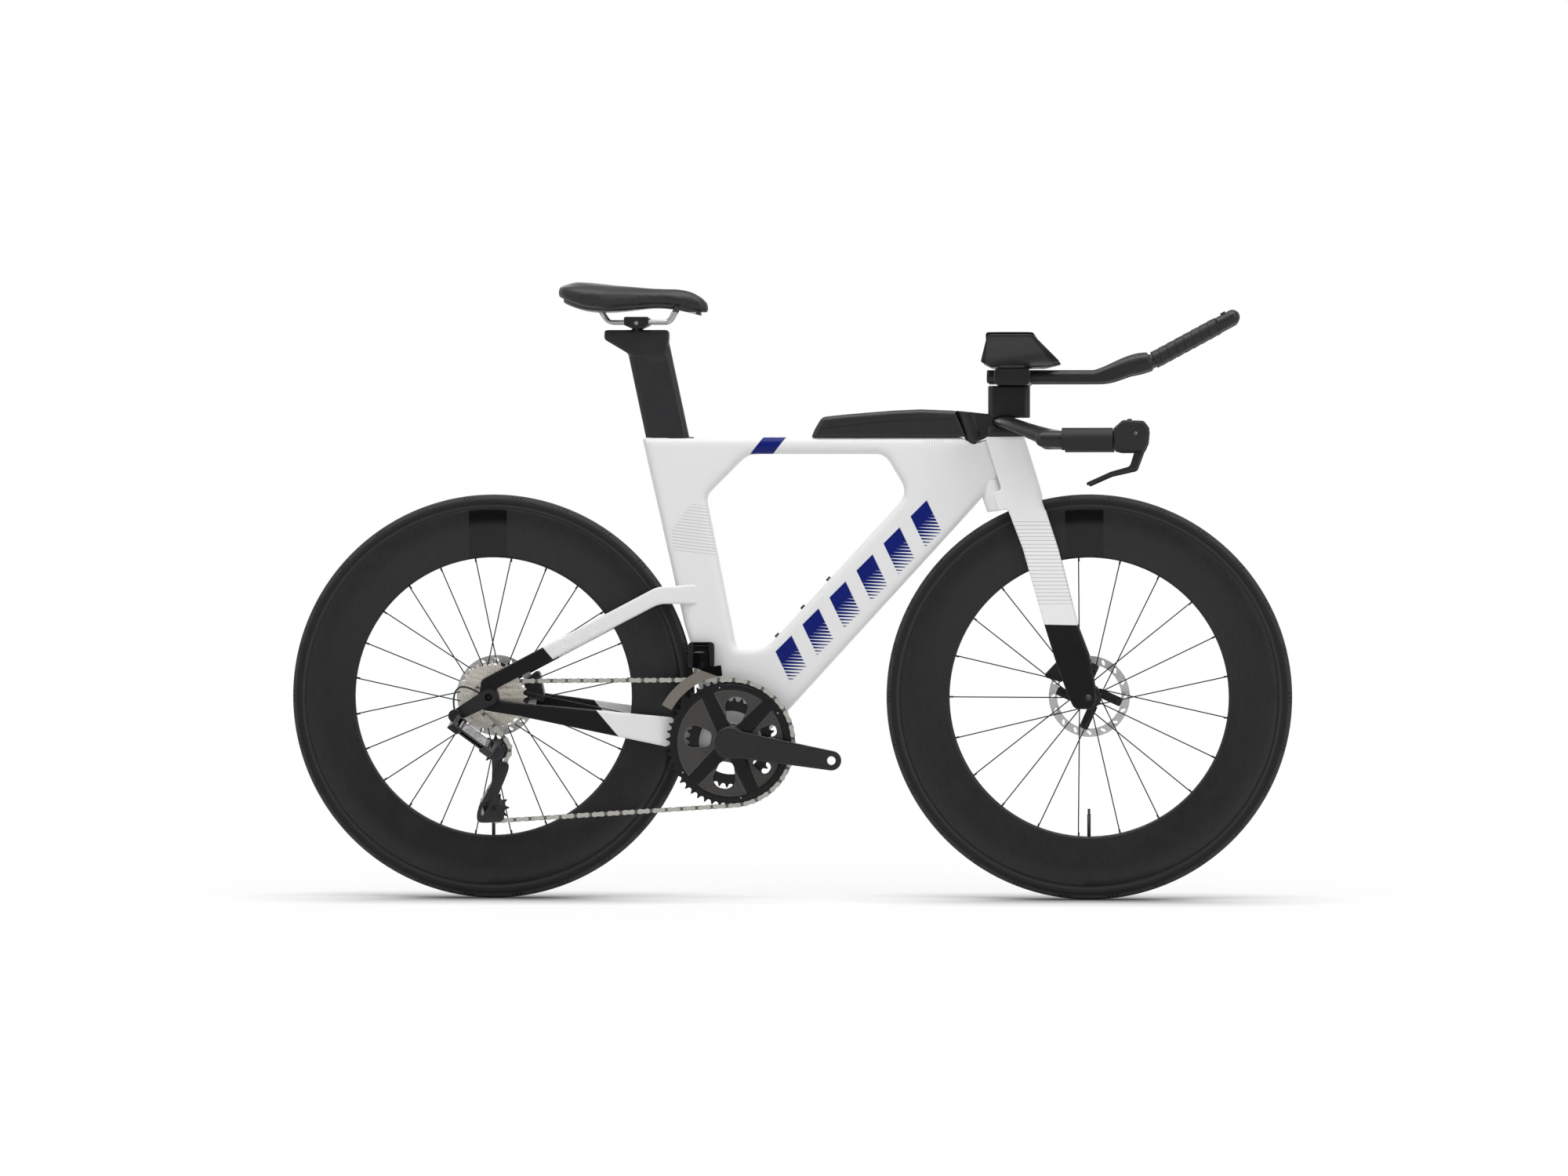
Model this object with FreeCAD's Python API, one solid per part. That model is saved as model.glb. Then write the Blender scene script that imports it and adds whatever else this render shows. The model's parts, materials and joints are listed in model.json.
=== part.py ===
import FreeCAD
import Part

import math
import os

Vector = FreeCAD.Vector

# A time trial bike in millimetres and degrees. X points forward, Y to the rider's left, Z up.
# The origin is on the ground, midway between the wheel axles, in the bike's middle plane.

# Stance
TYRE_RADIUS = 339.0
TYRES_APART = 322.0
BB_DROP = 76.0
BB_AHEAD_OF_TYRE = 63.0
HEAD_ANGLE = 72.5
FORK_RAKE = 50.0

# Fits shared by all pieces
SHAFT_CLEARANCE = 0.05
RUNNING_GAP = 0.4
SEAT_GAP = 0.3
CUT_OVERRUN = 60.0
JOIN_TOLERANCE = 0.00005

# Wheels
TYRE_WIDTH = 28.0
TYRE_SECTION_HEIGHT = 27.0
TYRE_BEAD_WIDTH = 18.0
RIM_LIP = 3.0
RIM_DEPTH = 82.0
RIM_EDGE_WIDTH = 27.0
RIM_WIDTH = 31.0
RIM_WIDEST_DEPTH = 25.0
RIM_NOSE_WIDTH = 12.0
RIM_EDGE_ROUND = 1.0
VALVE_RADIUS = 3.0
VALVE_LENGTH = 46.0
VALVE_TIP_RADIUS = 2.2
VALVE_TIP_LENGTH = 9.0
SPOKE_RADIUS = 1.0
SPOKE_SUNK = 5.0
FRONT_SPOKE_SET_COUNT = 7
REAR_SPOKE_SET_COUNT = 8
SPOKE_CROSS_ANGLE = 62.0
AXLE_RADIUS = 6.0

# Front hub
FRONT_HUB_SPACING = 100.0
FRONT_HUB_BODY_RADIUS = 11.0
FRONT_FLANGE_RADIUS = 20.0
FRONT_FLANGE_WIDTH = 7.0
FRONT_FLANGE_RIGHT = 34.0
FRONT_FLANGE_LEFT = 21.0
HUB_CAP_RADIUS = 9.0
HUB_CAP_LENGTH = 9.0

# Rear hub
REAR_HUB_SPACING = 142.0
REAR_HUB_BODY_RADIUS = 13.0
REAR_FLANGE_RADIUS = 23.0
REAR_FLANGE_WIDTH = 6.0
REAR_FLANGE_RIGHT = 18.5
REAR_FLANGE_LEFT = 33.0

# Brake rotors
ROTOR_RADIUS = 68.0
ROTOR_BAND_RADIUS = 54.0
ROTOR_THICKNESS = 1.8
ROTOR_ARM_COUNT = 4
ROTOR_ARM_WIDTH = 15.0
ROTOR_ARM_THICKNESS = 3.4
ROTOR_HUB_RADIUS = 21.0
ROTOR_LOCK_RADIUS = 17.0
ROTOR_LOCK_WIDTH = 4.0
ROTOR_SLOT_COUNT = 16
ROTOR_SLOT_RADIUS = 2.2
ROTOR_SLOT_LENGTH = 9.0
ROTOR_ARM_ANGLE = 79.0
ROTOR_ARM_SWEEP_ANGLE = 35.0
ROTOR_SLOT_LEAN_ANGLE = 45.0
FRONT_ROTOR_OFFSET = 39.5
REAR_ROTOR_OFFSET = 55.7

# Main frame
FRAME_WIDTH = 40.0
FRAME_EDGE_ROUND = 12.0
TOP_TUBE_ABOVE_TYRE = 96.0
TOP_TUBE_DEPTH = 28.5
SEAT_ANGLE = 78.0
SEAT_TUBE_TAPER_ANGLE = 0.8
SEAT_TUBE_FRONT_OFFSET = 37.6
BB_BOSS_RADIUS = 34.0
DOWN_TUBE_TYRE_GAP = 17.74
DOWN_TUBE_TOP_OFFSET = 63.3
REAR_GUSSET_DROP = 70.0
REAR_GUSSET_ANGLE = 45.0
FRONT_GUSSET_SETBACK = 161.0
FRONT_GUSSET_ANGLE = 59.0
WEB_HEIGHT = 157.0
WEB_REAR_ROUND = 13.0
SEAT_CORNER_ROUND = 18.0
REAR_GUSSET_ROUND = 36.0
FRONT_GUSSET_ROUND = 26.0
FRONT_CORNER_ROUND = 26.0
WEB_FRONT_ROUND = 52.0
FRONT_TYRE_GAP = 17.5
REAR_TYRE_GAP = 5.0
HEAD_TUBE_SINK = 8.94
HEAD_TUBE_ABOVE_TYRE = 35.5
HEAD_ROUND = 24.5
CROWN_POCKET = 21.5
STEERER_RADIUS = 9.0
HEADSET_RADIUS = 17.0
HEADSET_HEIGHT = 8.0
BB_SHELL_WIDTH = 86.0
BB_SHELL_RADIUS = 27.0
BB_BORE_RADIUS = 20.5
BB_CUP_FLANGE = 1.6
SPINDLE_RADIUS = 12.0
BOTTLE_BOLT_PITCH = 64.0
BOTTLE_BOLT_COUNT = 3
BOTTLE_BOLT_START = 183.0
BOTTLE_BOLT_RADIUS = 4.5
BOTTLE_BOLT_HEAD = 3.5
BOTTLE_THREAD_RADIUS = 2.5
BOTTLE_THREAD_DEPTH = 14.0

# Rear stays, placed from the bottom bracket and the rear axle
STAY_BEHIND_BB = 30.0
SEAT_STAY_ABOVE_BB = 266.0
SEAT_STAY_ROOT_DEPTH = 35.0
SEAT_STAY_BEND_BEHIND_BB = 124.0
SEAT_STAY_BEND_DROP = 6.0
SEAT_STAY_DEPTH = 25.0
SEAT_STAY_TIP_ABOVE_AXLE = 29.3
CHAIN_STAY_ROOT_ABOVE_BB = 41.0
CHAIN_STAY_ROOT_DEPTH = 52.0
CHAIN_STAY_ROOT_BEHIND_BB = 92.0
CHAIN_STAY_END_AHEAD_OF_AXLE = 48.0
CHAIN_STAY_END_BELOW_AXLE = 9.0
CHAIN_STAY_END_DEPTH = 22.0
LEFT_STAY_RISE = 17.0
DROPOUT_RADIUS = 17.0
DROPOUT_THICKNESS = 10.0
STAY_ROOT_INSIDE = 18.5
STAY_ROOT_WIDTH = 14.0
STAY_ROUND = 4.0
STAY_BEND_ROUND = 46.0

# Seatpost and wedge
POST_DEPTH = 72.0
POST_WIDTH = 26.0
POST_HEAD_ABOVE_FRAME = 179.8
POST_HEAD_DEPTH = 16.0
POST_HEAD_LENGTH = 109.0
POST_INSERTION = 152.0
POST_DROP = 40.0
POST_NECK_ROUND = 30.0
POST_NOSE_ROUND_SHARE = 0.85
POST_TAIL_ROUND_SHARE = 0.9
WEDGE_LENGTH = 32.0
WEDGE_THICKNESS = 8.0
WEDGE_WIDTH = 22.0

# Storage box on the top tube
BOX_FRONT_SETBACK = 20.9
BOX_LENGTH = 254.0
BOX_HEIGHT = 46.5
BOX_WIDTH = 38.0
BOX_EDGE_ROUND = 9.0
BOX_OUTLINE_SHARES = (
    (0, 0),
    (0.02, 0.27),
    (0.07, 0.73),
    (0.25, 0.83),
    (0.52, 0.95),
    (0.72, 1),
    (0.945, 0.95),
    (1.02, 0),
)
BOX_FILLET_SHARE = 0.95
BOX_CORNER_ROUND = 14.0

# Fork
NOSE_DEPTH = 62.9
NOSE_SETBACK = 14.6
NOSE_WIDTH = 48.0
NOSE_ROUND = 18.0
NOSE_BELOW_TOP_TUBE = 1.0
CROWN_ROUND = 20.0
CROWN_DEPTH = 25.0
CROWN_WIDTH = 66.0
CROWN_SHOULDER = 50.0
ARCH_GAP = 6.0
ARCH_WIDTH = 40.0
ARCH_ROUND = 12.0
LEG_BELOW_TREAD = 25.2
LEG_DEPTH = 60.0
LEG_FRONT_SHARES = (
    (0.4431, 1),
    (0.4575, 0.791),
    (0.3269, 0.379),
    (0.3838, 0.204),
    (0.2485, 0.037),
    (0.0591, -0.06),
)
LEG_REAR_SHARES = (
    (-0.5054, -0.06),
    (-0.5623, 0.037),
    (-0.5986, 0.204),
    (-0.5967, 0.39),
    (-0.5362, 0.791),
    (-0.6093, 1),
)
FORK_END_WIDTH = 124.0
LEG_OUTSIDE_SHARES = (
    (1.06, 0.5),
    (1, 0.53),
    (0.79, 0.6),
    (0.386, 0.8),
    (0.29, 0.89),
    (0.13, 0.97),
    (0.035, 1),
    (-0.2, 1),
)
LEG_INSIDE_SHARES = (
    (-0.2, 1),
    (0.067, 1),
    (0.13, 0.94),
    (0.29, 0.86),
    (0.386, 0.73),
    (0.79, 0.44),
    (1, 0.4),
    (1.06, 0.4),
)
LEG_CORNER_ROUND = 12.0
LEG_BEND_ROUND = 60.0

# Brake calipers
CALIPER_LENGTH = 58.0
CALIPER_DEPTH = 30.0
CALIPER_WIDTH = 30.0
CALIPER_SLOT = 4.4
CALIPER_ROUND = 5.0
FRONT_CALIPER_ANGLE = 137.0
REAR_CALIPER_ANGLE = 12.0
CALIPER_REACH = 50.0
PAD_LENGTH = 22.0
PAD_DEPTH = 9.0
PAD_THICKNESS = 3.0
PAD_GAP = 0.5
AXLE_HEAD_RADIUS = 9.0
AXLE_HEAD_LENGTH = 3.0

# Chain
CHAIN_PITCH = 12.7
ROLLER_RADIUS = 3.85
CHAIN_INNER_WIDTH = 2.1
CHAIN_PLATE = 0.6
CHAIN_PLATE_GAP = 0.2
CHAIN_PLATE_HEIGHT = 8.4
CHAIN_PIN_RADIUS = 1.7
CHAIN_PIN_CLEARANCE = 0.1
CHAIN_PLATE_END_SHARES = (0.35, 0.9)

# Sprockets
TOOTH_SEAT_CLEARANCE = 0.15
TOOTH_SEAT_ANGLE = 65.0
TOOTH_TIP_HEIGHT = 2.7
TOOTH_TIP_WIDTH = 1.8
SPROCKET_THICKNESS = 1.6
BIG_RING_TEETH = 52
SMALL_RING_TEETH = 36
RING_BESIDE_SHELL = 4.0
RING_SPACING = 6.0
RING_BAND = 17.0
CASSETTE_TEETH = (11, 12, 13, 14, 15, 16, 17, 19, 21, 23, 25, 28)
CASSETTE_SPACING = 3.58
CASSETTE_OUTER_OFFSET = 65.3
USED_SPROCKET_TEETH = 13
FREEHUB_RADIUS = 16.0
CASSETTE_SPACER_RADIUS = 18.5
LOCKRING_WIDTH = 2.4
CASSETTE_HOLE_COUNT = 8
PULLEY_TEETH = 11
PULLEY_HUB_RADIUS = 6.0
PULLEY_PIN_RADIUS = 2.5
GUIDE_BEHIND_AXLE = -11.0
GUIDE_BELOW_AXLE = 88.0
CAGE_PIVOT_DROP = 5.0
PULLEY_DISTANCE = 97.0
CAGE_LEAN_ANGLE = 85.0
CAGE_LEAN_RANGE_ANGLE = 20.0
CAGE_LEAN_STEP_COUNT = 60

# Crankset
CRANK_LENGTH = 172.5
CRANK_DROP_ANGLE = 9.6
CRANK_BESIDE_SHELL = 12.0
CRANK_ARM_THICKNESS = 17.0
CRANK_END_THICKNESS = 13.0
CRANK_END_WIDTH = 33.0
CRANK_ROOT_WIDTH = 46.0
PEDAL_THREAD_RADIUS = 7.14
PEDAL_FACE_BESIDE_SHELL = 32.0
SPIDER_ARM_ANGLES = (55.0, 125.0, 235.0, 305.0)
SPIDER_REACH = 96.0
SPIDER_ARM_WIDTH = 26.0
SPIDER_TIP_WIDTH = 20.0
SPIDER_THICKNESS = 5.0
CARRIER_BEYOND_ARMS = 1.5
CARRIER_RIM_WIDTH = 8.0
CARRIER_WEB = 2.2
WINDOW_ANGLES = (90.0, 180.0, 270.0)
WINDOW_REACHES = (33.0, 77.0)
WINDOW_WIDTHS = (22.0, 46.0)
WINDOW_ROUNDS = (9.0, 16.0)
SMALL_WINDOW_ANGLES = (26.0, 334.0)
SMALL_WINDOW_REACHES = (50.0, 80.0)
SMALL_WINDOW_WIDTHS = (12.0, 22.0)
SMALL_WINDOW_ROUNDS = (4.0, 8.0)
CRANK_BOSS_RADIUS = 26.0
RING_POST_RADIUS = 5.0
RING_POST_CIRCLE = 62.0
SMALL_RING_BAND = 16.0
BB_CUP_RADIUS = 25.0
BB_BEARING_WIDTH = 9.0

# Rear derailleur
HANGER_BEHIND = 55.0
HANGER_BELOW = 30.5
HANGER_THICKNESS = 5.5
HANGER_END_RADIUS = 9.0
HANGER_AXLE_RADIUS = 15.0
HANGER_ROUND_SHARE = 0.9
LINK_ROUND_SHARE = 0.9
LINK_START_BEHIND = 46.0
LINK_START_BELOW = 48.0
LINK_START_OFFSET = 102.0
LINK_END_BEHIND = 4.0
LINK_END_BELOW = 80.0
LINK_END_OFFSET = 88.0
LINK_SWING_DROP_SHARE = 0.35
LINK_WIDTH = 16.0
LINK_THICKNESS = 6.0
LINK_PIN_SPACING = 13.0
LINK_PIN_RADIUS = 2.0
LINK_EAR_THICKNESS = 3.0
LINK_EAR_RADIUS = 5.0
LINK_EAR_REACH = 8.0
LINK_BLOCK_LENGTH = 8.0
KNUCKLE_RADIUS = 13.0
KNUCKLE_LENGTH = 15.0
CAGE_PIN_RADIUS = 5.0
CAGE_GAP = 4.4
CAGE_PLATE = 1.6
CAGE_END_RADIUS = 11.0
CAGE_WAIST_SHARE = 0.5
CAGE_ROUND_SHARE = 0.8

# Front derailleur
FD_BODY_LENGTH = 44.0
FD_BODY_HEIGHT = 44.0
FD_BODY_THICKNESS = 15.0
FD_BODY_BEHIND_BB = 50.0
FD_BODY_ABOVE_BB = 146.0
FD_BODY_ROUND = 7.0
FD_CAGE_OUTSIDE = 6.6
FD_CAGE_INSIDE = 3.6
FD_CAGE_PLATE = 1.0
FD_CAGE_INNER_RADIUS = 112.5
FD_CAGE_DEPTH = 18.0
FD_CAGE_START_ANGLE = 97.0
FD_CAGE_END_ANGLE = 151.0
FD_BRIDGE = 12.0
FD_PIN_RADIUS = 2.5
FD_PIN_DROP = 9.0
FD_ARM_LENGTH = 24.0
FD_ARM_THICKNESS = 6.0
RUN_LEVEL_SHARE = 0.12

# Cockpit, placed from a point on the steering axis above the head tube
STEM_RISE = 36.5
STEM_COVER_ROUND = 20.6
STEM_COVER_HALF_WIDTH = 18.5
STEM_COVER_LENGTH = 76.0
STEM_COVER_HEIGHT = 60.0
STEM_COVER_REAR = 32.0
STEM_COVER_FOOT = 41.0
STEM_COVER_SHARES = ((0, 1), (0.36, 0.02), (0.72, 0.2), (0.95, 0.42), (1.2, 0.62), (1.2, 0.84))
STEM_COVER_EDGE_ROUND = 5.0
WING_AHEAD = 60.0
WING_BELOW = 1.5
WING_SPREAD = 185.0
WING_SWEEP = 94.0
WING_DROP = 30.0
WING_CHORD = 44.0
WING_THICKNESS = 17.0
WING_SECTION_SHARES = (
    (0, 0, 0, 1, 1),
    (0.3, 0.02, 0.02, 1, 0.95),
    (0.6, 0.26, 0.3, 1.05, 1.0),
    (0.82, 0.66, 0.75, 1.2, 1.3),
    (1, 1, 1, 1.3, 1.55),
)
HORN_RADIUS = 14.0
HORN_LENGTH = 115.0
HORN_BEHIND = 30.0
GRIP_RADIUS = 18.5
GRIP_LENGTH = 84.0
GRIP_EDGE_ROUND = 1.2
HOUSING_LENGTH = 60.0
HOUSING_HEIGHT = 51.0
HOUSING_WIDTH = 30.0
HOUSING_DROP = 20.0
HOUSING_CORNER_ROUND = 6.0
HOUSING_EDGE_ROUND = 4.5
HOUSING_SHARES = ((0, 0.06), (0.2, 0), (0.85, 0), (0.97, 0.32), (1, 0.74), (0.84, 0.98), (0.26, 1), (0, 0.72))
LEVER_SLOT_WIDTH = 11.0
LEVER_SLOT_START = 20.0
LEVER_SLOT_HEIGHT = 43.0
LEVER_THICKNESS = 9.6
LEVER_EYE_RADIUS = 6.5
LEVER_PIN_RADIUS = 2.5
LEVER_PIN_AHEAD = 37.0
LEVER_PIN_ABOVE = 29.0
LEVER_REACH = 100.0
LEVER_DEPTH = 93.0
LEVER_SHARES = (
    (0.77, 0.98),
    (0.9, 0.76),
    (0.96, 0.67),
    (0.83, 0.29),
    (0.4, 0.185),
    (0.015, 0),
    (0, 0.06),
    (0.4, 0.255),
    (0.715, 0.35),
    (0.81, 0.68),
)
LEVER_ROUND = 5.0
LEVER_HEEL_ROUND = 8.0
LEVER_BEND_ROUND = 40.0
LEVER_TIP_ROUND = 1.8
LEVER_TIP_BEHIND = 81.0
HOOD_BUTTON_RADIUS = 4.0
HOOD_BUTTON_HEIGHT = 7.0
HOOD_BUTTON_PROUD = 2.0
HOOD_BUTTON_AHEAD = 27.0
BUTTON_EDGE_ROUND = 1.2
BUTTON_TRAVEL = 1.5
RISER_REAR = 29.0
RISER_LENGTH = 70.0
RISER_WIDTH = 44.0
RISER_BOTTOM = 6.0
RISER_HEIGHT = 43.4
SPACER_HEIGHT = 10.0
RISER_ROUND = 10.0
BRIDGE_REAR = 41.0
BRIDGE_LENGTH = 60.0
BRIDGE_HEIGHT = 28.0
BRIDGE_WIDTH = 196.0
BRIDGE_ROUND = 7.0
EXTENSION_RADIUS = 11.1
EXTENSION_SPREAD = 57.0
EXTENSION_HEIGHT = 14.4
EXTENSION_TAIL = 28.0
EXTENSION_STRAIGHT = 200.0
EXTENSION_LIFT_LENGTH = 72.0
EXTENSION_LIFT = 25.0
EXTENSION_RISE_LENGTH = 113.0
EXTENSION_RISE = 61.0
EXTENSION_BEND_RADIUS = 90.0
REST_SECTION_SHARES = (
    (0.0, 1.0, 1.0, 0.0),
    (0.42, 1.25, 1.1, 0.15),
    (0.75, 1.55, 1.2, 0.2),
    (1.0, 1.35, 1.15, 0.1),
)
TAPE_RADIUS = 13.6
TAPE_LENGTH = 98.0
TAPE_WRAP_COUNT = 7
TAPE_STEP = 0.9
POD_RADIUS = 12.6
POD_LENGTH = 26.0
SHIFT_BUTTON_RADIUS = 4.5
SHIFT_BUTTON_HEIGHT = 7.0
SHIFT_BUTTON_PROUD = 2.2
SHIFT_BUTTON_REACH = 15.0
CUP_RADIUS = 50.0
CUP_WALL = 4.0
CUP_SPREAD = 84.0
CUP_LENGTH = 132.0
CUP_REAR = 19.0
CUP_SHARES = ((0, 0.16), (0.12, 0), (0.78, 0), (1, 0.16), (0.66, 1.06), (0.09, 1.06))
CUP_FRONT_ROUND = 14.0
CUP_REAR_ROUND = 9.0
CUP_FOOT_LENGTH = 44.0
CUP_FOOT_WIDTH = 30.0
ARM_PAD_THICKNESS = 9.0
ARM_PAD_LENGTH = 82.0
ARM_PAD_CROWN = 3.0
ARM_PAD_SWEEP_ANGLE = 200.0
ARM_PAD_ROUND = 2.5

# Seat
SEAT_BOLT_BEHIND_POST = 12.5
SEAT_BOLT_ABOVE_HEAD = 6.6
SEAT_PIN_RADIUS = 4.0
SEAT_PIN_LENGTH = 32.0
SEAT_LUG_WIDTH = 16.0
SEAT_LUG_RADIUS = 8.5
CLAMP_LENGTH = 42.0
CLAMP_HEIGHT = 19.5
CLAMP_WIDTH = 52.0
CLAMP_BELOW_BOLT = 4.6
CLAMP_SHARES = ((0, 0.3), (0.3, 0), (0.7, 0), (1, 0.3), (1, 0.92), (0.94, 1), (0.06, 1), (0, 0.92))
RAIL_RADIUS = 3.5
RAIL_SPREAD = 22.0
RAIL_ABOVE_BOLT = 6.0
RAIL_STRAIGHT_REAR = 48.0
RAIL_STRAIGHT_FRONT = 54.0
RAIL_REAR_RUN = 17.0
RAIL_REAR_RISE = 24.0
RAIL_FRONT_RUN = 15.0
RAIL_FRONT_RISE = 27.0
RAIL_BEND = 14.0
SADDLE_LENGTH = 250.0
SADDLE_WIDTH = 140.0
SADDLE_HEIGHT = 55.0
SADDLE_REAR = 130.0
SADDLE_BASE_ABOVE_BOLT = 16.5
SADDLE_SECTION_SHARES = (
    (0.0, 0.58, 0.62, 0.9),
    (0.04, 0.84, 0.52, 0.97),
    (0.14, 1.0, 0.33, 1.0),
    (0.34, 0.86, 0.25, 0.92),
    (0.52, 0.56, 0.32, 0.85),
    (0.7, 0.4, 0.36, 0.8),
    (0.86, 0.35, 0.24, 0.75),
    (0.95, 0.3, 0.14, 0.6),
    (1.0, 0.17, 0.1, 0.36),
)
SADDLE_FOOT_SHARE = 0.78
SADDLE_BULGE_SHARE = 0.45
SADDLE_SHOULDER_SHARES = (0.8, 0.82)
SADDLE_CROWN_SHARES = (0.5, 0.98)
SADDLE_GROOVE_SHARE = 0.16
SADDLE_CHANNEL_SHARES = (0.02, 0.05, 0.08, 0.11, 0.11, 0.09, 0.06, 0.04, 0.02)
SADDLE_SHELL_DROP = 7.0
SADDLE_SHELL_SHARE = 0.8
WIRE_RADIUS = 1.6
WIRE_REACH = 100.0
WIRE_ROUTE_SHARES = ((-0.12, -0.76, 0.04), (-0.41, -0.78, 0.23), (-0.61, -0.87, 0.07), (-0.56, -0.94, -0.21))
WIRE_BEND_SHARE = 0.45

# Places that many pieces share
MIDDLE = Vector(0, 0, 0)
ALONG_X = Vector(1, 0, 0)
ALONG_Y = Vector(0, 1, 0)
ALONG_Z = Vector(0, 0, 1)
half_wheelbase = TYRE_RADIUS + TYRES_APART / 2
rear_axle = Vector(-half_wheelbase, 0, TYRE_RADIUS)
front_axle = Vector(half_wheelbase, 0, TYRE_RADIUS)
bb = Vector(rear_axle.x + TYRE_RADIUS + BB_AHEAD_OF_TYRE, 0, TYRE_RADIUS - BB_DROP)
top_tube_height = TYRE_RADIUS * 2 + TOP_TUBE_ABOVE_TYRE
head_tilt = math.radians(HEAD_ANGLE)
steer_up = Vector(-math.cos(head_tilt), 0, math.sin(head_tilt))
steer_ahead = Vector(math.sin(head_tilt), 0, math.cos(head_tilt))
steer_foot = front_axle - steer_ahead * FORK_RAKE
frame_half = FRAME_WIDTH / 2
head_tube_start = TYRE_RADIUS + HEAD_TUBE_ABOVE_TYRE
head_tube_end = (top_tube_height - HEAD_TUBE_SINK - steer_foot.z) / math.sin(head_tilt)
tyre_bead_radius = TYRE_RADIUS - TYRE_SECTION_HEIGHT
rim_edge_radius = tyre_bead_radius + RIM_LIP
rim_widest_radius = rim_edge_radius - RIM_WIDEST_DEPTH
rim_inner_radius = rim_edge_radius - RIM_DEPTH
leg_height = TYRE_RADIUS - LEG_BELOW_TREAD
leg_slope = math.cos(head_tilt) / math.sin(head_tilt)
leg_run = leg_height * leg_slope + LEG_DEPTH
crank_arm_inside = BB_SHELL_WIDTH / 2 + CRANK_BESIDE_SHELL
pedal_face_offset = BB_SHELL_WIDTH / 2 + PEDAL_FACE_BESIDE_SHELL
big_ring_y = -BB_SHELL_WIDTH / 2 - RING_BESIDE_SHELL
small_ring_y = big_ring_y + RING_SPACING


def polar(centre, radius, angle):
    turn = math.radians(angle)
    return centre + Vector(radius * math.cos(turn), 0, radius * math.sin(turn))


def heading(angle):
    return polar(MIDDLE, 1, angle)


def steer_point(ahead, up, side=0):
    return steer_foot + steer_ahead * ahead + steer_up * up + ALONG_Y * side


def shifted(point, y):
    return Vector(point.x, y, point.z)


def meet(line, other):
    point, along = line
    start, across = other
    area = along.x * across.z - along.z * across.x
    apart = start - point
    reach = (apart.x * across.z - apart.z * across.x) / area
    return point + along * reach


def rounded_wire(points, radii):
    """Closed outline with an arc of the given radius at each corner, sharp where it is zero."""
    count = len(points)
    arcs = []
    for index in range(count):
        corner = points[index]
        back = (points[index - 1] - corner).normalize()
        on = (points[(index + 1) % count] - corner).normalize()
        radius = radii[index]
        half = back.getAngle(on) / 2
        if radius == 0 or half > math.radians(89.9):
            arcs.append((corner, None, corner))
            continue
        reach = radius / math.tan(half)
        inward = (back + on).normalize()
        crest = corner + inward * (radius / math.sin(half) - radius)
        arcs.append((corner + back * reach, crest, corner + on * reach))
    edges = []
    for index in range(count):
        start, crest, end = arcs[index]
        if crest is not None:
            edges.append(Part.Arc(start, crest, end).toShape())
        following = arcs[(index + 1) % count][0]
        if (following - end).Length > JOIN_TOLERANCE:
            edges.append(Part.LineSegment(end, following).toShape())
    return Part.Wire(edges)


def prism(wire, direction):
    return Part.Face(wire).extrude(direction)


def side_solid(points, radii, y_low, y_high):
    """Outline drawn in the X-Z plane and thickened between two Y places."""
    wire = rounded_wire([shifted(point, y_low) for point in points], radii)
    return prism(wire, ALONG_Y * (y_high - y_low))


def plan_solid(points, radii, z_low, z_high):
    """Outline drawn in the X-Y plane and thickened between two heights."""
    flat = [Vector(point[0], point[1], z_low) for point in points]
    return prism(rounded_wire(flat, radii), ALONG_Z * (z_high - z_low))


def disc(centre, radius, y_low, y_high):
    return Part.makeCylinder(radius, y_high - y_low, shifted(centre, y_low), ALONG_Y)


def rod(start, end, radius):
    return Part.makeCylinder(radius, (end - start).Length, start, end - start)


def turned_ring(centre, profile, radii):
    """Profile of radius and Y places, rounded at its corners and turned about the Y axis through the centre."""
    points = [Vector(centre.x + radius, y, centre.z) for radius, y in profile]
    face = Part.Face(rounded_wire(points, radii))
    return face.revolve(centre, ALONG_Y, 360)


def spun(shape, angle, centre):
    turned = shape.copy()
    turned.rotate(centre, -ALONG_Y, angle)
    return turned


def mirrored(shape):
    return shape.mirror(MIDDLE, ALONG_Y)


def joined(shapes):
    return shapes[0].multiFuse(shapes[1:]).removeSplitter()


def pipe(points, radii, section_radius):
    """Round bar along straight runs with tangent bends of the given radii at the inner points."""
    edges = []
    start = points[0]
    for index in range(1, len(points) - 1):
        corner = points[index]
        back = (points[index - 1] - corner).normalize()
        on = (points[index + 1] - corner).normalize()
        half = back.getAngle(on) / 2
        radius = radii[index - 1]
        reach = radius / math.tan(half)
        crest = corner + (back + on).normalize() * (radius / math.sin(half) - radius)
        edges.append(Part.LineSegment(start, corner + back * reach).toShape())
        edges.append(Part.Arc(corner + back * reach, crest, corner + on * reach).toShape())
        start = corner + on * reach
    edges.append(Part.LineSegment(start, points[-1]).toShape())
    section = Part.Wire(Part.makeCircle(section_radius, points[0], points[1] - points[0]))
    return Part.Wire(edges).makePipeShell([section], True, False)


def side_edges(solid, half_width):
    """Edges that lie in the two side planes of a solid that was thickened along Y."""
    found = []
    for edge in solid.Edges:
        box = edge.BoundBox
        flat = box.YLength < SHAFT_CLEARANCE
        if flat and abs(abs(box.YMin) - half_width) < SHAFT_CLEARANCE:
            found.append(edge)
    return found


def steer_box(ahead_low, ahead_high, half_width, up_low, up_high):
    """Block square to the steering axis."""
    near = [(ahead_low, -half_width), (ahead_high, -half_width)]
    corners = near + [(ahead_high, half_width), (ahead_low, half_width)]
    points = [steer_point(ahead, up_low, side) for ahead, side in corners]
    wire = Part.makePolygon(points + points[:1])
    return prism(wire, steer_up * (up_high - up_low))


def steer_round(radius, up_low, up_high):
    return Part.makeCylinder(radius, up_high - up_low, steer_point(0, up_low), steer_up)


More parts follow.
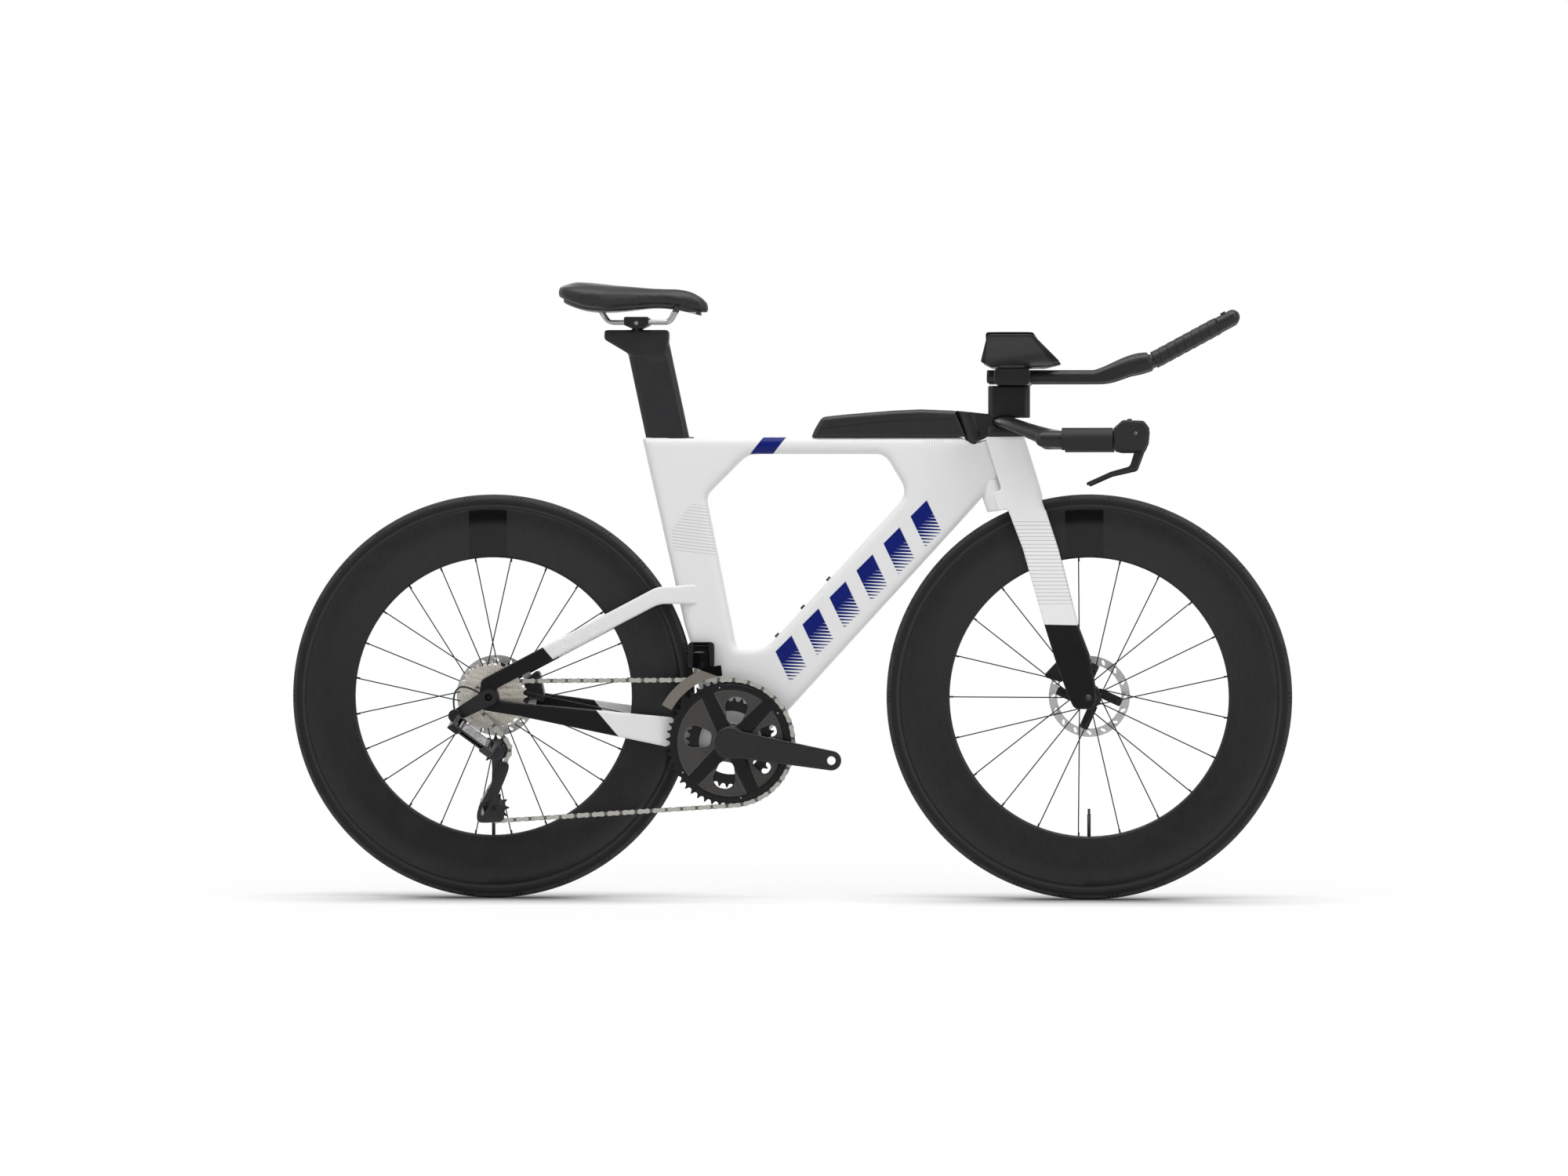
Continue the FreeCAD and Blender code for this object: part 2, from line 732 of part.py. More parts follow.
def save(name, shapes):
    Part.makeCompound(shapes).exportStep("parts/" + name + ".step")
front_span = front_axle - bb
tube_reach = TYRE_RADIUS + DOWN_TUBE_TYRE_GAP + BB_BOSS_RADIUS
down_tube_lean = math.atan2(front_span.z, front_span.x) + math.asin(tube_reach / front_span.Length)
down_tube_angle = math.degrees(down_tube_lean)
post_head_top = top_tube_height + POST_HEAD_ABOVE_FRAME
post_bottom = top_tube_height - POST_INSERTION
stay_front = STAY_BEHIND_BB - bb.x
seat_stay_bend = SEAT_STAY_BEND_BEHIND_BB - bb.x
chain_stay_root = CHAIN_STAY_ROOT_BEHIND_BB - bb.x
chain_stay_end = -rear_axle.x - CHAIN_STAY_END_AHEAD_OF_AXLE
seat_stay_top = bb.z + SEAT_STAY_ABOVE_BB
chain_stay_root_top = bb.z + CHAIN_STAY_ROOT_ABOVE_BB
chain_stay_end_top = rear_axle.z - CHAIN_STAY_END_BELOW_AXLE


def frame_lines():
    """Edge lines of the frame's tubes in the middle plane, each a point and a direction."""
    rear_angle = SEAT_ANGLE - SEAT_TUBE_TAPER_ANGLE
    front_angle = SEAT_ANGLE + SEAT_TUBE_TAPER_ANGLE
    under_height = top_tube_height - TOP_TUBE_DEPTH
    lines = {}
    lines["seat_rear"] = (polar(bb, BB_BOSS_RADIUS, 270 - rear_angle), heading(180 - rear_angle))
    lines["seat_front"] = (polar(bb, SEAT_TUBE_FRONT_OFFSET, 90 - front_angle), heading(180 - front_angle))
    lines["down_top"] = (polar(bb, DOWN_TUBE_TOP_OFFSET, down_tube_angle + 90), heading(down_tube_angle))
    lines["down_low"] = (polar(bb, BB_BOSS_RADIUS, down_tube_angle - 90), heading(down_tube_angle))
    lines["top"] = (ALONG_Z * top_tube_height, ALONG_X)
    lines["under"] = (ALONG_Z * under_height, ALONG_X)
    lines["web"] = (bb + ALONG_Z * WEB_HEIGHT, ALONG_X)
    lines["head"] = (steer_point(HEAD_ROUND + SEAT_GAP, 0), steer_up)
    lines["axis"] = (steer_foot, steer_up)
    seat_corner = meet(lines["seat_front"], (ALONG_Z * (under_height - REAR_GUSSET_DROP), ALONG_X))
    lines["rear_gusset"] = (seat_corner, heading(REAR_GUSSET_ANGLE))
    head_corner = meet(lines["under"], lines["axis"]) - ALONG_X * FRONT_GUSSET_SETBACK
    lines["front_gusset"] = (head_corner, heading(-FRONT_GUSSET_ANGLE))
    return lines


def frame_blank():
    """Main triangle as one rounded moulding, before its bores and pockets."""
    lines = frame_lines()
    outline = [
        meet(lines["seat_rear"], lines["top"]),
        meet(lines["top"], lines["head"]),
        meet(lines["head"], lines["down_low"]),
        meet(lines["down_low"], lines["seat_rear"]),
    ]
    plate = side_solid(outline, [0, 0, 0, BB_BOSS_RADIUS], -frame_half, frame_half)
    window = [
        meet(lines["seat_front"], lines["web"]),
        meet(lines["seat_front"], lines["rear_gusset"]),
        meet(lines["rear_gusset"], lines["under"]),
        meet(lines["under"], lines["front_gusset"]),
        meet(lines["front_gusset"], lines["down_top"]),
        meet(lines["down_top"], lines["web"]),
    ]
    window_rounds = [
        WEB_REAR_ROUND,
        SEAT_CORNER_ROUND,
        REAR_GUSSET_ROUND,
        FRONT_GUSSET_ROUND,
        FRONT_CORNER_ROUND,
        WEB_FRONT_ROUND,
    ]
    plate = plate.cut(side_solid(window, window_rounds, -frame_half - CUT_OVERRUN, frame_half + CUT_OVERRUN))
    plate = plate.cut(disc(front_axle, TYRE_RADIUS + FRONT_TYRE_GAP, -CUT_OVERRUN, CUT_OVERRUN))
    plate = plate.cut(disc(rear_axle, TYRE_RADIUS + REAR_TYRE_GAP, -CUT_OVERRUN, CUT_OVERRUN))
    head_start, head_along = lines["head"]
    long_edges = []
    for edge in side_edges(plate, frame_half):
        middle = edge.CenterOfMass - head_start
        apart = middle.x * head_along.z - middle.z * head_along.x
        if abs(apart) > SEAT_GAP:
            long_edges.append(edge)
    return plate.makeFillet(FRAME_EDGE_ROUND, long_edges)


def post_frame():
    """Foot of the seatpost's centre line at the bottom bracket, its upward and its forward direction."""
    up = heading(180 - SEAT_ANGLE)
    ahead = heading(90 - SEAT_ANGLE)
    return bb, up, ahead


def post_prism(gap, up_low, up_high):
    """Length of the post's streamlined section, grown by a gap all round."""
    start, up, ahead = post_frame()
    nose = POST_DEPTH / 2 + gap
    half = POST_WIDTH / 2 + gap
    tail = half / 2
    corners = [(nose, -half), (nose, half), (-nose, tail), (-nose, -tail)]
    base = start + up * up_low
    points = [base + ahead * depth + ALONG_Y * side for depth, side in corners]
    tail_round = tail * POST_TAIL_ROUND_SHARE
    nose_round = half * POST_NOSE_ROUND_SHARE
    section = rounded_wire(points, [nose_round, nose_round, tail_round, tail_round])
    return prism(section, up * (up_high - up_low))


def post_height(z):
    return (z - bb.z) / math.sin(math.radians(SEAT_ANGLE))


def wedge_block(gap):
    """Seatpost wedge in front of the post, grown by a gap at its sides, front and foot."""
    start, up, ahead = post_frame()
    top = post_height(top_tube_height)
    near = POST_DEPTH / 2 + SEAT_GAP
    half = WEDGE_WIDTH / 2 + gap
    base = start + up * (top - WEDGE_LENGTH - gap) + ahead * near
    far = ahead * (WEDGE_THICKNESS + gap)
    side = ALONG_Y * half
    corners = [base - side, base + far - side, base + far + side, base + side]
    wire = Part.makePolygon(corners + corners[:1])
    return prism(wire, up * (WEDGE_LENGTH - SEAT_GAP + gap))


def bottle_places():
    point, along = frame_lines()["down_top"]
    first = point + along * BOTTLE_BOLT_START
    return [first + along * (BOTTLE_BOLT_PITCH * index) for index in range(BOTTLE_BOLT_COUNT)]


def main_frame(blank):
    """The moulding with its head tube, bottom bracket shell, seatpost socket and threaded holes."""
    low = head_tube_start
    high = head_tube_end
    far = HEAD_ROUND + CUT_OVERRUN
    wide = FRAME_WIDTH
    frame = blank.fuse(disc(bb, BB_SHELL_RADIUS, -BB_SHELL_WIDTH / 2, BB_SHELL_WIDTH / 2))
    around = steer_box(0, far, wide, low - CUT_OVERRUN, high + CUT_OVERRUN)
    frame = frame.cut(around.cut(steer_round(HEAD_ROUND, low - CUT_OVERRUN, high + CUT_OVERRUN)))
    below = steer_round(CROWN_POCKET, low - CUT_OVERRUN, low)
    above = steer_round(CROWN_POCKET, high, high + CUT_OVERRUN)
    frame = frame.cut(below.fuse(steer_box(0, far, wide, low - CUT_OVERRUN, low)))
    frame = frame.cut(above.fuse(steer_box(0, far, wide, high, high + CUT_OVERRUN)))
    bearing = HEADSET_RADIUS + SHAFT_CLEARANCE
    bore = steer_round(STEERER_RADIUS + RUNNING_GAP, low, high)
    bore = bore.fuse(steer_round(bearing, low, low + HEADSET_HEIGHT))
    bore = bore.fuse(steer_round(bearing, high - HEADSET_HEIGHT, high))
    frame = frame.cut(bore)
    frame = frame.cut(disc(bb, BB_BORE_RADIUS, -BB_SHELL_WIDTH, BB_SHELL_WIDTH))
    socket_low = post_height(post_bottom) - POST_DROP - WEDGE_THICKNESS
    frame = frame.cut(post_prism(SEAT_GAP, socket_low, post_height(top_tube_height) + CUT_OVERRUN))
    wedge_room = wedge_block(SEAT_GAP)
    frame = frame.cut(wedge_room.fuse(wedge_room.translated(post_frame()[1] * WEDGE_LENGTH)))
    inward = heading(down_tube_angle - 90)
    for place in bottle_places():
        mouth = place - inward * BOTTLE_BOLT_HEAD
        frame = frame.cut(rod(mouth, place + inward * BOTTLE_THREAD_DEPTH, BOTTLE_THREAD_RADIUS))
    return frame


def bottle_bolts():
    inward = heading(down_tube_angle - 90)
    bolts = []
    for place in bottle_places():
        head = rod(place, place - inward * BOTTLE_BOLT_HEAD, BOTTLE_BOLT_RADIUS)
        shank_end = place + inward * (BOTTLE_THREAD_DEPTH - BOTTLE_BOLT_HEAD)
        bolts.append(head.fuse(rod(place, shank_end, BOTTLE_THREAD_RADIUS - SHAFT_CLEARANCE)))
    return bolts


def stay_outline(rise):
    """One side's seat stay, dropout and chain stay; the chain stay's top lifts by the rise at its rear end."""
    bend_top = seat_stay_top - SEAT_STAY_BEND_DROP
    tip = -rear_axle.x + DROPOUT_RADIUS - STAY_ROUND
    tip_top = rear_axle.z + SEAT_STAY_TIP_ABOVE_AXLE
    slope = (bend_top - tip_top) / (tip - seat_stay_bend)
    stay_height = SEAT_STAY_DEPTH * math.sqrt(1 + slope * slope)
    fork_top = chain_stay_end_top + rise + DROPOUT_RADIUS / 2
    fork_x = seat_stay_bend + (bend_top - stay_height - fork_top) / slope
    root_top = chain_stay_root_top + rise / 2
    end_low = chain_stay_end_top - CHAIN_STAY_END_DEPTH
    root_low = chain_stay_root_top - CHAIN_STAY_ROOT_DEPTH
    front_low = root_low - DROPOUT_RADIUS / 2
    seat_low = seat_stay_top - SEAT_STAY_ROOT_DEPTH
    places = [
        (stay_front, seat_stay_top, 0),
        (seat_stay_bend, bend_top, STAY_BEND_ROUND),
        (tip, tip_top, DROPOUT_RADIUS / 2),
        (tip + STAY_ROUND, rear_axle.z, DROPOUT_RADIUS / 2),
        (tip, rear_axle.z - DROPOUT_RADIUS - STAY_ROUND, DROPOUT_RADIUS / 2),
        (chain_stay_end, end_low, STAY_BEND_ROUND),
        (chain_stay_root, root_low, STAY_BEND_ROUND),
        (stay_front, front_low, 0),
        (stay_front, root_top, 0),
        (chain_stay_root, root_top, STAY_BEND_ROUND),
        (chain_stay_end, chain_stay_end_top + rise, DROPOUT_RADIUS),
        (fork_x, fork_top, STAY_ROUND),
        (seat_stay_bend - STAY_ROUND, bend_top - stay_height, STAY_BEND_ROUND),
        (stay_front, seat_low, 0),
    ]
    points = [Vector(-x, 0, z) for x, z, radius in places]
    return points, [radius for x, z, radius in places]


def stay_side(side, rise, blank):
    """Left (side 1) or right (side -1) stays: the side outline kept inside the flare seen from above."""
    points, radii = stay_outline(rise)
    inside = REAR_HUB_SPACING / 2
    outside = inside + DROPOUT_THICKNESS
    tail = -rear_axle.x + CUT_OVERRUN
    dropout = -rear_axle.x - DROPOUT_RADIUS - STAY_ROUND
    root_end = chain_stay_root + STAY_ROOT_WIDTH
    plan = [
        (stay_front, STAY_ROOT_INSIDE / 2),
        (stay_front + STAY_ROOT_WIDTH * 2, STAY_ROOT_INSIDE - STAY_ROUND / 2),
        (root_end, STAY_ROOT_INSIDE),
        (dropout, inside),
        (tail, inside),
        (tail, outside),
        (dropout, outside),
        (root_end, STAY_ROOT_INSIDE + STAY_ROOT_WIDTH + STAY_ROUND),
        (stay_front, STAY_ROOT_INSIDE + STAY_ROOT_WIDTH),
    ]
    bend = STAY_BEND_ROUND
    plan_points = [(-x, side * y) for x, y in plan]
    flare = plan_solid(plan_points, [0, 0, bend, bend, 0, 0, bend, bend, 0], 0, top_tube_height)
    wide = outside + CUT_OVERRUN
    blade = side_solid(points, radii, min(0, side * wide), max(0, side * wide)).common(flare)
    low = min(side * inside, side * outside)
    blade = blade.fuse(disc(rear_axle, DROPOUT_RADIUS, low, low + DROPOUT_THICKNESS))
    blade = blade.removeSplitter()
    blade = blade.cut(disc(rear_axle, AXLE_RADIUS + SHAFT_CLEARANCE, -wide, wide))
    blade = blade.cut(disc(rear_axle, TYRE_RADIUS + REAR_TYRE_GAP, -STAY_ROOT_INSIDE, STAY_ROOT_INSIDE))
    return blade.cut(blank).cut(disc(bb, BB_SHELL_RADIUS, -wide, wide))


def storage_box():
    lines = frame_lines()
    base = meet(lines["top"], lines["axis"]) - ALONG_X * (BOX_FRONT_SETBACK + BOX_LENGTH)
    points = [base + Vector(BOX_LENGTH * along, 0, BOX_HEIGHT * up) for along, up in BOX_OUTLINE_SHARES]
    half = BOX_WIDTH / 2
    radii = [0] + [BOX_CORNER_ROUND] * len(points[1:-2]) + [0, 0]
    box = side_solid(points, radii, -half, half)
    kept = [edge for edge in side_edges(box, half) if edge.CenterOfMass.z > top_tube_height + SEAT_GAP]
    last = base.x + BOX_LENGTH * BOX_FILLET_SHARE
    box = box.makeFillet(BOX_EDGE_ROUND, [edge for edge in kept if edge.BoundBox.XMax < last])
    high = head_tube_end + BOX_HEIGHT + CUT_OVERRUN
    return box.cut(steer_round(CROWN_POCKET, head_tube_end - CUT_OVERRUN, high))


def leg_points(shares):
    points = []
    for across, up in shares:
        rise = leg_height * up
        points.append(front_axle + Vector(LEG_DEPTH * across - rise * leg_slope, 0, rise))
    return points


def fork_leg():
    """Left leg: its side outline kept inside its outline seen from the front."""
    points = leg_points(LEG_FRONT_SHARES + LEG_REAR_SHARES)
    radii = [0] + [LEG_CORNER_ROUND] * (len(points) - 2) + [0]
    bend = LEG_BEND_ROUND
    radii[1:4] = [bend] * 3
    radii[-4:-1] = [bend] * 3
    wide = FORK_END_WIDTH / 2
    hub = FRONT_HUB_SPACING / 2
    outside = [(wide * out, leg_height * up) for up, out in LEG_OUTSIDE_SHARES]
    inside = [(hub * out, leg_height * up) for up, out in LEG_INSIDE_SHARES]
    back = front_axle.x - leg_run - CUT_OVERRUN
    view = [Vector(back, y, front_axle.z + z) for y, z in outside + inside]
    view_radii = [0] + [bend] * 2 + [LEG_CORNER_ROUND] * 4 + [0, 0] + [LEG_CORNER_ROUND] * 4 + [bend] * 2 + [0]
    face_on = prism(rounded_wire(view, view_radii), ALONG_X * (leg_run + CUT_OVERRUN * 3))
    return side_solid(points, radii, 0, wide + CUT_OVERRUN).common(face_on)


def fork_nose():
    """Crown and the nose in front of the head tube."""
    low = head_tube_start - CROWN_DEPTH - RUNNING_GAP
    shelf = head_tube_start - RUNNING_GAP
    ahead = NOSE_SETBACK + NOSE_DEPTH
    nose_top = top_tube_height - NOSE_BELOW_TOP_TUBE
    top = (ALONG_Z * nose_top, ALONG_X)
    leg_front = leg_points(LEG_FRONT_SHARES)[0]
    leg_rear = leg_points(LEG_REAR_SHARES)[-1]
    outline = [
        steer_point(-CROWN_ROUND - CROWN_ROUND, low),
        steer_point(-CROWN_ROUND - CROWN_ROUND, shelf),
        steer_point(NOSE_SETBACK, shelf),
        meet((steer_point(NOSE_SETBACK, 0), steer_up), top),
        meet((steer_point(ahead, 0), steer_up), top),
        steer_point(ahead, low + CROWN_DEPTH / 2),
        leg_front,
        leg_rear,
    ]
    half = CROWN_WIDTH / 2
    body = side_solid(outline, [0] * len(outline), -half, half)
    nose_half = NOSE_WIDTH / 2
    shoulder = leg_front.z + CROWN_SHOULDER
    back = outline[0].x - CUT_OVERRUN
    view = [
        Vector(back, half, leg_front.z - CUT_OVERRUN),
        Vector(back, half, leg_front.z),
        Vector(back, nose_half, shoulder),
        Vector(back, nose_half, nose_top + CUT_OVERRUN),
        Vector(back, -nose_half, nose_top + CUT_OVERRUN),
        Vector(back, -nose_half, shoulder),
        Vector(back, -half, leg_front.z),
        Vector(back, -half, leg_front.z - CUT_OVERRUN),
    ]
    bend = CROWN_SHOULDER
    view_wire = rounded_wire(view, [0, bend, bend, 0, 0, bend, bend, 0])
    face_on = prism(view_wire, ALONG_X * (leg_front.x - back + CUT_OVERRUN))
    body = body.common(face_on)
    front_edges = []
    for edge in body.Edges:
        middle = edge.CenterOfMass - steer_foot
        long = edge.Length > CROWN_DEPTH
        if long and abs(middle.dot(steer_ahead) - ahead) < SEAT_GAP and abs(middle.y) > nose_half / 2:
            front_edges.append(edge)
    body = body.makeFillet(NOSE_ROUND, front_edges)
    wide = CROWN_WIDTH
    rear = steer_box(-CUT_OVERRUN, 0, wide, low - CUT_OVERRUN, shelf + CUT_OVERRUN)
    body = body.cut(rear.cut(steer_round(CROWN_ROUND, low - CUT_OVERRUN, shelf + CUT_OVERRUN)))
    return body.cut(steer_round(HEAD_ROUND + RUNNING_GAP, shelf, head_tube_end + CUT_OVERRUN))


def fork():
    leg = fork_leg()
    whole = joined([fork_nose(), leg, mirrored(leg)])
    arch_half = ARCH_WIDTH / 2
    reach = TYRE_RADIUS + ARCH_GAP
    arch = [(0, -arch_half), (reach, -arch_half), (reach, arch_half), (0, arch_half)]
    whole = whole.cut(turned_ring(front_axle, arch, [0, ARCH_ROUND, ARCH_ROUND, 0]))
    return whole.cut(disc(front_axle, AXLE_RADIUS + SHAFT_CLEARANCE, -FORK_END_WIDTH, FORK_END_WIDTH))


def steerer():
    """Steering pin through the head tube, with the two headset bearings that it turns in."""
    low = head_tube_start
    high = head_tube_end
    pin = steer_round(STEERER_RADIUS, low - RUNNING_GAP, high + RUNNING_GAP)
    inner = STEERER_RADIUS + SHAFT_CLEARANCE
    bore = steer_round(inner, low, high)
    lower = steer_round(HEADSET_RADIUS, low, low + HEADSET_HEIGHT - SEAT_GAP).cut(bore)
    upper = steer_round(HEADSET_RADIUS, high - HEADSET_HEIGHT + SEAT_GAP, high).cut(bore)
    return [pin, lower, upper]


def tyre(axle):
    """Tyre: round tread over a pair of drawn-in beads that sit on the rim."""
    bead = TYRE_BEAD_WIDTH / 2
    half = TYRE_WIDTH / 2
    widest = TYRE_RADIUS - half
    low = tyre_bead_radius
    start = Vector(axle.x + low, -bead, axle.z)
    shoulder = Vector(axle.x + widest, -half, axle.z)
    crown = Vector(axle.x + TYRE_RADIUS, 0, axle.z)
    mate = Vector(axle.x + widest, half, axle.z)
    end = Vector(axle.x + low, bead, axle.z)
    quarter = half * math.sqrt(1 / 2)
    lower_arc = Part.Arc(shoulder, Vector(axle.x + widest + quarter, -quarter, axle.z), crown).toShape()
    upper_arc = Part.Arc(crown, Vector(axle.x + widest + quarter, quarter, axle.z), mate).toShape()
    lip = rim_edge_radius + SEAT_GAP
    low_lip = Vector(axle.x + lip, -bead, axle.z)
    high_lip = Vector(axle.x + lip, bead, axle.z)
    edges = [Part.LineSegment(start, low_lip).toShape(), Part.LineSegment(low_lip, shoulder).toShape()]
    edges += [lower_arc, upper_arc]
    edges.append(Part.LineSegment(mate, high_lip).toShape())
    edges.append(Part.LineSegment(high_lip, end).toShape())
    edges.append(Part.LineSegment(end, start).toShape())
    return Part.Face(Part.Wire(edges)).revolve(axle, ALONG_Y, 360)


def rim(axle):
    """Deep rim: a bed for the tyre, bulged flanks and a rounded inner nose."""
    edge = RIM_EDGE_WIDTH / 2
    wide = RIM_WIDTH / 2
    nose = RIM_NOSE_WIDTH / 2
    bead = TYRE_BEAD_WIDTH / 2 + SEAT_GAP
    bed = tyre_bead_radius - SEAT_GAP
    half = [
        (bed, bead),
        (rim_edge_radius, bead + SEAT_GAP),
        (rim_edge_radius, edge),
        (rim_widest_radius, wide),
        (rim_inner_radius, nose),
    ]
    other = [(radius, -y) for radius, y in reversed(half)]
    flank = rim_widest_radius - rim_inner_radius
    rounds = [0, 0, RIM_EDGE_ROUND, flank * 2, nose - SEAT_GAP]
    return turned_ring(axle, half + other, rounds + rounds[::-1])


def valve(axle):
    start = polar(axle, rim_inner_radius - SEAT_GAP, 270)
    middle = polar(axle, rim_inner_radius - VALVE_LENGTH + VALVE_TIP_LENGTH, 270)
    end = polar(axle, rim_inner_radius - VALVE_LENGTH, 270)
    return rod(start, middle, VALVE_RADIUS).fuse(rod(middle, end, VALVE_TIP_RADIUS))


def spokes(axle, sets, radial_side, radial_flange, crossed_flange, flange_radius):
    """Each set has one radial spoke and a crossed pair on the wider flange."""
    bars = []
    step = 360 / sets
    seat = flange_radius - SPOKE_SUNK / 2
    rim_radius = rim_inner_radius + SPOKE_SUNK
    for index in range(sets):
        middle = index * step + step / 2
        start = shifted(polar(axle, seat, middle), radial_side * radial_flange)
        end = shifted(polar(axle, rim_radius, middle), radial_side * SPOKE_RADIUS)
        bars.append(rod(start, end, SPOKE_RADIUS))
        for lean in (1, -1):
            place = middle + lean * step / 3
            root = place + lean * SPOKE_CROSS_ANGLE
            start = shifted(polar(axle, seat, root), -radial_side * (crossed_flange + lean * SPOKE_RADIUS * 2))
            end = shifted(polar(axle, rim_radius, place), -radial_side * SPOKE_RADIUS * 2)
            bars.append(rod(start, end, SPOKE_RADIUS))
    return bars


def hub(axle, spacing, body_radius, flange_radius, flange_width, right, left, core):
    """Hub shell with two flanges and end caps, bored for the axle, straight outside its core place."""
    end = spacing / 2 - SEAT_GAP
    bore = AXLE_RADIUS + SHAFT_CLEARANCE
    step = flange_width / 2
    profile = [
        (bore, -end),
        (HUB_CAP_RADIUS, -end),
        (HUB_CAP_RADIUS, -core),
        (HUB_CAP_RADIUS + step, -right - step - SEAT_GAP),
        (flange_radius, -right - step),
        (flange_radius, -right + step),
        (body_radius, -right + step + body_radius / 2),
        (body_radius, left - step - body_radius / 2),
        (flange_radius, left - step),
        (flange_radius, left + step),
        (HUB_CAP_RADIUS + step, left + step + SEAT_GAP),
        (HUB_CAP_RADIUS, end),
        (bore, end),
    ]
    return turned_ring(axle, profile, [0] * len(profile))


def rotor(axle, offset, hub_shape):
    """Disc rotor: a slotted band on angled arms, with its lock ring."""
    half = ROTOR_THICKNESS / 2
    band = disc(axle, ROTOR_RADIUS, offset - half, offset + half)
    band = band.cut(disc(axle, ROTOR_BAND_RADIUS, offset - half, offset + half))
    middle = (ROTOR_RADIUS + ROTOR_BAND_RADIUS) / 2
    reach = ROTOR_SLOT_LENGTH / 2
    slots = []
    for index in range(ROTOR_SLOT_COUNT):
        place = polar(axle, middle, 360 / ROTOR_SLOT_COUNT * index)
        lean = 360 / ROTOR_SLOT_COUNT * index + ROTOR_SLOT_LEAN_ANGLE
        along = heading(lean)
        across = heading(lean + 90)
        corners = [
            place - along * reach - across * ROTOR_SLOT_RADIUS,
            place + along * reach - across * ROTOR_SLOT_RADIUS,
            place + along * reach + across * ROTOR_SLOT_RADIUS,
            place - along * reach + across * ROTOR_SLOT_RADIUS,
        ]
        slot_round = ROTOR_SLOT_RADIUS - SHAFT_CLEARANCE
        slots.append(side_solid(corners, [slot_round] * 4, offset - half, offset + half))
    band = band.cut(Part.makeCompound(slots))
    arm_half = ROTOR_ARM_THICKNESS / 2
    pieces = [disc(axle, ROTOR_HUB_RADIUS, offset - arm_half, offset + arm_half)]
    for index in range(ROTOR_ARM_COUNT):
        angle = ROTOR_ARM_ANGLE + 360 / ROTOR_ARM_COUNT * index
        root = polar(axle, ROTOR_LOCK_RADIUS, angle + ROTOR_ARM_SWEEP_ANGLE)
        tip = polar(axle, ROTOR_BAND_RADIUS + ROTOR_THICKNESS / 2, angle)
        across = (tip - root).cross(ALONG_Y).normalize() * (ROTOR_ARM_WIDTH / 2)
        corners = [root - across, tip - across, tip + across, root + across]
        corner_round = ROTOR_ARM_WIDTH / 5
        rounds = [0, corner_round, corner_round, 0]
        pieces.append(side_solid(corners, rounds, offset - arm_half, offset + arm_half))
    carrier = joined(pieces).cut(hub_shape)
    carrier = carrier.cut(disc(axle, AXLE_RADIUS + ROTOR_LOCK_WIDTH / 2, offset - arm_half, offset + arm_half))
    band = band.cut(carrier)
    low = offset + arm_half
    lock = disc(axle, ROTOR_LOCK_RADIUS, low, low + ROTOR_LOCK_WIDTH)
    lock = lock.cut(hub_shape).cut(disc(axle, AXLE_RADIUS + ROTOR_LOCK_WIDTH / 2, low, low + ROTOR_LOCK_WIDTH))
    return [band, carrier, lock]


def axle_bar(axle, spacing, grip):
    """Through axle with a flush head at its left end."""
    half = spacing / 2 + grip
    bar = disc(axle, AXLE_RADIUS, -half, half)
    return bar.fuse(disc(axle, AXLE_HEAD_RADIUS, half, half + AXLE_HEAD_LENGTH))


def caliper(axle, offset, angle):
    """Caliper that straddles the rotor's band, with its two pads."""
    slot = CALIPER_SLOT / 2
    half = CALIPER_WIDTH / 2
    reach = CALIPER_REACH + CALIPER_DEPTH / 2
    middle = polar(axle, reach, angle)
    out = heading(angle) * (CALIPER_DEPTH / 2)
    along = heading(angle + 90) * (CALIPER_LENGTH / 2)
    corners = [middle - out - along / 2, middle + out - along, middle + out + along, middle - out + along / 2]
    body = side_solid(corners, [CALIPER_ROUND] * 4, offset - half, offset + half)
    flat_edges = [edge for edge in body.Edges if edge.BoundBox.YLength < SHAFT_CLEARANCE]
    body = body.makeFillet(CALIPER_ROUND / 2, flat_edges)
    body = body.cut(disc(axle, ROTOR_RADIUS + CALIPER_SLOT, offset - slot, offset + slot))
    pad_middle = polar(axle, (ROTOR_RADIUS + ROTOR_BAND_RADIUS) / 2, angle)
    pad_out = heading(angle) * (PAD_DEPTH / 2)
    pad_along = heading(angle + 90) * (PAD_LENGTH / 2)
    pad_corners = [pad_middle - pad_out - pad_along, pad_middle + pad_out - pad_along]
    pad_corners += [pad_middle + pad_out + pad_along, pad_middle - pad_out + pad_along]
    pads = []
    near = ROTOR_THICKNESS / 2 + PAD_GAP
    for side in (1, -1):
        low = min(side * near, side * (near + PAD_THICKNESS))
        pad = side_solid(pad_corners, [PAD_GAP] * 4, offset + low, offset + low + PAD_THICKNESS)
        body = body.cut(pad)
        pads.append(pad)
    return [body] + pads


def pitch_radius(teeth):
    return CHAIN_PITCH / 2 / math.sin(math.pi / teeth)


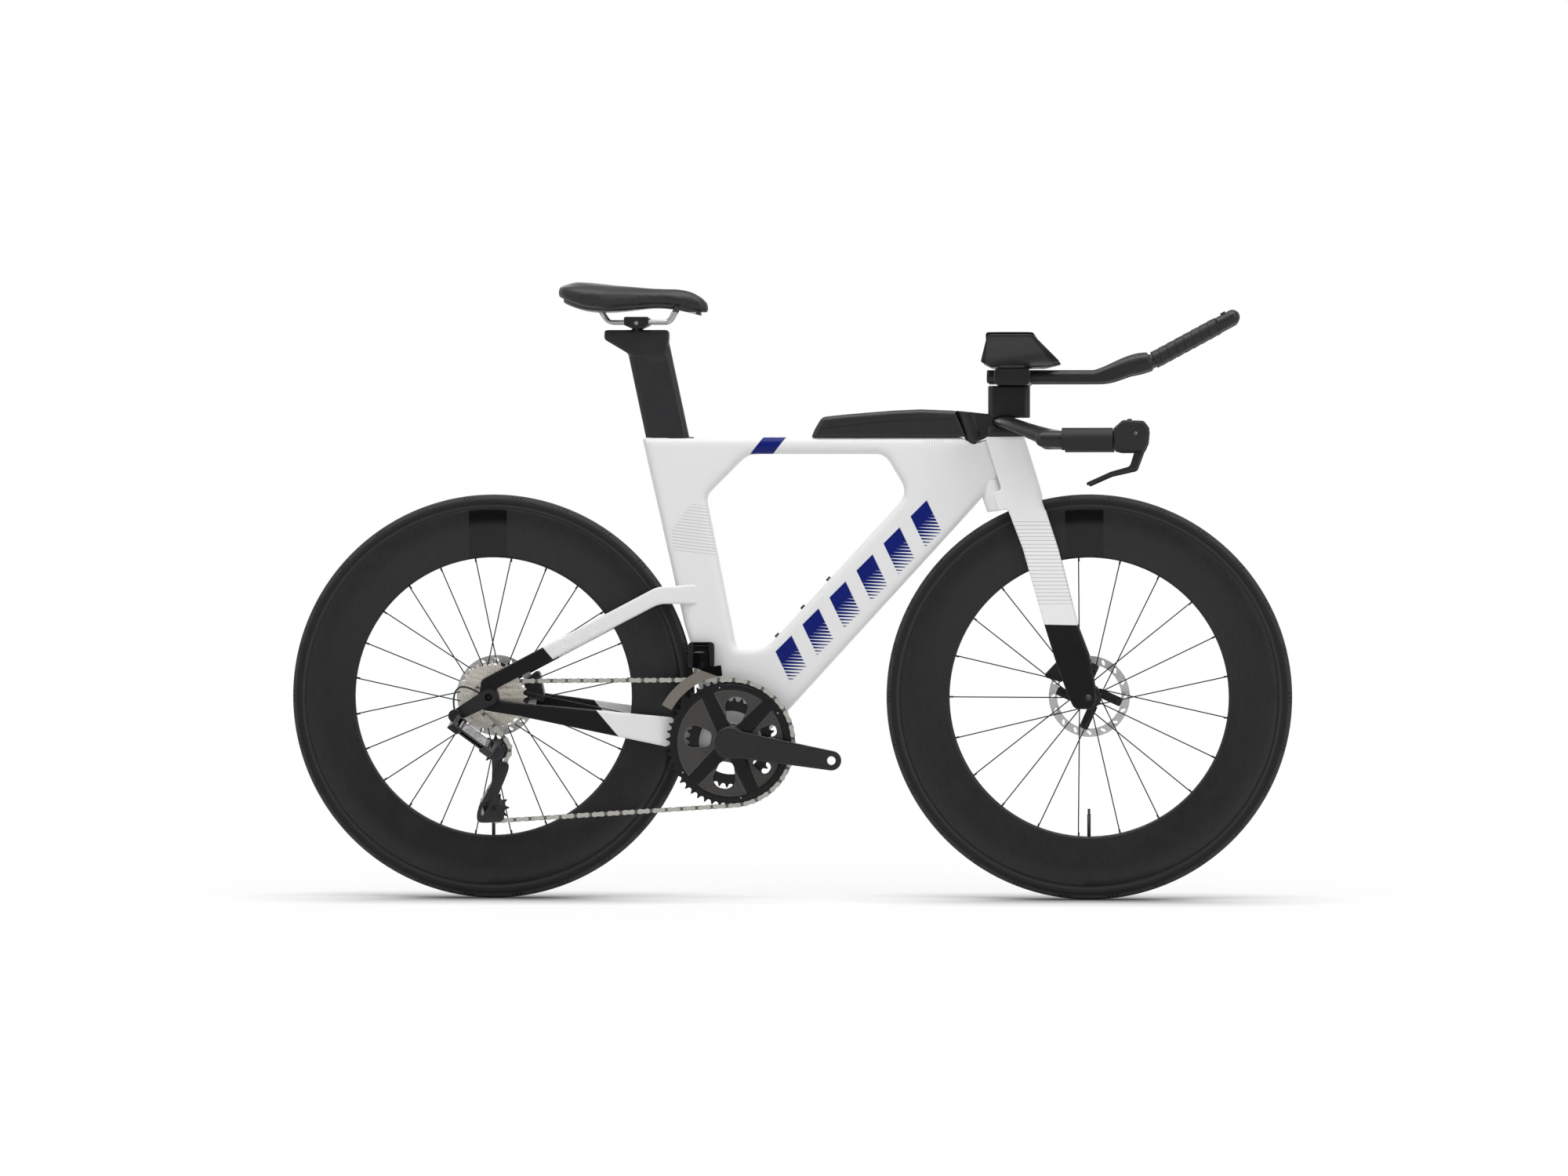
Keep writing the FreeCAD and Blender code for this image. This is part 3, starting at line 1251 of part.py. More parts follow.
def toothed_face(centre, teeth, phase, y):
    """Sprocket outline: a round seat for a roller in each gap and a pointed tooth between gaps."""
    radius = pitch_radius(teeth)
    seat = ROLLER_RADIUS + TOOTH_SEAT_CLEARANCE
    middle = shifted(centre, y)
    step = 360 / teeth
    edges = []
    gaps = []
    for index in range(teeth):
        angle = phase + step * index
        place = polar(middle, radius, angle)
        start = polar(place, seat, angle + 180 + TOOTH_SEAT_ANGLE)
        bottom = polar(place, seat, angle + 180)
        end = polar(place, seat, angle + 180 - TOOTH_SEAT_ANGLE)
        gaps.append((start, bottom, end))
    for index in range(teeth):
        start, bottom, end = gaps[index]
        crest = polar(middle, radius + TOOTH_TIP_HEIGHT, phase + step * index + step / 2)
        across = heading(phase + step * index + step / 2 + 90) * (TOOTH_TIP_WIDTH / 2)
        following = gaps[(index + 1) % teeth][0]
        edges.append(Part.Arc(start, bottom, end).toShape())
        edges.append(Part.LineSegment(end, crest - across).toShape())
        edges.append(Part.LineSegment(crest - across, crest + across).toShape())
        edges.append(Part.LineSegment(crest + across, following).toShape())
    return Part.Face(Part.Wire(edges))


def sprocket(centre, teeth, phase, offset, thickness, bore):
    low = offset - thickness / 2
    plate = toothed_face(centre, teeth, phase, low).extrude(ALONG_Y * thickness)
    return plate.cut(disc(centre, bore, low, low + thickness))


def sprocket_offset(index):
    return -CASSETTE_OUTER_OFFSET + CASSETTE_SPACING * index


used_sprocket = CASSETTE_TEETH.index(USED_SPROCKET_TEETH)
drive_y = sprocket_offset(used_sprocket)
guide_centre = rear_axle - Vector(GUIDE_BEHIND_AXLE, 0, GUIDE_BELOW_AXLE)
cage_pivot = guide_centre - ALONG_Z * CAGE_PIVOT_DROP


def touch_line(centre, radius, turn, other, other_radius, other_turn):
    """Straight run from one pitch circle to the next; a turn is 1 for clockwise in side view, else -1."""
    apart = other - centre
    length = apart.Length
    tilt = math.asin((turn * radius - other_turn * other_radius) / length)
    direction = math.degrees(math.atan2(apart.z, apart.x))
    normal = direction + 90 - math.degrees(tilt)
    leave = polar(centre, turn * radius, normal)
    join = polar(other, other_turn * other_radius, normal)
    return leave, join


def tension_centre(lean):
    return polar(guide_centre, PULLEY_DISTANCE, 180 + lean)


def chain_circles(lean):
    """Circles that the chain visits in its running order, with their turn and Y place."""
    pulley = pitch_radius(PULLEY_TEETH)
    return [
        (bb, pitch_radius(BIG_RING_TEETH), 1, BIG_RING_TEETH, big_ring_y),
        (tension_centre(lean), pulley, 1, PULLEY_TEETH, drive_y),
        (guide_centre, pulley, -1, PULLEY_TEETH, drive_y),
        (rear_axle, pitch_radius(USED_SPROCKET_TEETH), 1, USED_SPROCKET_TEETH, drive_y),
    ]


def chain_runs(lean):
    """Runs and wraps of the chain, counted in links."""
    circles = chain_circles(lean)
    count = len(circles)
    lines = []
    for index in range(count):
        centre, radius, turn, teeth, y = circles[index]
        other, other_radius, other_turn, other_teeth, other_y = circles[(index + 1) % count]
        leave, join = touch_line(centre, radius, turn, other, other_radius, other_turn)
        lines.append((shifted(leave, y), shifted(join, other_y)))
    spans = []
    for index in range(count):
        centre, radius, turn, teeth, y = circles[index]
        arrive = lines[index - 1][1]
        leave = lines[index][0]
        first = math.degrees(math.atan2(arrive.z - centre.z, arrive.x - centre.x))
        last = math.degrees(math.atan2(leave.z - centre.z, leave.x - centre.x))
        wrap = (turn * (first - last)) % 360
        spans.append(("wrap", centre, radius, turn, teeth, y, first, wrap * teeth / 360))
        start, end = lines[index]
        spans.append(("run", start, end, (end - start).Length / CHAIN_PITCH))
    return spans


def chain_links(lean):
    return sum(span[-1] for span in chain_runs(lean))


def settled_lean():
    """Cage lean at which the chain closes on a whole, even number of links."""
    wanted = 2 * round(chain_links(CAGE_LEAN_ANGLE) / 2)
    low = CAGE_LEAN_ANGLE - CAGE_LEAN_RANGE_ANGLE
    high = CAGE_LEAN_ANGLE + CAGE_LEAN_RANGE_ANGLE
    rising = chain_links(high) > chain_links(low)
    for step in range(CAGE_LEAN_STEP_COUNT):
        middle = (low + high) / 2
        if (chain_links(middle) > wanted) == rising:
            high = middle
        else:
            low = middle
    return middle


cage_lean = settled_lean()
tension_place = tension_centre(cage_lean)


def chain_place(spans, reach):
    """Roller centre at a number of links along the chain."""
    for span in spans:
        if reach <= span[-1]:
            break
        reach -= span[-1]
    if span[0] == "run":
        start, end = span[1], span[2]
        share = reach / span[-1]
        drift = (share - RUN_LEVEL_SHARE) / (1 - RUN_LEVEL_SHARE * 2)
        level = start.y + (end.y - start.y) * min(max(drift, 0), 1)
        return shifted(start + (end - start) * share, level)
    kind, centre, radius, turn, teeth, y, first, links = span
    return shifted(polar(centre, radius, first - turn * 360 / teeth * reach), y)


def link_solids(start, end, outer):
    """Inner link with two rollers, or outer link with two pins, between two roller centres."""
    along = (end - start).normalize()
    side = ALONG_Y - along * along.dot(ALONG_Y)
    side.normalize()
    upright = side.cross(along).normalize()
    middle = (start + end) * (1 / 2)
    head = middle + along * (CHAIN_PITCH / 2)
    tail = middle - along * (CHAIN_PITCH / 2)
    half = CHAIN_INNER_WIDTH / 2
    gap = CHAIN_PLATE + CHAIN_PLATE_GAP if outer else 0
    low = half + gap
    high = low + CHAIN_PLATE
    round_end = CHAIN_PLATE_HEIGHT / 2
    waist = round_end * 3 / 4
    back, rise = CHAIN_PLATE_END_SHARES
    pieces = []
    for lean in (1, -1):
        shift = side * (lean * low)
        ends = []
        for place, toward in ((tail, -1), (head, 1)):
            tip = place + along * (toward * round_end) + shift
            base = place + shift - along * (toward * round_end * back)
            ends.append((base + upright * (round_end * rise), tip, base - upright * (round_end * rise)))
        first, second = ends
        top = middle + shift + upright * waist
        foot = middle + shift - upright * waist
        edges = [
            Part.Arc(first[2], first[1], first[0]).toShape(),
            Part.Arc(first[0], top, second[0]).toShape(),
            Part.Arc(second[0], second[1], second[2]).toShape(),
            Part.Arc(second[2], foot, first[2]).toShape(),
        ]
        pieces.append(Part.Face(Part.Wire(edges)).extrude(side * (lean * CHAIN_PLATE)))
    for place in (tail, head):
        if outer:
            pieces.append(rod(place - side * high, place + side * high, CHAIN_PIN_RADIUS))
        else:
            pieces.append(rod(place - side * low, place + side * low, ROLLER_RADIUS))
    link = pieces[0].multiFuse(pieces[1:])
    if outer:
        return link
    bore = CHAIN_PIN_RADIUS + CHAIN_PIN_CLEARANCE
    for place in (tail, head):
        link = link.cut(rod(place - side * high * 2, place + side * high * 2, bore))
    return link


def chain():
    spans = chain_runs(cage_lean)
    count = round(sum(span[-1] for span in spans))
    places = [chain_place(spans, index) for index in range(count)]
    links = []
    for index in range(count):
        links.append(link_solids(places[index], places[(index + 1) % count], index % 2 == 1))
    print("chain links", count, "cage lean", round(cage_lean, 2))
    return links


def tooth_phase(centre, teeth):
    """Angle of one roller that lies on this sprocket's pitch circle."""
    spans = chain_runs(cage_lean)
    passed = 0
    for span in spans:
        if span[0] == "wrap" and (span[1] - centre).Length < SHAFT_CLEARANCE:
            start = math.ceil(passed) - passed
            return span[6] - span[3] * 360 / teeth * start
        passed += span[-1]
    return 0


def cassette():
    """Twelve sprockets with spacers and lock ring on the freehub body."""
    pieces = []
    last = len(CASSETTE_TEETH) - 1
    bore = FREEHUB_RADIUS + SEAT_GAP
    for index, teeth in enumerate(CASSETTE_TEETH):
        y = sprocket_offset(index)
        phase = tooth_phase(rear_axle, teeth) if index == used_sprocket else 360 / teeth / 2
        cog = sprocket(rear_axle, teeth, phase, y, SPROCKET_THICKNESS, bore)
        web = pitch_radius(teeth) - ROLLER_RADIUS - CASSETTE_SPACER_RADIUS
        if web > RING_BAND / 2:
            ring = CASSETTE_SPACER_RADIUS + web / 2
            hole = min(web / 3, ring * math.pi / CASSETTE_HOLE_COUNT * 3 / 4)
            holes = []
            for turn in range(CASSETTE_HOLE_COUNT):
                place = polar(rear_axle, ring, 360 / CASSETTE_HOLE_COUNT * turn)
                holes.append(disc(place, hole, y - SPROCKET_THICKNESS, y + SPROCKET_THICKNESS))
            cog = cog.cut(Part.makeCompound(holes))
        pieces.append(cog)
        if index < last:
            low = y + SPROCKET_THICKNESS / 2
            high = sprocket_offset(index + 1) - SPROCKET_THICKNESS / 2
            spacer = disc(rear_axle, CASSETTE_SPACER_RADIUS, low, high)
            pieces.append(spacer.cut(disc(rear_axle, bore, low, high)))
    outer = sprocket_offset(0) - SPROCKET_THICKNESS / 2
    inner = sprocket_offset(last) + SPROCKET_THICKNESS / 2
    hollow = HUB_CAP_RADIUS + SHAFT_CLEARANCE
    body = disc(rear_axle, FREEHUB_RADIUS, outer, inner).cut(disc(rear_axle, hollow, outer, inner))
    lock = disc(rear_axle, CASSETTE_SPACER_RADIUS, outer - LOCKRING_WIDTH, outer)
    lock = lock.cut(disc(rear_axle, hollow, outer - LOCKRING_WIDTH, outer))
    return pieces + [body, lock]


def crank_blank():
    """Crank arm along +X from its axle, tapering in both views, at the right side of the bike."""
    root = CRANK_ROOT_WIDTH / 2
    tip = CRANK_END_WIDTH / 2
    end = Vector(CRANK_LENGTH, 0, 0)
    low = -pedal_face_offset - CUT_OVERRUN
    blade = side_solid(
        [Vector(0, 0, -root), Vector(CRANK_LENGTH, 0, -tip), Vector(CRANK_LENGTH, 0, tip), Vector(0, 0, root)],
        [0, 0, 0, 0],
        low,
        0,
    )
    blade = joined([blade, disc(end, tip, low, 0), disc(MIDDLE, CRANK_BOSS_RADIUS, low, 0)])
    tail = -CRANK_BOSS_RADIUS * 2
    far = CRANK_LENGTH + CRANK_END_WIDTH
    outer_root = crank_arm_inside + CRANK_ARM_THICKNESS
    end_inside = pedal_face_offset - CRANK_END_THICKNESS
    shoulder = CRANK_LENGTH - CRANK_END_WIDTH
    plan = [
        (tail, -crank_arm_inside),
        (CRANK_ROOT_WIDTH, -crank_arm_inside),
        (shoulder, -end_inside),
        (far, -end_inside),
        (far, -pedal_face_offset),
        (shoulder, -pedal_face_offset),
        (CRANK_ROOT_WIDTH, -outer_root),
        (tail, -outer_root),
    ]
    bend = CRANK_ROOT_WIDTH
    view = plan_solid(plan, [0, bend, bend, 0, 0, bend, bend, 0], -CRANK_ROOT_WIDTH, CRANK_ROOT_WIDTH)
    blade = blade.common(view).removeSplitter()
    return blade.cut(disc(end, PEDAL_THREAD_RADIUS, low, 0))


def carrier_window(angle, reaches, widths, rounds, low, high):
    """Rounded window in the ring carrier, wider away from the spindle."""
    along = heading(angle)
    across = heading(angle + 90)
    near = along * reaches[0]
    far = along * reaches[1]
    narrow = across * (widths[0] / 2)
    wide = across * (widths[1] / 2)
    corners = [near - narrow, far - wide, far + wide, near + narrow]
    return side_solid(corners, [rounds[0], rounds[1], rounds[1], rounds[0]], low, high)


def ring_carrier(low, high):
    """Dish whose rim seats the big ring, with windows between the spider's arms."""
    radius = SPIDER_REACH + CARRIER_BEYOND_ARMS
    recess = disc(MIDDLE, radius - CARRIER_RIM_WIDTH, low, high - CARRIER_WEB)
    dish = disc(MIDDLE, radius, low, high).cut(recess)
    for angle in WINDOW_ANGLES:
        dish = dish.cut(carrier_window(angle, WINDOW_REACHES, WINDOW_WIDTHS, WINDOW_ROUNDS, low, high))
    for angle in SMALL_WINDOW_ANGLES:
        reaches = SMALL_WINDOW_REACHES
        dish = dish.cut(carrier_window(angle, reaches, SMALL_WINDOW_WIDTHS, SMALL_WINDOW_ROUNDS, low, high))
    return dish


def crank_arm_right():
    """Right arm, the spider with its ring carrier and posts, and the spindle that is bonded into the arm."""
    seat_low = -crank_arm_inside - SPIDER_THICKNESS
    bore = disc(MIDDLE, SPINDLE_RADIUS + SHAFT_CLEARANCE, seat_low - SEAT_GAP, 0)
    arm = crank_blank().cut(bore)
    spider_low = big_ring_y - SPROCKET_THICKNESS / 2 - SPIDER_THICKNESS
    spider_high = spider_low + SPIDER_THICKNESS
    boss = disc(MIDDLE, CRANK_BOSS_RADIUS, SHAFT_CLEARANCE - crank_arm_inside, spider_high)
    pieces = [boss, ring_carrier(spider_low, spider_high)]
    for angle in SPIDER_ARM_ANGLES:
        along = heading(angle)
        across = heading(angle + 90)
        tip = along * SPIDER_REACH
        wide = across * (SPIDER_ARM_WIDTH / 2)
        narrow = across * (SPIDER_TIP_WIDTH / 2)
        tip_round = SPIDER_TIP_WIDTH / 3
        corners = [-wide, tip - narrow, tip + narrow, wide]
        pieces.append(side_solid(corners, [0, tip_round, tip_round, 0], spider_low, spider_high))
        post_end = small_ring_y - SPROCKET_THICKNESS / 2
        pieces.append(disc(along * RING_POST_CIRCLE, RING_POST_RADIUS, spider_low, post_end))
    spider = joined(pieces).cut(bore)
    spindle = disc(MIDDLE, SPINDLE_RADIUS, seat_low, crank_arm_inside + CRANK_ARM_THICKNESS)
    return [spun(piece.translated(bb), -CRANK_DROP_ANGLE, bb) for piece in (arm, spider, spindle)]


def crank_arm_left():
    arm = mirrored(crank_blank()).cut(disc(MIDDLE, SPINDLE_RADIUS + SHAFT_CLEARANCE, 0, pedal_face_offset))
    return spun(arm.translated(bb), 180 - CRANK_DROP_ANGLE, bb)


def chainrings():
    big_bore = pitch_radius(BIG_RING_TEETH) - ROLLER_RADIUS - RING_BAND
    small_bore = pitch_radius(SMALL_RING_TEETH) - ROLLER_RADIUS - SMALL_RING_BAND
    phase = tooth_phase(bb, BIG_RING_TEETH)
    big = sprocket(bb, BIG_RING_TEETH, phase, big_ring_y, SPROCKET_THICKNESS, big_bore)
    small = sprocket(bb, SMALL_RING_TEETH, 0, small_ring_y, SPROCKET_THICKNESS, small_bore)
    return [big, small]


def bottom_bracket():
    """Pair of pressed-in bearings with their outer flanges."""
    half = BB_SHELL_WIDTH / 2
    bore = SPINDLE_RADIUS + SHAFT_CLEARANCE
    cups = []
    for side in (1, -1):
        inner = side * (half - BB_BEARING_WIDTH)
        outer = side * half
        lip = side * (half + BB_CUP_FLANGE)
        cup = disc(bb, BB_BORE_RADIUS - SHAFT_CLEARANCE, min(inner, outer), max(inner, outer))
        cup = cup.fuse(disc(bb, BB_CUP_RADIUS, min(outer, lip), max(outer, lip)))
        cups.append(cup.cut(disc(bb, bore, -BB_SHELL_WIDTH, BB_SHELL_WIDTH)))
    return cups


dropout_face = REAR_HUB_SPACING / 2 + DROPOUT_THICKNESS
hanger_end = rear_axle - Vector(HANGER_BEHIND, 0, HANGER_BELOW)


def derailleur_hanger():
    """Bracket on the right dropout that carries the derailleur behind and below the axle."""
    low = -dropout_face - HANGER_THICKNESS
    along = (hanger_end - rear_axle).normalize()
    across = Vector(-along.z, 0, along.x)
    start = rear_axle - along * HANGER_AXLE_RADIUS
    end = hanger_end + along * HANGER_END_RADIUS
    wide = across * HANGER_AXLE_RADIUS
    narrow = across * HANGER_END_RADIUS
    rounds = [HANGER_AXLE_RADIUS * HANGER_ROUND_SHARE, HANGER_END_RADIUS * HANGER_ROUND_SHARE]
    corners = [start - wide, end - narrow, end + narrow, start + wide]
    plate = side_solid(corners, [rounds[0], rounds[1], rounds[1], rounds[0]], low, -dropout_face)
    plate = plate.cut(disc(rear_axle, AXLE_RADIUS + SHAFT_CLEARANCE, low, -dropout_face))
    return plate


link_start = Vector(rear_axle.x - LINK_START_BEHIND, -LINK_START_OFFSET, rear_axle.z - LINK_START_BELOW)
link_end = Vector(rear_axle.x - LINK_END_BEHIND, -LINK_END_OFFSET, rear_axle.z - LINK_END_BELOW)
link_span = link_end - link_start
link_length = link_span.Length
link_along = Vector(link_span.x, link_span.y, link_span.z).normalize()
swing_in = math.sqrt(1 - LINK_SWING_DROP_SHARE * LINK_SWING_DROP_SHARE)
swing_back = (link_along.z * LINK_SWING_DROP_SHARE - link_along.y * swing_in) / link_along.x
link_swing = Vector(swing_back, swing_in, -LINK_SWING_DROP_SHARE).normalize()
link_axis = link_along.cross(link_swing).normalize()


def link_point(along, swing, axis):
    return link_start + link_along * along + link_swing * swing + link_axis * axis


def link_prism(corners, radii, low, high):
    """Outline in the plane of the links, thickened along their pins."""
    wire = rounded_wire([link_point(along, swing, low) for along, swing in corners], radii)
    return prism(wire, link_axis * (high - low))


def derailleur_link(side):
    """Outer (side -1) or inner (side 1) link of the parallelogram with an eye at each end."""
    half = LINK_WIDTH / 2 - SEAT_GAP
    middle = side * LINK_PIN_SPACING / 2
    thick = LINK_THICKNESS / 2
    eye = LINK_EAR_RADIUS - LINK_PIN_RADIUS / 2
    low = middle - thick
    high = middle + thick
    corners = [(0, low), (link_length, low), (link_length, high), (0, high)]
    bar = link_prism(corners, [0] * len(corners), -half, half)
    for place in (0, link_length):
        bar = bar.fuse(rod(link_point(place, middle, -half), link_point(place, middle, half), eye))
    bar = bar.removeSplitter()
    for place in (0, link_length):
        bore = LINK_PIN_RADIUS + SHAFT_CLEARANCE
        bar = bar.cut(rod(link_point(place, middle, -half), link_point(place, middle, half), bore))
    return bar


def link_fork(place, toward):
    """Pair of ears with their two pins, closed by a block beyond the links' ends."""
    half = LINK_WIDTH / 2
    outer = half + LINK_EAR_THICKNESS
    spread = LINK_PIN_SPACING / 2 + LINK_EAR_RADIUS
    near = place - toward * LINK_EAR_RADIUS
    far = place + toward * (LINK_EAR_REACH + LINK_BLOCK_LENGTH)
    start = place + toward * LINK_EAR_REACH
    corners = [(near, -spread), (far, -spread), (far, spread), (near, spread)]
    ear_round = LINK_EAR_RADIUS * LINK_ROUND_SHARE
    rounds = [ear_round, LINK_PIN_RADIUS, LINK_PIN_RADIUS, ear_round]
    pieces = [link_prism(corners, rounds, half, outer), link_prism(corners, rounds, -outer, -half)]
    block = [(start, -spread), (far, -spread), (far, spread), (start, spread)]
    pieces.append(link_prism(block, [0, LINK_PIN_RADIUS, LINK_PIN_RADIUS, 0], -outer, outer))
    for side in (1, -1):
        swing = side * LINK_PIN_SPACING / 2
        pieces.append(rod(link_point(place, swing, -outer), link_point(place, swing, outer), LINK_PIN_RADIUS))
    return pieces


def rd_base():
    """Fixed knuckle: a boss on the hanger's end and the fork for the upper link pins."""
    boss_low = -dropout_face - HANGER_THICKNESS - KNUCKLE_LENGTH
    boss = disc(hanger_end, HANGER_END_RADIUS + LINK_PIN_RADIUS, boss_low, -dropout_face - HANGER_THICKNESS)
    return joined(link_fork(0, -1) + [boss])


cage_outer = drive_y - CAGE_GAP - CAGE_PLATE
knuckle_face = cage_outer - RUNNING_GAP


def rd_knuckle():
    """Moving knuckle: the fork for the lower link pins and the bored barrel that the cage turns in."""
    barrel = disc(cage_pivot, KNUCKLE_RADIUS, knuckle_face - KNUCKLE_LENGTH, knuckle_face)
    bore_low = knuckle_face - KNUCKLE_LENGTH + CAGE_PLATE
    bore = disc(cage_pivot, CAGE_PIN_RADIUS + SHAFT_CLEARANCE, bore_low, knuckle_face)
    return joined(link_fork(link_length, 1) + [barrel]).cut(bore)


def cage_outline(grow):
    """Waisted plate outline round the guide and tension pulleys."""
    along = (tension_place - guide_centre).normalize()
    across = Vector(-along.z, 0, along.x)
    radius = CAGE_END_RADIUS + grow
    waist = radius * CAGE_WAIST_SHARE
    top = guide_centre - along * (radius + CAGE_PIVOT_DROP)
    end = tension_place + along * radius
    upper = guide_centre + along * (PULLEY_DISTANCE / 3)
    lower = guide_centre + along * (PULLEY_DISTANCE * 2 / 3)
    corners = [top - across * radius, upper - across * waist, lower - across * waist, end - across * radius]
    corners += [end + across * radius, lower + across * waist, upper + across * waist, top + across * radius]
    tight = radius * CAGE_ROUND_SHARE
    return corners, [tight, radius, radius, tight, tight, radius, radius, tight]


def rd_cage():
    """Two waisted plates held apart by the pulley pins, with the pivot pin on the outer one."""
    pieces = []
    for low in (cage_outer, drive_y + CAGE_GAP):
        corners, radii = cage_outline(0)
        pieces.append(side_solid(corners, radii, low, low + CAGE_PLATE))
    for place in (guide_centre, tension_place):
        pieces.append(disc(place, PULLEY_PIN_RADIUS, cage_outer, drive_y + CAGE_GAP + CAGE_PLATE))
    pin_low = knuckle_face - KNUCKLE_LENGTH + CAGE_PLATE + RUNNING_GAP
    pieces.append(disc(cage_pivot, CAGE_PIN_RADIUS, pin_low, cage_outer + CAGE_PLATE))
    return joined(pieces)


def pulley(centre):
    bore = PULLEY_PIN_RADIUS + SHAFT_CLEARANCE
    half = CAGE_GAP - RUNNING_GAP
    phase = tooth_phase(centre, PULLEY_TEETH)
    wheel = sprocket(centre, PULLEY_TEETH, phase, drive_y, SPROCKET_THICKNESS, bore)
    boss = disc(centre, PULLEY_HUB_RADIUS, drive_y - half, drive_y + half)
    return joined([wheel, boss]).cut(disc(centre, bore, drive_y - half, drive_y + half))


fd_corner = Vector(bb.x - FD_BODY_BEHIND_BB, 0, bb.z + FD_BODY_ABOVE_BB)
fd_outer = frame_half + FD_BODY_THICKNESS
fd_pin = Vector(fd_corner.x, -fd_outer + FD_PIN_RADIUS * 2, fd_corner.z + FD_BODY_HEIGHT / 2 - FD_PIN_DROP)


def front_derailleur_body():
    """Motor housing on the seat tube's right side with the swing pin of the cage."""
    half = FD_BODY_LENGTH / 2
    tall = FD_BODY_HEIGHT / 2
    corners = [
        fd_corner + Vector(-half, 0, -tall),
        fd_corner + Vector(half, 0, -tall),
        fd_corner + Vector(half, 0, tall),
        fd_corner + Vector(-half, 0, tall),
    ]
    body = side_solid(corners, [FD_BODY_ROUND] * 4, -fd_outer, -frame_half)
    room = FD_PIN_RADIUS * 2 + FD_ARM_THICKNESS / 2 + RUNNING_GAP
    reach = FD_ARM_LENGTH / 2 + RUNNING_GAP
    notch = [
        fd_pin + Vector(-reach, 0, -tall * 2),
        fd_pin + Vector(reach, 0, -tall * 2),
        fd_pin + Vector(reach, 0, room),
        fd_pin + Vector(-reach, 0, room),
    ]
    body = body.cut(side_solid(notch, [0] * 4, -fd_outer - CUT_OVERRUN, fd_pin.y + room))
    end = Vector(half - FD_BODY_ROUND / 2, 0, 0)
    return body.fuse(rod(fd_pin - end, fd_pin + end, FD_PIN_RADIUS)).removeSplitter()


def fd_sector(inner, outer, first, last, y_low, y_high):
    """Part of a ring about the bottom bracket between two angles."""
    middle = (first + last) / 2
    edges = [
        Part.Arc(polar(bb, outer, first), polar(bb, outer, middle), polar(bb, outer, last)).toShape(),
        Part.LineSegment(polar(bb, outer, last), polar(bb, inner, last)).toShape(),
        Part.Arc(polar(bb, inner, last), polar(bb, inner, middle), polar(bb, inner, first)).toShape(),
        Part.LineSegment(polar(bb, inner, first), polar(bb, outer, first)).toShape(),
    ]
    wire = Part.Wire(edges)
    wire.translate(ALONG_Y * y_low)
    return prism(wire, ALONG_Y * (y_high - y_low))


def front_derailleur_cage():
    """Two curved plates about the chain, bridged above it and behind it, on a swing arm."""
    inner = FD_CAGE_INNER_RADIUS
    outer = FD_CAGE_INNER_RADIUS + FD_CAGE_DEPTH
    near = big_ring_y - FD_CAGE_OUTSIDE - FD_CAGE_PLATE
    far = big_ring_y + FD_CAGE_INSIDE + FD_CAGE_PLATE
    pieces = [fd_sector(inner, outer, FD_CAGE_START_ANGLE, FD_CAGE_END_ANGLE, near, near + FD_CAGE_PLATE)]
    pieces.append(fd_sector(inner, outer, FD_CAGE_START_ANGLE, FD_CAGE_END_ANGLE, far - FD_CAGE_PLATE, far))
    tail = math.degrees(FD_CAGE_PLATE / outer) * 2
    pieces.append(fd_sector(inner, outer, FD_CAGE_END_ANGLE - tail, FD_CAGE_END_ANGLE, near, far))
    top_end = FD_CAGE_START_ANGLE + math.degrees(FD_BRIDGE / outer) * 2
    pieces.append(fd_sector(outer - FD_CAGE_PLATE, outer, FD_CAGE_START_ANGLE, top_end, near, far))
    half = FD_ARM_LENGTH / 2
    eye = FD_PIN_RADIUS * 2
    base = Vector(fd_pin.x - half, fd_pin.y, fd_pin.z)
    behind = bb.x - base.x
    foot = bb.z + math.sqrt(outer * outer - behind * behind) - FD_CAGE_PLATE * 2
    thick = FD_ARM_THICKNESS / 2
    corners = [
        base + Vector(0, thick, 0),
        base + Vector(0, -thick, 0),
        Vector(base.x, far - FD_ARM_THICKNESS, foot),
        Vector(base.x, far, foot),
    ]
    wire = Part.makePolygon(corners + corners[:1])
    pieces.append(prism(wire, ALONG_X * FD_ARM_LENGTH))
    pieces.append(rod(base, base + ALONG_X * FD_ARM_LENGTH, eye))
    arm = joined(pieces)
    bore = FD_PIN_RADIUS + SHAFT_CLEARANCE
    return arm.cut(rod(base - ALONG_X * half, base + ALONG_X * (FD_ARM_LENGTH + half), bore))


def front_hub():
    core = FRONT_HUB_SPACING / 2 - HUB_CAP_LENGTH
    flange = (FRONT_FLANGE_RADIUS, FRONT_FLANGE_WIDTH, FRONT_FLANGE_RIGHT, FRONT_FLANGE_LEFT)
    sizes = (FRONT_HUB_BODY_RADIUS,) + flange
    return hub(front_axle, FRONT_HUB_SPACING, *sizes, core)


def rear_hub():
    """Rear hub, whose long right core carries the freehub body."""
    core = -sprocket_offset(len(CASSETTE_TEETH) - 1) - SPROCKET_THICKNESS / 2 - RUNNING_GAP
    sizes = (REAR_HUB_BODY_RADIUS, REAR_FLANGE_RADIUS, REAR_FLANGE_WIDTH, REAR_FLANGE_RIGHT, REAR_FLANGE_LEFT)
    return hub(rear_axle, REAR_HUB_SPACING, *sizes, core)


def wheel_spokes(axle, sets, front):
    """Crossed spokes on the front wheel's left and the rear wheel's right, radial ones on the other side."""
    if front:
        return spokes(axle, sets, -1, FRONT_FLANGE_RIGHT, FRONT_FLANGE_LEFT, FRONT_FLANGE_RADIUS)
    return spokes(axle, sets, 1, REAR_FLANGE_LEFT, REAR_FLANGE_RIGHT, REAR_FLANGE_RADIUS)


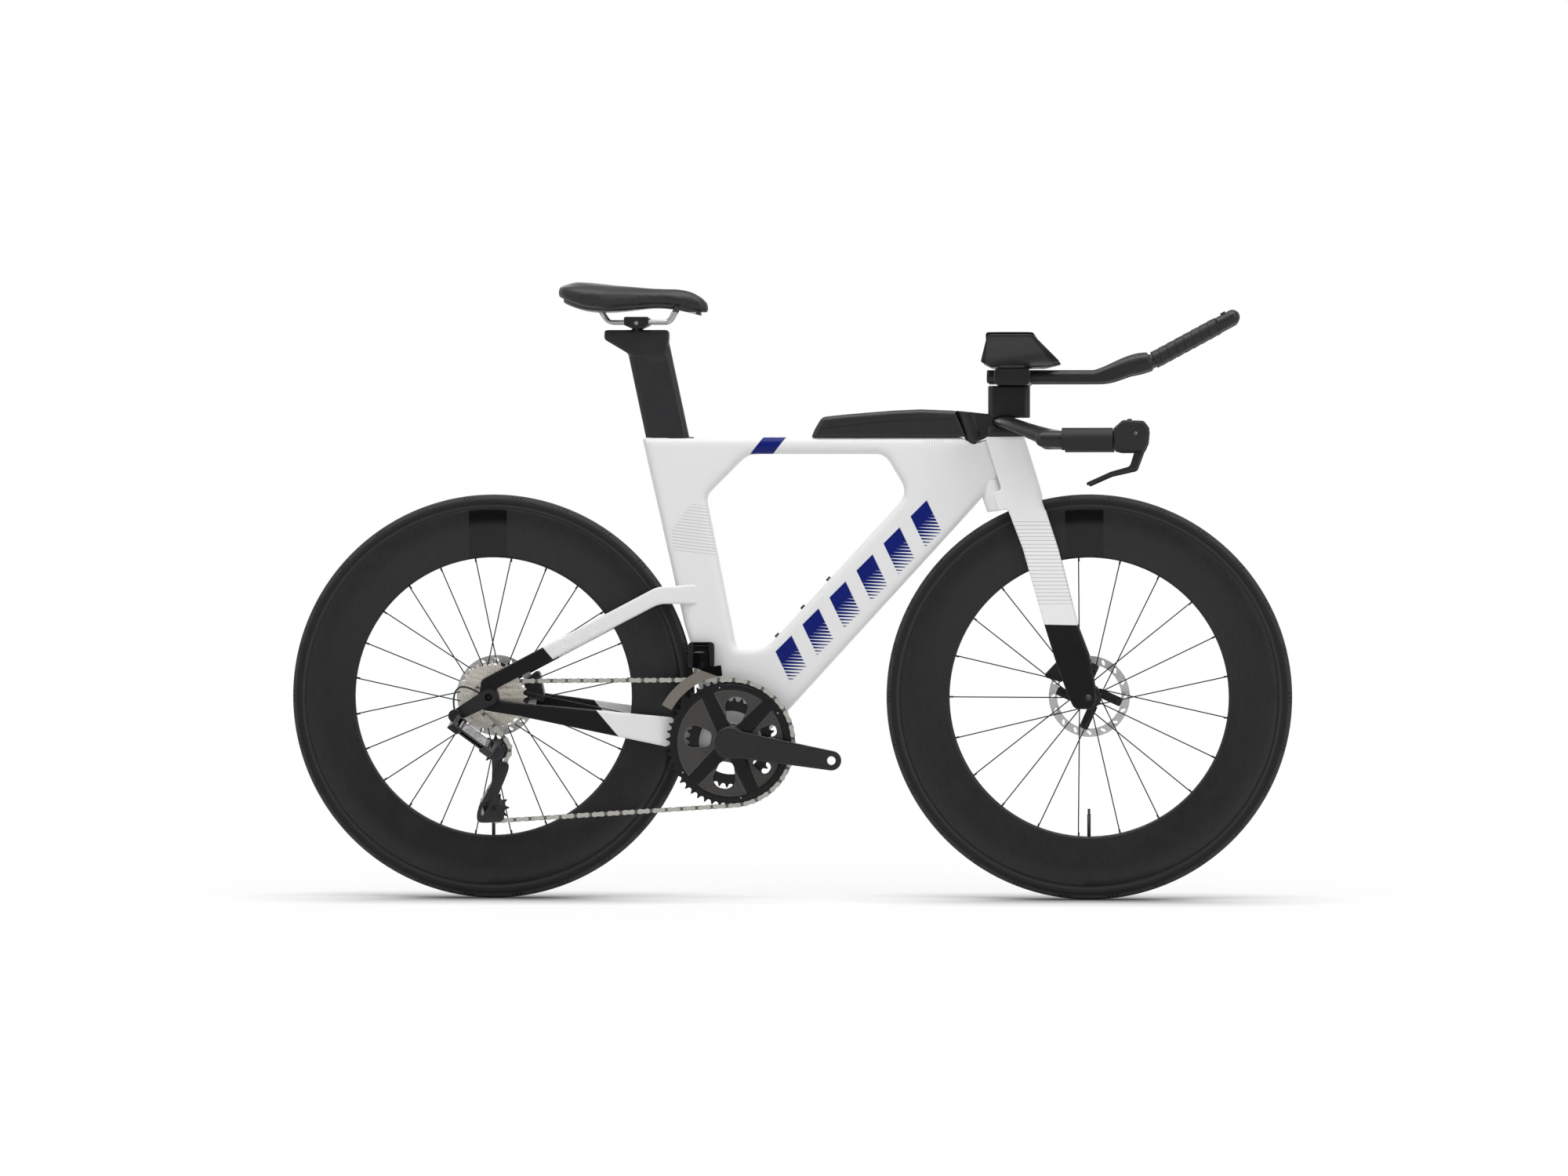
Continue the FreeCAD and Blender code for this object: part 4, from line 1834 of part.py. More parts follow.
cockpit = steer_point(0, head_tube_end + STEM_RISE)
wing_middle = cockpit + Vector(WING_AHEAD, 0, -WING_BELOW)
horn_middle = wing_middle + Vector(WING_SWEEP, WING_SPREAD, -WING_DROP)
housing_corner = horn_middle + Vector(HORN_LENGTH - HORN_BEHIND, 0, -HOUSING_DROP)
lever_pin = housing_corner + Vector(LEVER_PIN_AHEAD, 0, LEVER_PIN_ABOVE)
riser_corner = cockpit + Vector(RISER_REAR, 0, RISER_BOTTOM)
bridge_corner = Vector(cockpit.x + BRIDGE_REAR, 0, riser_corner.z + RISER_HEIGHT + SPACER_HEIGHT)
extension_foot = Vector(cockpit.x + EXTENSION_TAIL, EXTENSION_SPREAD, bridge_corner.z + EXTENSION_HEIGHT)


def shaped(corner, length, height, shares):
    """Outline in the X-Z plane from shares of a length and a height."""
    return [corner + Vector(length * along, 0, height * up) for along, up in shares]


def ring_wire(centre, normal, upward, tall, wide):
    """Closed oval as four arcs, so that every section of a loft has the same pieces."""
    across = normal.cross(upward).normalize()
    lean = math.sqrt(1 / 2)
    corners = []
    for turn in range(4):
        cosine = (1, 0, -1, 0)[turn]
        sine = (0, 1, 0, -1)[turn]
        corners.append(centre + across * (wide * cosine) + upward * (tall * sine))
    edges = []
    for turn in range(4):
        cosine = (1, -1, -1, 1)[turn] * lean
        sine = (1, 1, -1, -1)[turn] * lean
        middle = centre + across * (wide * cosine) + upward * (tall * sine)
        edges.append(Part.Arc(corners[turn], middle, corners[(turn + 1) % 4]).toShape())
    return Part.Wire(edges)


def base_bar():
    """Wing that sweeps forward and down to a round horn at each side."""
    sections = []
    for spread, sweep, drop, chord, thick in WING_SECTION_SHARES:
        centre = wing_middle + Vector(WING_SWEEP * sweep, WING_SPREAD * spread, -WING_DROP * drop)
        sections.append(ring_wire(centre, ALONG_Y, ALONG_Z, WING_THICKNESS * thick / 2, WING_CHORD * chord / 2))
    half = Part.makeLoft(sections, True, False)
    start = horn_middle - ALONG_X * HORN_BEHIND
    horn = rod(start, start + ALONG_X * HORN_LENGTH, HORN_RADIUS)
    horn = horn.fuse(Part.makeSphere(HORN_RADIUS, start))
    half = half.fuse(horn)
    return half.fuse(mirrored(half)).removeSplitter()


def bar_grips(bar):
    """Rubber sleeve on each horn, shaped to the wing where the two meet."""
    end = horn_middle + ALONG_X * (HORN_LENGTH - HORN_BEHIND - SEAT_GAP)
    start = end - ALONG_X * GRIP_LENGTH
    sleeve = rod(start, end, GRIP_RADIUS).cut(rod(start, end, HORN_RADIUS + SEAT_GAP))
    flat = [edge for edge in sleeve.Edges if edge.BoundBox.XLength < SHAFT_CLEARANCE]
    rims = [edge for edge in flat if edge.BoundBox.YLength > GRIP_RADIUS * 2 - SEAT_GAP]
    sleeve = sleeve.makeFillet(GRIP_EDGE_ROUND, rims).cut(bar)
    return [sleeve, mirrored(sleeve)]


def lever_housing():
    """Housing at the horn's end with a slot for the lever, its pin and a pocket for the button."""
    half = HOUSING_WIDTH / 2
    points = shaped(housing_corner, HOUSING_LENGTH, HOUSING_HEIGHT, HOUSING_SHARES)
    radii = [0, 0] + [HOUSING_CORNER_ROUND] * len(HOUSING_SHARES[2:-1]) + [0]
    middle = housing_corner.y
    body = side_solid(points, radii, middle - half, middle + half)
    flat = [edge for edge in body.Edges if edge.BoundBox.YLength < SHAFT_CLEARANCE]
    edges = [edge for edge in flat if edge.BoundBox.XMin > housing_corner.x + SEAT_GAP]
    body = body.makeFillet(HOUSING_EDGE_ROUND, edges)
    slot = LEVER_SLOT_WIDTH / 2
    low = housing_corner + Vector(LEVER_SLOT_START, 0, -HOUSING_HEIGHT)
    tall = HOUSING_HEIGHT + LEVER_SLOT_HEIGHT
    far = HOUSING_LENGTH
    corners = [low, low + Vector(far, 0, 0), low + Vector(far, 0, tall), low + Vector(0, 0, tall)]
    body = body.cut(side_solid(corners, [0, 0, 0, LEVER_EYE_RADIUS], middle - slot, middle + slot))
    pin = disc(lever_pin, LEVER_PIN_RADIUS, middle - half + SEAT_GAP, middle + half - SEAT_GAP)
    body = body.fuse(pin).removeSplitter()
    top = hood_button_top()
    depth = HOOD_BUTTON_HEIGHT + BUTTON_TRAVEL + RUNNING_GAP
    pocket = rod(top - ALONG_Z * depth, top, HOOD_BUTTON_RADIUS + SHAFT_CLEARANCE)
    return body.cut(pocket)


def hood_button_top():
    return housing_corner + Vector(HOOD_BUTTON_AHEAD, 0, HOUSING_HEIGHT + HOOD_BUTTON_PROUD)


def hood_button():
    top = hood_button_top()
    button = rod(top - ALONG_Z * HOOD_BUTTON_HEIGHT, top, HOOD_BUTTON_RADIUS)
    rim = [edge for edge in button.Edges if edge.BoundBox.ZMin > top.z - SEAT_GAP]
    return button.makeFillet(BUTTON_EDGE_ROUND, rim)


def brake_lever():
    """Lever blade that hangs from its pin and curves back toward its tip."""
    half = LEVER_THICKNESS / 2
    corner = Vector(lever_pin.x - LEVER_TIP_BEHIND, 0, lever_pin.z + LEVER_EYE_RADIUS - LEVER_DEPTH)
    points = shaped(corner, LEVER_REACH, LEVER_DEPTH, LEVER_SHARES)
    middle = lever_pin.y
    front = [0, 0, LEVER_ROUND, LEVER_HEEL_ROUND, LEVER_BEND_ROUND, LEVER_TIP_ROUND]
    rounds = front + [LEVER_TIP_ROUND, LEVER_BEND_ROUND, LEVER_HEEL_ROUND, 0]
    blade = side_solid(points, rounds, middle - half, middle + half)
    blade = blade.fuse(disc(lever_pin, LEVER_EYE_RADIUS, middle - half, middle + half)).removeSplitter()
    return blade.cut(disc(lever_pin, LEVER_PIN_RADIUS + SHAFT_CLEARANCE, middle - half, middle + half))


def stem_cover(fork_shape, bar):
    """Cover over the steerer's top: round behind the axis so that it turns in the frame's notch."""
    low = head_tube_end + RUNNING_GAP * 2
    high = low + STEM_COVER_HEIGHT * 2
    half = STEM_COVER_HALF_WIDTH
    plan = steer_round(STEM_COVER_ROUND, low, high)
    plan = plan.fuse(steer_box(half / 2, STEM_COVER_LENGTH * 2, half, low, high))
    corner = cockpit - Vector(STEM_COVER_REAR, 0, STEM_COVER_FOOT)
    points = shaped(corner, STEM_COVER_LENGTH, STEM_COVER_HEIGHT, STEM_COVER_SHARES)
    view = side_solid(points, [STEM_COVER_EDGE_ROUND] * len(points), -FRAME_WIDTH, FRAME_WIDTH)
    cover = plan.common(view)
    return cover.cut(fork_shape).cut(bar)


def riser_spacers(bar, cover):
    """Riser tower and the spacer on it."""
    half = RISER_WIDTH / 2
    corners = [
        (riser_corner.x, -half),
        (riser_corner.x + RISER_LENGTH, -half),
        (riser_corner.x + RISER_LENGTH, half),
        (riser_corner.x, half),
    ]
    middle = riser_corner.z + RISER_HEIGHT
    tower = plan_solid(corners, [RISER_ROUND] * 4, riser_corner.z, middle)
    spacer = plan_solid(corners, [RISER_ROUND] * 4, middle, middle + SPACER_HEIGHT)
    return [tower.cut(bar).cut(cover), spacer]


def extension_bridge():
    """Clamp across the spacer, bored for the two extensions."""
    half = BRIDGE_WIDTH / 2
    shares = ((0, 0), (1, 0), (1, 1), (0, 1))
    points = shaped(bridge_corner, BRIDGE_LENGTH, BRIDGE_HEIGHT, shares)
    body = side_solid(points, [BRIDGE_ROUND] * 4, -half, half)
    start = extension_foot - ALONG_X * CUT_OVERRUN
    end = start + ALONG_X * (EXTENSION_STRAIGHT + CUT_OVERRUN)
    bore = rod(start, end, EXTENSION_RADIUS + SHAFT_CLEARANCE)
    return body.cut(bore).cut(mirrored(bore))


def extension_path():
    """Corner points of an extension's centre line."""
    straight = extension_foot + ALONG_X * EXTENSION_STRAIGHT
    lifted = straight + Vector(EXTENSION_LIFT_LENGTH, 0, EXTENSION_LIFT)
    return [extension_foot, straight, lifted, lifted + Vector(EXTENSION_RISE_LENGTH, 0, EXTENSION_RISE)]


def extension():
    """Tube with an oval hand rest where it rises, and the shifter pod at its end."""
    points = extension_path()
    tube = pipe(points, [EXTENSION_BEND_RADIUS] * 2, EXTENSION_RADIUS)
    sections = []
    along = Vector(EXTENSION_LIFT_LENGTH, 0, EXTENSION_LIFT).normalize()
    for reach, tall, wide, lift in REST_SECTION_SHARES:
        normal = ALONG_X if reach == 0 else along
        upward = normal.cross(ALONG_Y)
        start = points[1] - ALONG_X * EXTENSION_BEND_RADIUS / 4
        span = points[2] - start
        centre = start + span * reach + upward * (EXTENSION_RADIUS * lift)
        sections.append((centre, normal, upward, EXTENSION_RADIUS * tall, EXTENSION_RADIUS * wide))
    pieces = [tube]
    rise = (points[3] - points[2]).normalize()
    pod_end = points[3] + rise * POD_LENGTH
    pieces.append(rod(points[3], pod_end, POD_RADIUS))
    pieces.append(Part.makeSphere(POD_RADIUS, pod_end))
    whole = joined(pieces)
    rest = Part.makeLoft([ring_wire(*section) for section in sections], True, False)
    whole = whole.fuse(rest).removeSplitter()
    top = shift_button_top()
    upward = rise.cross(ALONG_Y)
    depth = SHIFT_BUTTON_HEIGHT + BUTTON_TRAVEL + RUNNING_GAP
    return whole.cut(rod(top - upward * depth, top, SHIFT_BUTTON_RADIUS + SHAFT_CLEARANCE))


def shift_button_top():
    points = extension_path()
    rise = (points[3] - points[2]).normalize()
    upward = rise.cross(ALONG_Y)
    return points[3] + rise * SHIFT_BUTTON_REACH + upward * (POD_RADIUS + SHIFT_BUTTON_PROUD)


def shift_button():
    points = extension_path()
    upward = (points[3] - points[2]).normalize().cross(ALONG_Y)
    top = shift_button_top()
    return rod(top - upward * SHIFT_BUTTON_HEIGHT, top, SHIFT_BUTTON_RADIUS)


def bar_tape():
    """Wound tape: one tapered turn after another along the rising end of the extension."""
    points = extension_path()
    rise = (points[3] - points[2]).normalize()
    pitch = TAPE_LENGTH / TAPE_WRAP_COUNT
    start = points[3] - rise * (TAPE_LENGTH + SEAT_GAP)
    turns = []
    for index in range(TAPE_WRAP_COUNT):
        foot = start + rise * (pitch * index)
        turns.append(Part.makeCone(TAPE_RADIUS, TAPE_RADIUS - TAPE_STEP, pitch, foot, rise))
    roll = turns[0].multiFuse(turns[1:])
    over = rise * SEAT_GAP
    return roll.cut(rod(start - over, points[3] + over, EXTENSION_RADIUS + SEAT_GAP))


def arm_cup():
    """Trough for the forearm on a foot that stands on the bridge."""
    centre = Vector(cockpit.x + CUP_REAR, CUP_SPREAD, bridge_corner.z + BRIDGE_HEIGHT + CUP_WALL / 2 + CUP_RADIUS)
    end = centre + ALONG_X * CUP_LENGTH
    shell = rod(centre, end, CUP_RADIUS).cut(rod(centre, end, CUP_RADIUS - CUP_WALL))
    floor = centre - ALONG_Z * CUP_RADIUS
    points = shaped(shifted(floor, 0), CUP_LENGTH, CUP_RADIUS, CUP_SHARES)
    rounds = [CUP_WALL / 2, CUP_WALL, CUP_WALL, CUP_WALL / 2, CUP_FRONT_ROUND, CUP_REAR_ROUND]
    view = side_solid(points, rounds, centre.y - CUP_RADIUS * 2, centre.y + CUP_RADIUS * 2)
    shell = shell.common(view)
    foot_x = bridge_corner.x + (BRIDGE_LENGTH - CUP_FOOT_LENGTH) / 2
    half = CUP_FOOT_WIDTH / 2
    near = centre.y - half
    far = min(centre.y + half, BRIDGE_WIDTH / 2)
    corners = [(foot_x, near), (foot_x + CUP_FOOT_LENGTH, near), (foot_x + CUP_FOOT_LENGTH, far), (foot_x, far)]
    foot = plan_solid(corners, [CUP_WALL] * 4, bridge_corner.z + BRIDGE_HEIGHT, centre.z)
    foot = foot.cut(rod(centre, end, CUP_RADIUS - CUP_WALL / 2))
    return shell.fuse(foot).removeSplitter()


def arm_pad():
    """Cushion in the trough, crowned along its length and rounded at its rim."""
    middle = Vector(cockpit.x + CUP_REAR, CUP_SPREAD, bridge_corner.z + BRIDGE_HEIGHT + CUP_WALL / 2 + CUP_RADIUS)
    outer = CUP_RADIUS - CUP_WALL - SEAT_GAP
    inner = outer - ARM_PAD_THICKNESS
    near = middle.x + (CUP_LENGTH * CUP_SHARES[5][0] + CUP_LENGTH * CUP_SHARES[4][0]) / 2 - ARM_PAD_LENGTH / 2
    far = near + ARM_PAD_LENGTH
    lean = math.radians(ARM_PAD_SWEEP_ANGLE / 2)

    def at(x, radius):
        return Vector(x, middle.y - radius * math.sin(lean), middle.z - radius * math.cos(lean))

    soft = ARM_PAD_ROUND
    diagonal = soft * (1 - math.sqrt(1 / 2))
    edges = [
        Part.LineSegment(at(near, inner + soft), at(near, outer)).toShape(),
        Part.LineSegment(at(near, outer), at(far, outer)).toShape(),
        Part.LineSegment(at(far, outer), at(far, inner + soft)).toShape(),
        Part.Arc(at(far, inner + soft), at(far - diagonal, inner + diagonal), at(far - soft, inner)).toShape(),
        Part.Arc(at(far - soft, inner), at((near + far) / 2, inner - ARM_PAD_CROWN), at(near + soft, inner)).toShape(),
        Part.Arc(at(near + soft, inner), at(near + diagonal, inner + diagonal), at(near, inner + soft)).toShape(),
    ]
    return Part.Face(Part.Wire(edges)).revolve(middle, ALONG_X, ARM_PAD_SWEEP_ANGLE)


def post_centre(z):
    start, up, ahead = post_frame()
    return start + up * post_height(z)


seat_bolt = post_centre(post_head_top) + Vector(-SEAT_BOLT_BEHIND_POST, 0, SEAT_BOLT_ABOVE_HEAD)
rail_line = seat_bolt + Vector(0, RAIL_SPREAD, RAIL_ABOVE_BOLT)
saddle_corner = seat_bolt + Vector(-SADDLE_REAR, 0, SADDLE_BASE_ABOVE_BOLT)


def seatpost():
    """Streamlined post with a flat head, and the lug and pin that the saddle clamp tilts on."""
    low = post_height(post_bottom)
    neck = post_head_top - POST_HEAD_DEPTH / 2
    post = post_prism(0, low, post_height(neck))
    half = POST_WIDTH / 2
    front = post_centre(post_head_top).x + POST_DEPTH / 2 + POST_HEAD_DEPTH / 3
    rear = front - POST_HEAD_LENGTH
    floor = post_head_top - POST_HEAD_DEPTH
    slope = floor - POST_HEAD_DEPTH * 2
    points = [
        Vector(rear, 0, post_head_top),
        Vector(rear, 0, floor),
        Vector(post_centre(slope).x - POST_DEPTH / 3, 0, slope),
        Vector(post_centre(slope).x + POST_DEPTH / 3, 0, slope),
        Vector(front, 0, floor),
        Vector(front, 0, post_head_top),
    ]
    corner_round = POST_HEAD_DEPTH / 4
    rounds = [corner_round, corner_round, POST_NECK_ROUND, 0, corner_round, corner_round]
    head = side_solid(points, rounds, -half, half)
    lug_half = SEAT_LUG_WIDTH / 2
    lug = disc(seat_bolt, SEAT_LUG_RADIUS, -lug_half, lug_half)
    pin = disc(seat_bolt, SEAT_PIN_RADIUS, -SEAT_PIN_LENGTH / 2, SEAT_PIN_LENGTH / 2)
    return joined([post, head, lug, pin])


def saddle_clamp():
    """Cheeks on the post's lug, bored for its pin and for the two rails, joined over the lug."""
    half = CLAMP_WIDTH / 2
    corner = seat_bolt - Vector(CLAMP_LENGTH / 2, 0, CLAMP_BELOW_BOLT)
    points = shaped(corner, CLAMP_LENGTH, CLAMP_HEIGHT, CLAMP_SHARES)
    body = side_solid(points, [0] * len(points), -half, half)
    lug_half = SEAT_LUG_WIDTH / 2 + RUNNING_GAP
    body = body.cut(disc(seat_bolt, SEAT_LUG_RADIUS + RUNNING_GAP, -lug_half, lug_half))
    reach = CLAMP_LENGTH / 2
    corners = [(-reach, -reach), (reach, -reach), (reach, 0), (-reach, 0)]
    slot = [seat_bolt + Vector(x, 0, z) for x, z in corners]
    body = body.cut(side_solid(slot, [0] * len(slot), -lug_half, lug_half))
    pin_half = SEAT_PIN_LENGTH / 2 + RUNNING_GAP
    body = body.cut(disc(seat_bolt, SEAT_PIN_RADIUS + SHAFT_CLEARANCE, -pin_half, pin_half))
    for side in (1, -1):
        line = shifted(rail_line, side * RAIL_SPREAD)
        reach = ALONG_X * CLAMP_LENGTH
        body = body.cut(rod(line - reach, line + reach, RAIL_RADIUS + SHAFT_CLEARANCE))
    return body


def saddle_section(index, shrink, drop):
    """Cross-section of the saddle: flat below, drawn in at its sides, crowned above with a channel."""
    along, width, low, high = SADDLE_SECTION_SHARES[index]
    wide = SADDLE_WIDTH / 2 * width * shrink
    x = saddle_corner.x + SADDLE_LENGTH * along
    foot = saddle_corner.z + SADDLE_HEIGHT * low - drop
    top = saddle_corner.z + SADDLE_HEIGHT * high - drop
    tall = top - foot
    dip = SADDLE_HEIGHT * SADDLE_CHANNEL_SHARES[index]

    def at(side, up):
        return Vector(x, wide * side, foot + tall * up)

    groove = Vector(x, 0, top - dip)
    shoulder, shoulder_up = SADDLE_SHOULDER_SHARES
    crown, crown_up = SADDLE_CROWN_SHARES
    half = [
        (at(SADDLE_FOOT_SHARE, 0), at(1, SADDLE_BULGE_SHARE), at(shoulder, shoulder_up)),
        (at(shoulder, shoulder_up), at(crown, crown_up), at(SADDLE_GROOVE_SHARE, 1)),
    ]
    other = [[shifted(point, -point.y) for point in reversed(arc)] for arc in reversed(half)]
    arcs = half + [(half[-1][-1], groove, other[0][0])] + other
    edges = [Part.Arc(*arc).toShape() for arc in arcs]
    edges.append(Part.LineSegment(other[-1][-1], half[0][0]).toShape())
    return Part.Wire(edges)


def saddle_pad():
    sections = [saddle_section(index, 1, 0) for index in range(len(SADDLE_SECTION_SHARES))]
    return Part.makeLoft(sections, True, False)


def saddle_base(pad):
    """Shell under the cushion with the two bent rails that run down to the clamp."""
    count = len(SADDLE_SECTION_SHARES)
    inner = [saddle_section(index, SADDLE_SHELL_SHARE, SADDLE_SHELL_DROP) for index in range(1, count - 1)]
    shell = Part.makeLoft(inner, True, False)
    rails = []
    for side in (1, -1):
        middle = shifted(rail_line, side * RAIL_SPREAD)
        rear = middle - ALONG_X * RAIL_STRAIGHT_REAR
        front = middle + ALONG_X * RAIL_STRAIGHT_FRONT
        tail = rear + Vector(-RAIL_REAR_RUN, 0, RAIL_REAR_RISE)
        tip = front + Vector(RAIL_FRONT_RUN, 0, RAIL_FRONT_RISE)
        rails.append(pipe([tail, rear, front, tip], [RAIL_BEND, RAIL_BEND], RAIL_RADIUS))
    return joined([shell] + rails).cut(pad)


def derailleur_wire(stays, base):
    """Wire that loops from the right dropout to the derailleur's fixed knuckle, in straight runs and bends."""
    points = [rear_axle + Vector(*place) * WIRE_REACH for place in WIRE_ROUTE_SHARES]
    radii = []
    for index in range(1, len(points) - 1):
        back = points[index - 1] - points[index]
        on = points[index + 1] - points[index]
        half = back.getAngle(on) / 2
        radii.append(WIRE_BEND_SHARE * min(back.Length, on.Length) * math.tan(half))
    print("wire bend radii", [round(radius, 1) for radius in radii])
    cord = pipe(points, radii, WIRE_RADIUS)
    return cord.cut(stays).cut(base)


def main():
    os.makedirs("parts", exist_ok=True)
    blank = frame_blank()
    stays = [stay_side(-1, 0, blank), stay_side(1, LEFT_STAY_RISE, blank)]
    fork_shape = fork()
    bar = base_bar()
    base = rd_base()
    save("main_frame", [main_frame(blank)])
    save("rear_stays", stays)
    save("seatpost_wedge", [wedge_block(0)])
    save("bottom_bracket", bottom_bracket())
    save("derailleur_hanger", [derailleur_hanger()])
    save("rear_axle", [axle_bar(rear_axle, REAR_HUB_SPACING, DROPOUT_THICKNESS)])
    rear_caliper = caliper(rear_axle, REAR_ROTOR_OFFSET, REAR_CALIPER_ANGLE)
    save("rear_caliper", [rear_caliper[0].cut(stays[1])] + rear_caliper[1:])
    save("front_derailleur_body", [front_derailleur_body()])
    save("storage_box", [storage_box()])
    save("bottle_bolts", bottle_bolts())
    save("chain", chain())
    save("derailleur_wire", [derailleur_wire(stays[0], base)])

    save("fork", [fork_shape])
    save("steerer", steerer())
    save("base_bar", [bar])
    cover = stem_cover(fork_shape, bar)
    save("stem_cover", [cover])
    save("riser_spacers", riser_spacers(bar, cover))
    save("extension_bridge", [extension_bridge()])
    save("arm_cups", [arm_cup(), mirrored(arm_cup())])
    save("arm_pads", [arm_pad(), mirrored(arm_pad())])
    save("bar_grips", bar_grips(bar))
    save("lever_housings", [lever_housing(), mirrored(lever_housing())])
    front_caliper = caliper(front_axle, FRONT_ROTOR_OFFSET, FRONT_CALIPER_ANGLE)
    save("front_caliper", [front_caliper[0].cut(fork_shape)] + front_caliper[1:])
    save("front_axle", [axle_bar(front_axle, FRONT_HUB_SPACING, (FORK_END_WIDTH - FRONT_HUB_SPACING) / 2)])
    pairs = (
        ("brake_lever", brake_lever()),
        ("hood_button", hood_button()),
        ("extension", extension()),
        ("bar_tape", bar_tape()),
        ("shift_button", shift_button()),
    )
    for name, shape in pairs:
        save(name + "_left", [shape])
        save(name + "_right", [mirrored(shape)])

    wheels = (
        ("front", front_axle, FRONT_SPOKE_SET_COUNT, front_hub(), FRONT_ROTOR_OFFSET),
        ("rear", rear_axle, REAR_SPOKE_SET_COUNT, rear_hub(), REAR_ROTOR_OFFSET),
    )
    for name, axle, sets, hub_shape, offset in wheels:
        save(name + "_tyre", [tyre(axle)])
        save(name + "_rim", [rim(axle), valve(axle)])
        save(name + "_spokes", wheel_spokes(axle, sets, name == "front"))
        save(name + "_hub", [hub_shape])
        save(name + "_rotor", rotor(axle, offset, hub_shape))
    save("cassette", cassette())

    save("crank_arm_right", crank_arm_right())
    save("crank_arm_left", [crank_arm_left()])
    save("chainrings", chainrings())
    save("rd_base", [base])
    save("rd_outer_link", [derailleur_link(-1)])
    save("rd_inner_link", [derailleur_link(1)])
    save("rd_knuckle", [rd_knuckle()])
    save("rd_cage", [rd_cage()])
    save("guide_pulley", [pulley(guide_centre)])
    save("tension_pulley", [pulley(tension_place)])
    save("front_derailleur_cage", [front_derailleur_cage()])

    save("seatpost", [seatpost()])
    save("saddle_clamp", [saddle_clamp()])
    pad = saddle_pad()
    save("saddle_pad", [pad])
    save("saddle_base", [saddle_base(pad)])


main()
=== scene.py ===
import bpy
import bmesh
import json
import math
from mathutils import Matrix, Vector


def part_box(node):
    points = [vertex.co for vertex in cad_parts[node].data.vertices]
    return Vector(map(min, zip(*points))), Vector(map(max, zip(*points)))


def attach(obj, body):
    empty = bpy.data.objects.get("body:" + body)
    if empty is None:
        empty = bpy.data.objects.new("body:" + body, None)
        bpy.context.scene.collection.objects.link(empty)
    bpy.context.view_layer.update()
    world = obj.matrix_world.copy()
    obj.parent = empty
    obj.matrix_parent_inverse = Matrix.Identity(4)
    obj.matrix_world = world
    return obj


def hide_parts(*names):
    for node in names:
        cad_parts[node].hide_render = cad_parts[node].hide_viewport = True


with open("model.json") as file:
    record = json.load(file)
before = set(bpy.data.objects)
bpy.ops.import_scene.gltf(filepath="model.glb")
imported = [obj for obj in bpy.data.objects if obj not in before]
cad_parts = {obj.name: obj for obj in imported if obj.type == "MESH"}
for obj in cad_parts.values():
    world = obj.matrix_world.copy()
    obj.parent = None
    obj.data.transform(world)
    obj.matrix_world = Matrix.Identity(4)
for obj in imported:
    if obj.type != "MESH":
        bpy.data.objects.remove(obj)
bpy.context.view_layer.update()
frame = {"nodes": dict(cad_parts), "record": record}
cadNodes = frame["nodes"]
bodyOf = {}
for bodyName, members in frame["record"]["behaviour"]["bodies"].items():
    for member in members:
        bodyOf[member] = bodyName
print("frame loaded:", len(cadNodes), "nodes")

view = {"place": Vector((0.62, -11.0, 0.64)), "aim": Vector((-0.011, 0.0, 0.521)), "width": 2.629}
sightLine = view["aim"] - view["place"]
camera = bpy.data.objects.new("camera", bpy.data.cameras.new("camera"))
camera.data.sensor_width = 36.0
camera.data.lens = sightLine.length * camera.data.sensor_width / view["width"]
camera.location = view["place"]
camera.rotation_euler = sightLine.to_track_quat("-Z", "Y").to_euler()
camera.data.clip_end = 60.0
bpy.context.scene.collection.objects.link(camera)
bpy.context.scene.camera = camera
bpy.context.scene.view_settings.view_transform = "Standard"
print("camera placed")

mm = 0.001
frontAxle = Vector((0.5, 0.0, 0.339))
rearAxle = Vector((-0.5, 0.0, 0.339))


def newFinish(name, colour, roughness, metallic=0.0, specular=0.5):
    finish = bpy.data.materials.new(name)
    finish.use_nodes = True
    shader = shaderOf(finish)
    shader.inputs["Base Color"].default_value = (*colour, 1.0)
    shader.inputs["Roughness"].default_value = roughness
    shader.inputs["Metallic"].default_value = metallic
    shader.inputs["Specular IOR Level"].default_value = specular
    return finish


def shaderOf(finish):
    return finish.node_tree.nodes["Principled BSDF"]


def addNode(owner, kind, **settings):  # owner is a material or the world
    node = owner.node_tree.nodes.new(kind)
    for key, value in settings.items():
        setattr(node, key, value)
    return node


def join(owner, source, target):
    owner.node_tree.links.new(source, target)


def feed(owner, socket, value):  # a number, a colour or another node's output
    if isinstance(value, (int, float)):
        socket.default_value = value
    elif isinstance(value, tuple):
        socket.default_value = (*value, 1.0)
    else:
        join(owner, value, socket)


def objectPlace(finish):
    return addNode(finish, "ShaderNodeTexCoord").outputs["Object"]


def mathStep(owner, operation, *values):
    node = addNode(owner, "ShaderNodeMath", operation=operation)
    for socket, value in zip(node.inputs, values):
        feed(owner, socket, value)
    return node.outputs[0]


def remap(owner, value, start, end, low=0.0, high=1.0):  # straight ramp, level on both sides of it
    ramp = addNode(owner, "ShaderNodeMapRange", clamp=True)
    join(owner, value, ramp.inputs["Value"])
    for socketName, number in (("From Min", start), ("From Max", end), ("To Min", low), ("To Max", high)):
        ramp.inputs[socketName].default_value = number
    return ramp.outputs[0]


def mixColour(finish, factor, first, second):
    mix = addNode(finish, "ShaderNodeMix", data_type="RGBA")
    join(finish, factor, mix.inputs[0])
    feed(finish, mix.inputs[6], first)
    feed(finish, mix.inputs[7], second)
    return mix.outputs[2]


def mixValue(owner, factor, first, second):
    mix = addNode(owner, "ShaderNodeMix", data_type="FLOAT")
    join(owner, factor, mix.inputs[0])
    feed(owner, mix.inputs[2], first)
    feed(owner, mix.inputs[3], second)
    return mix.outputs[0]


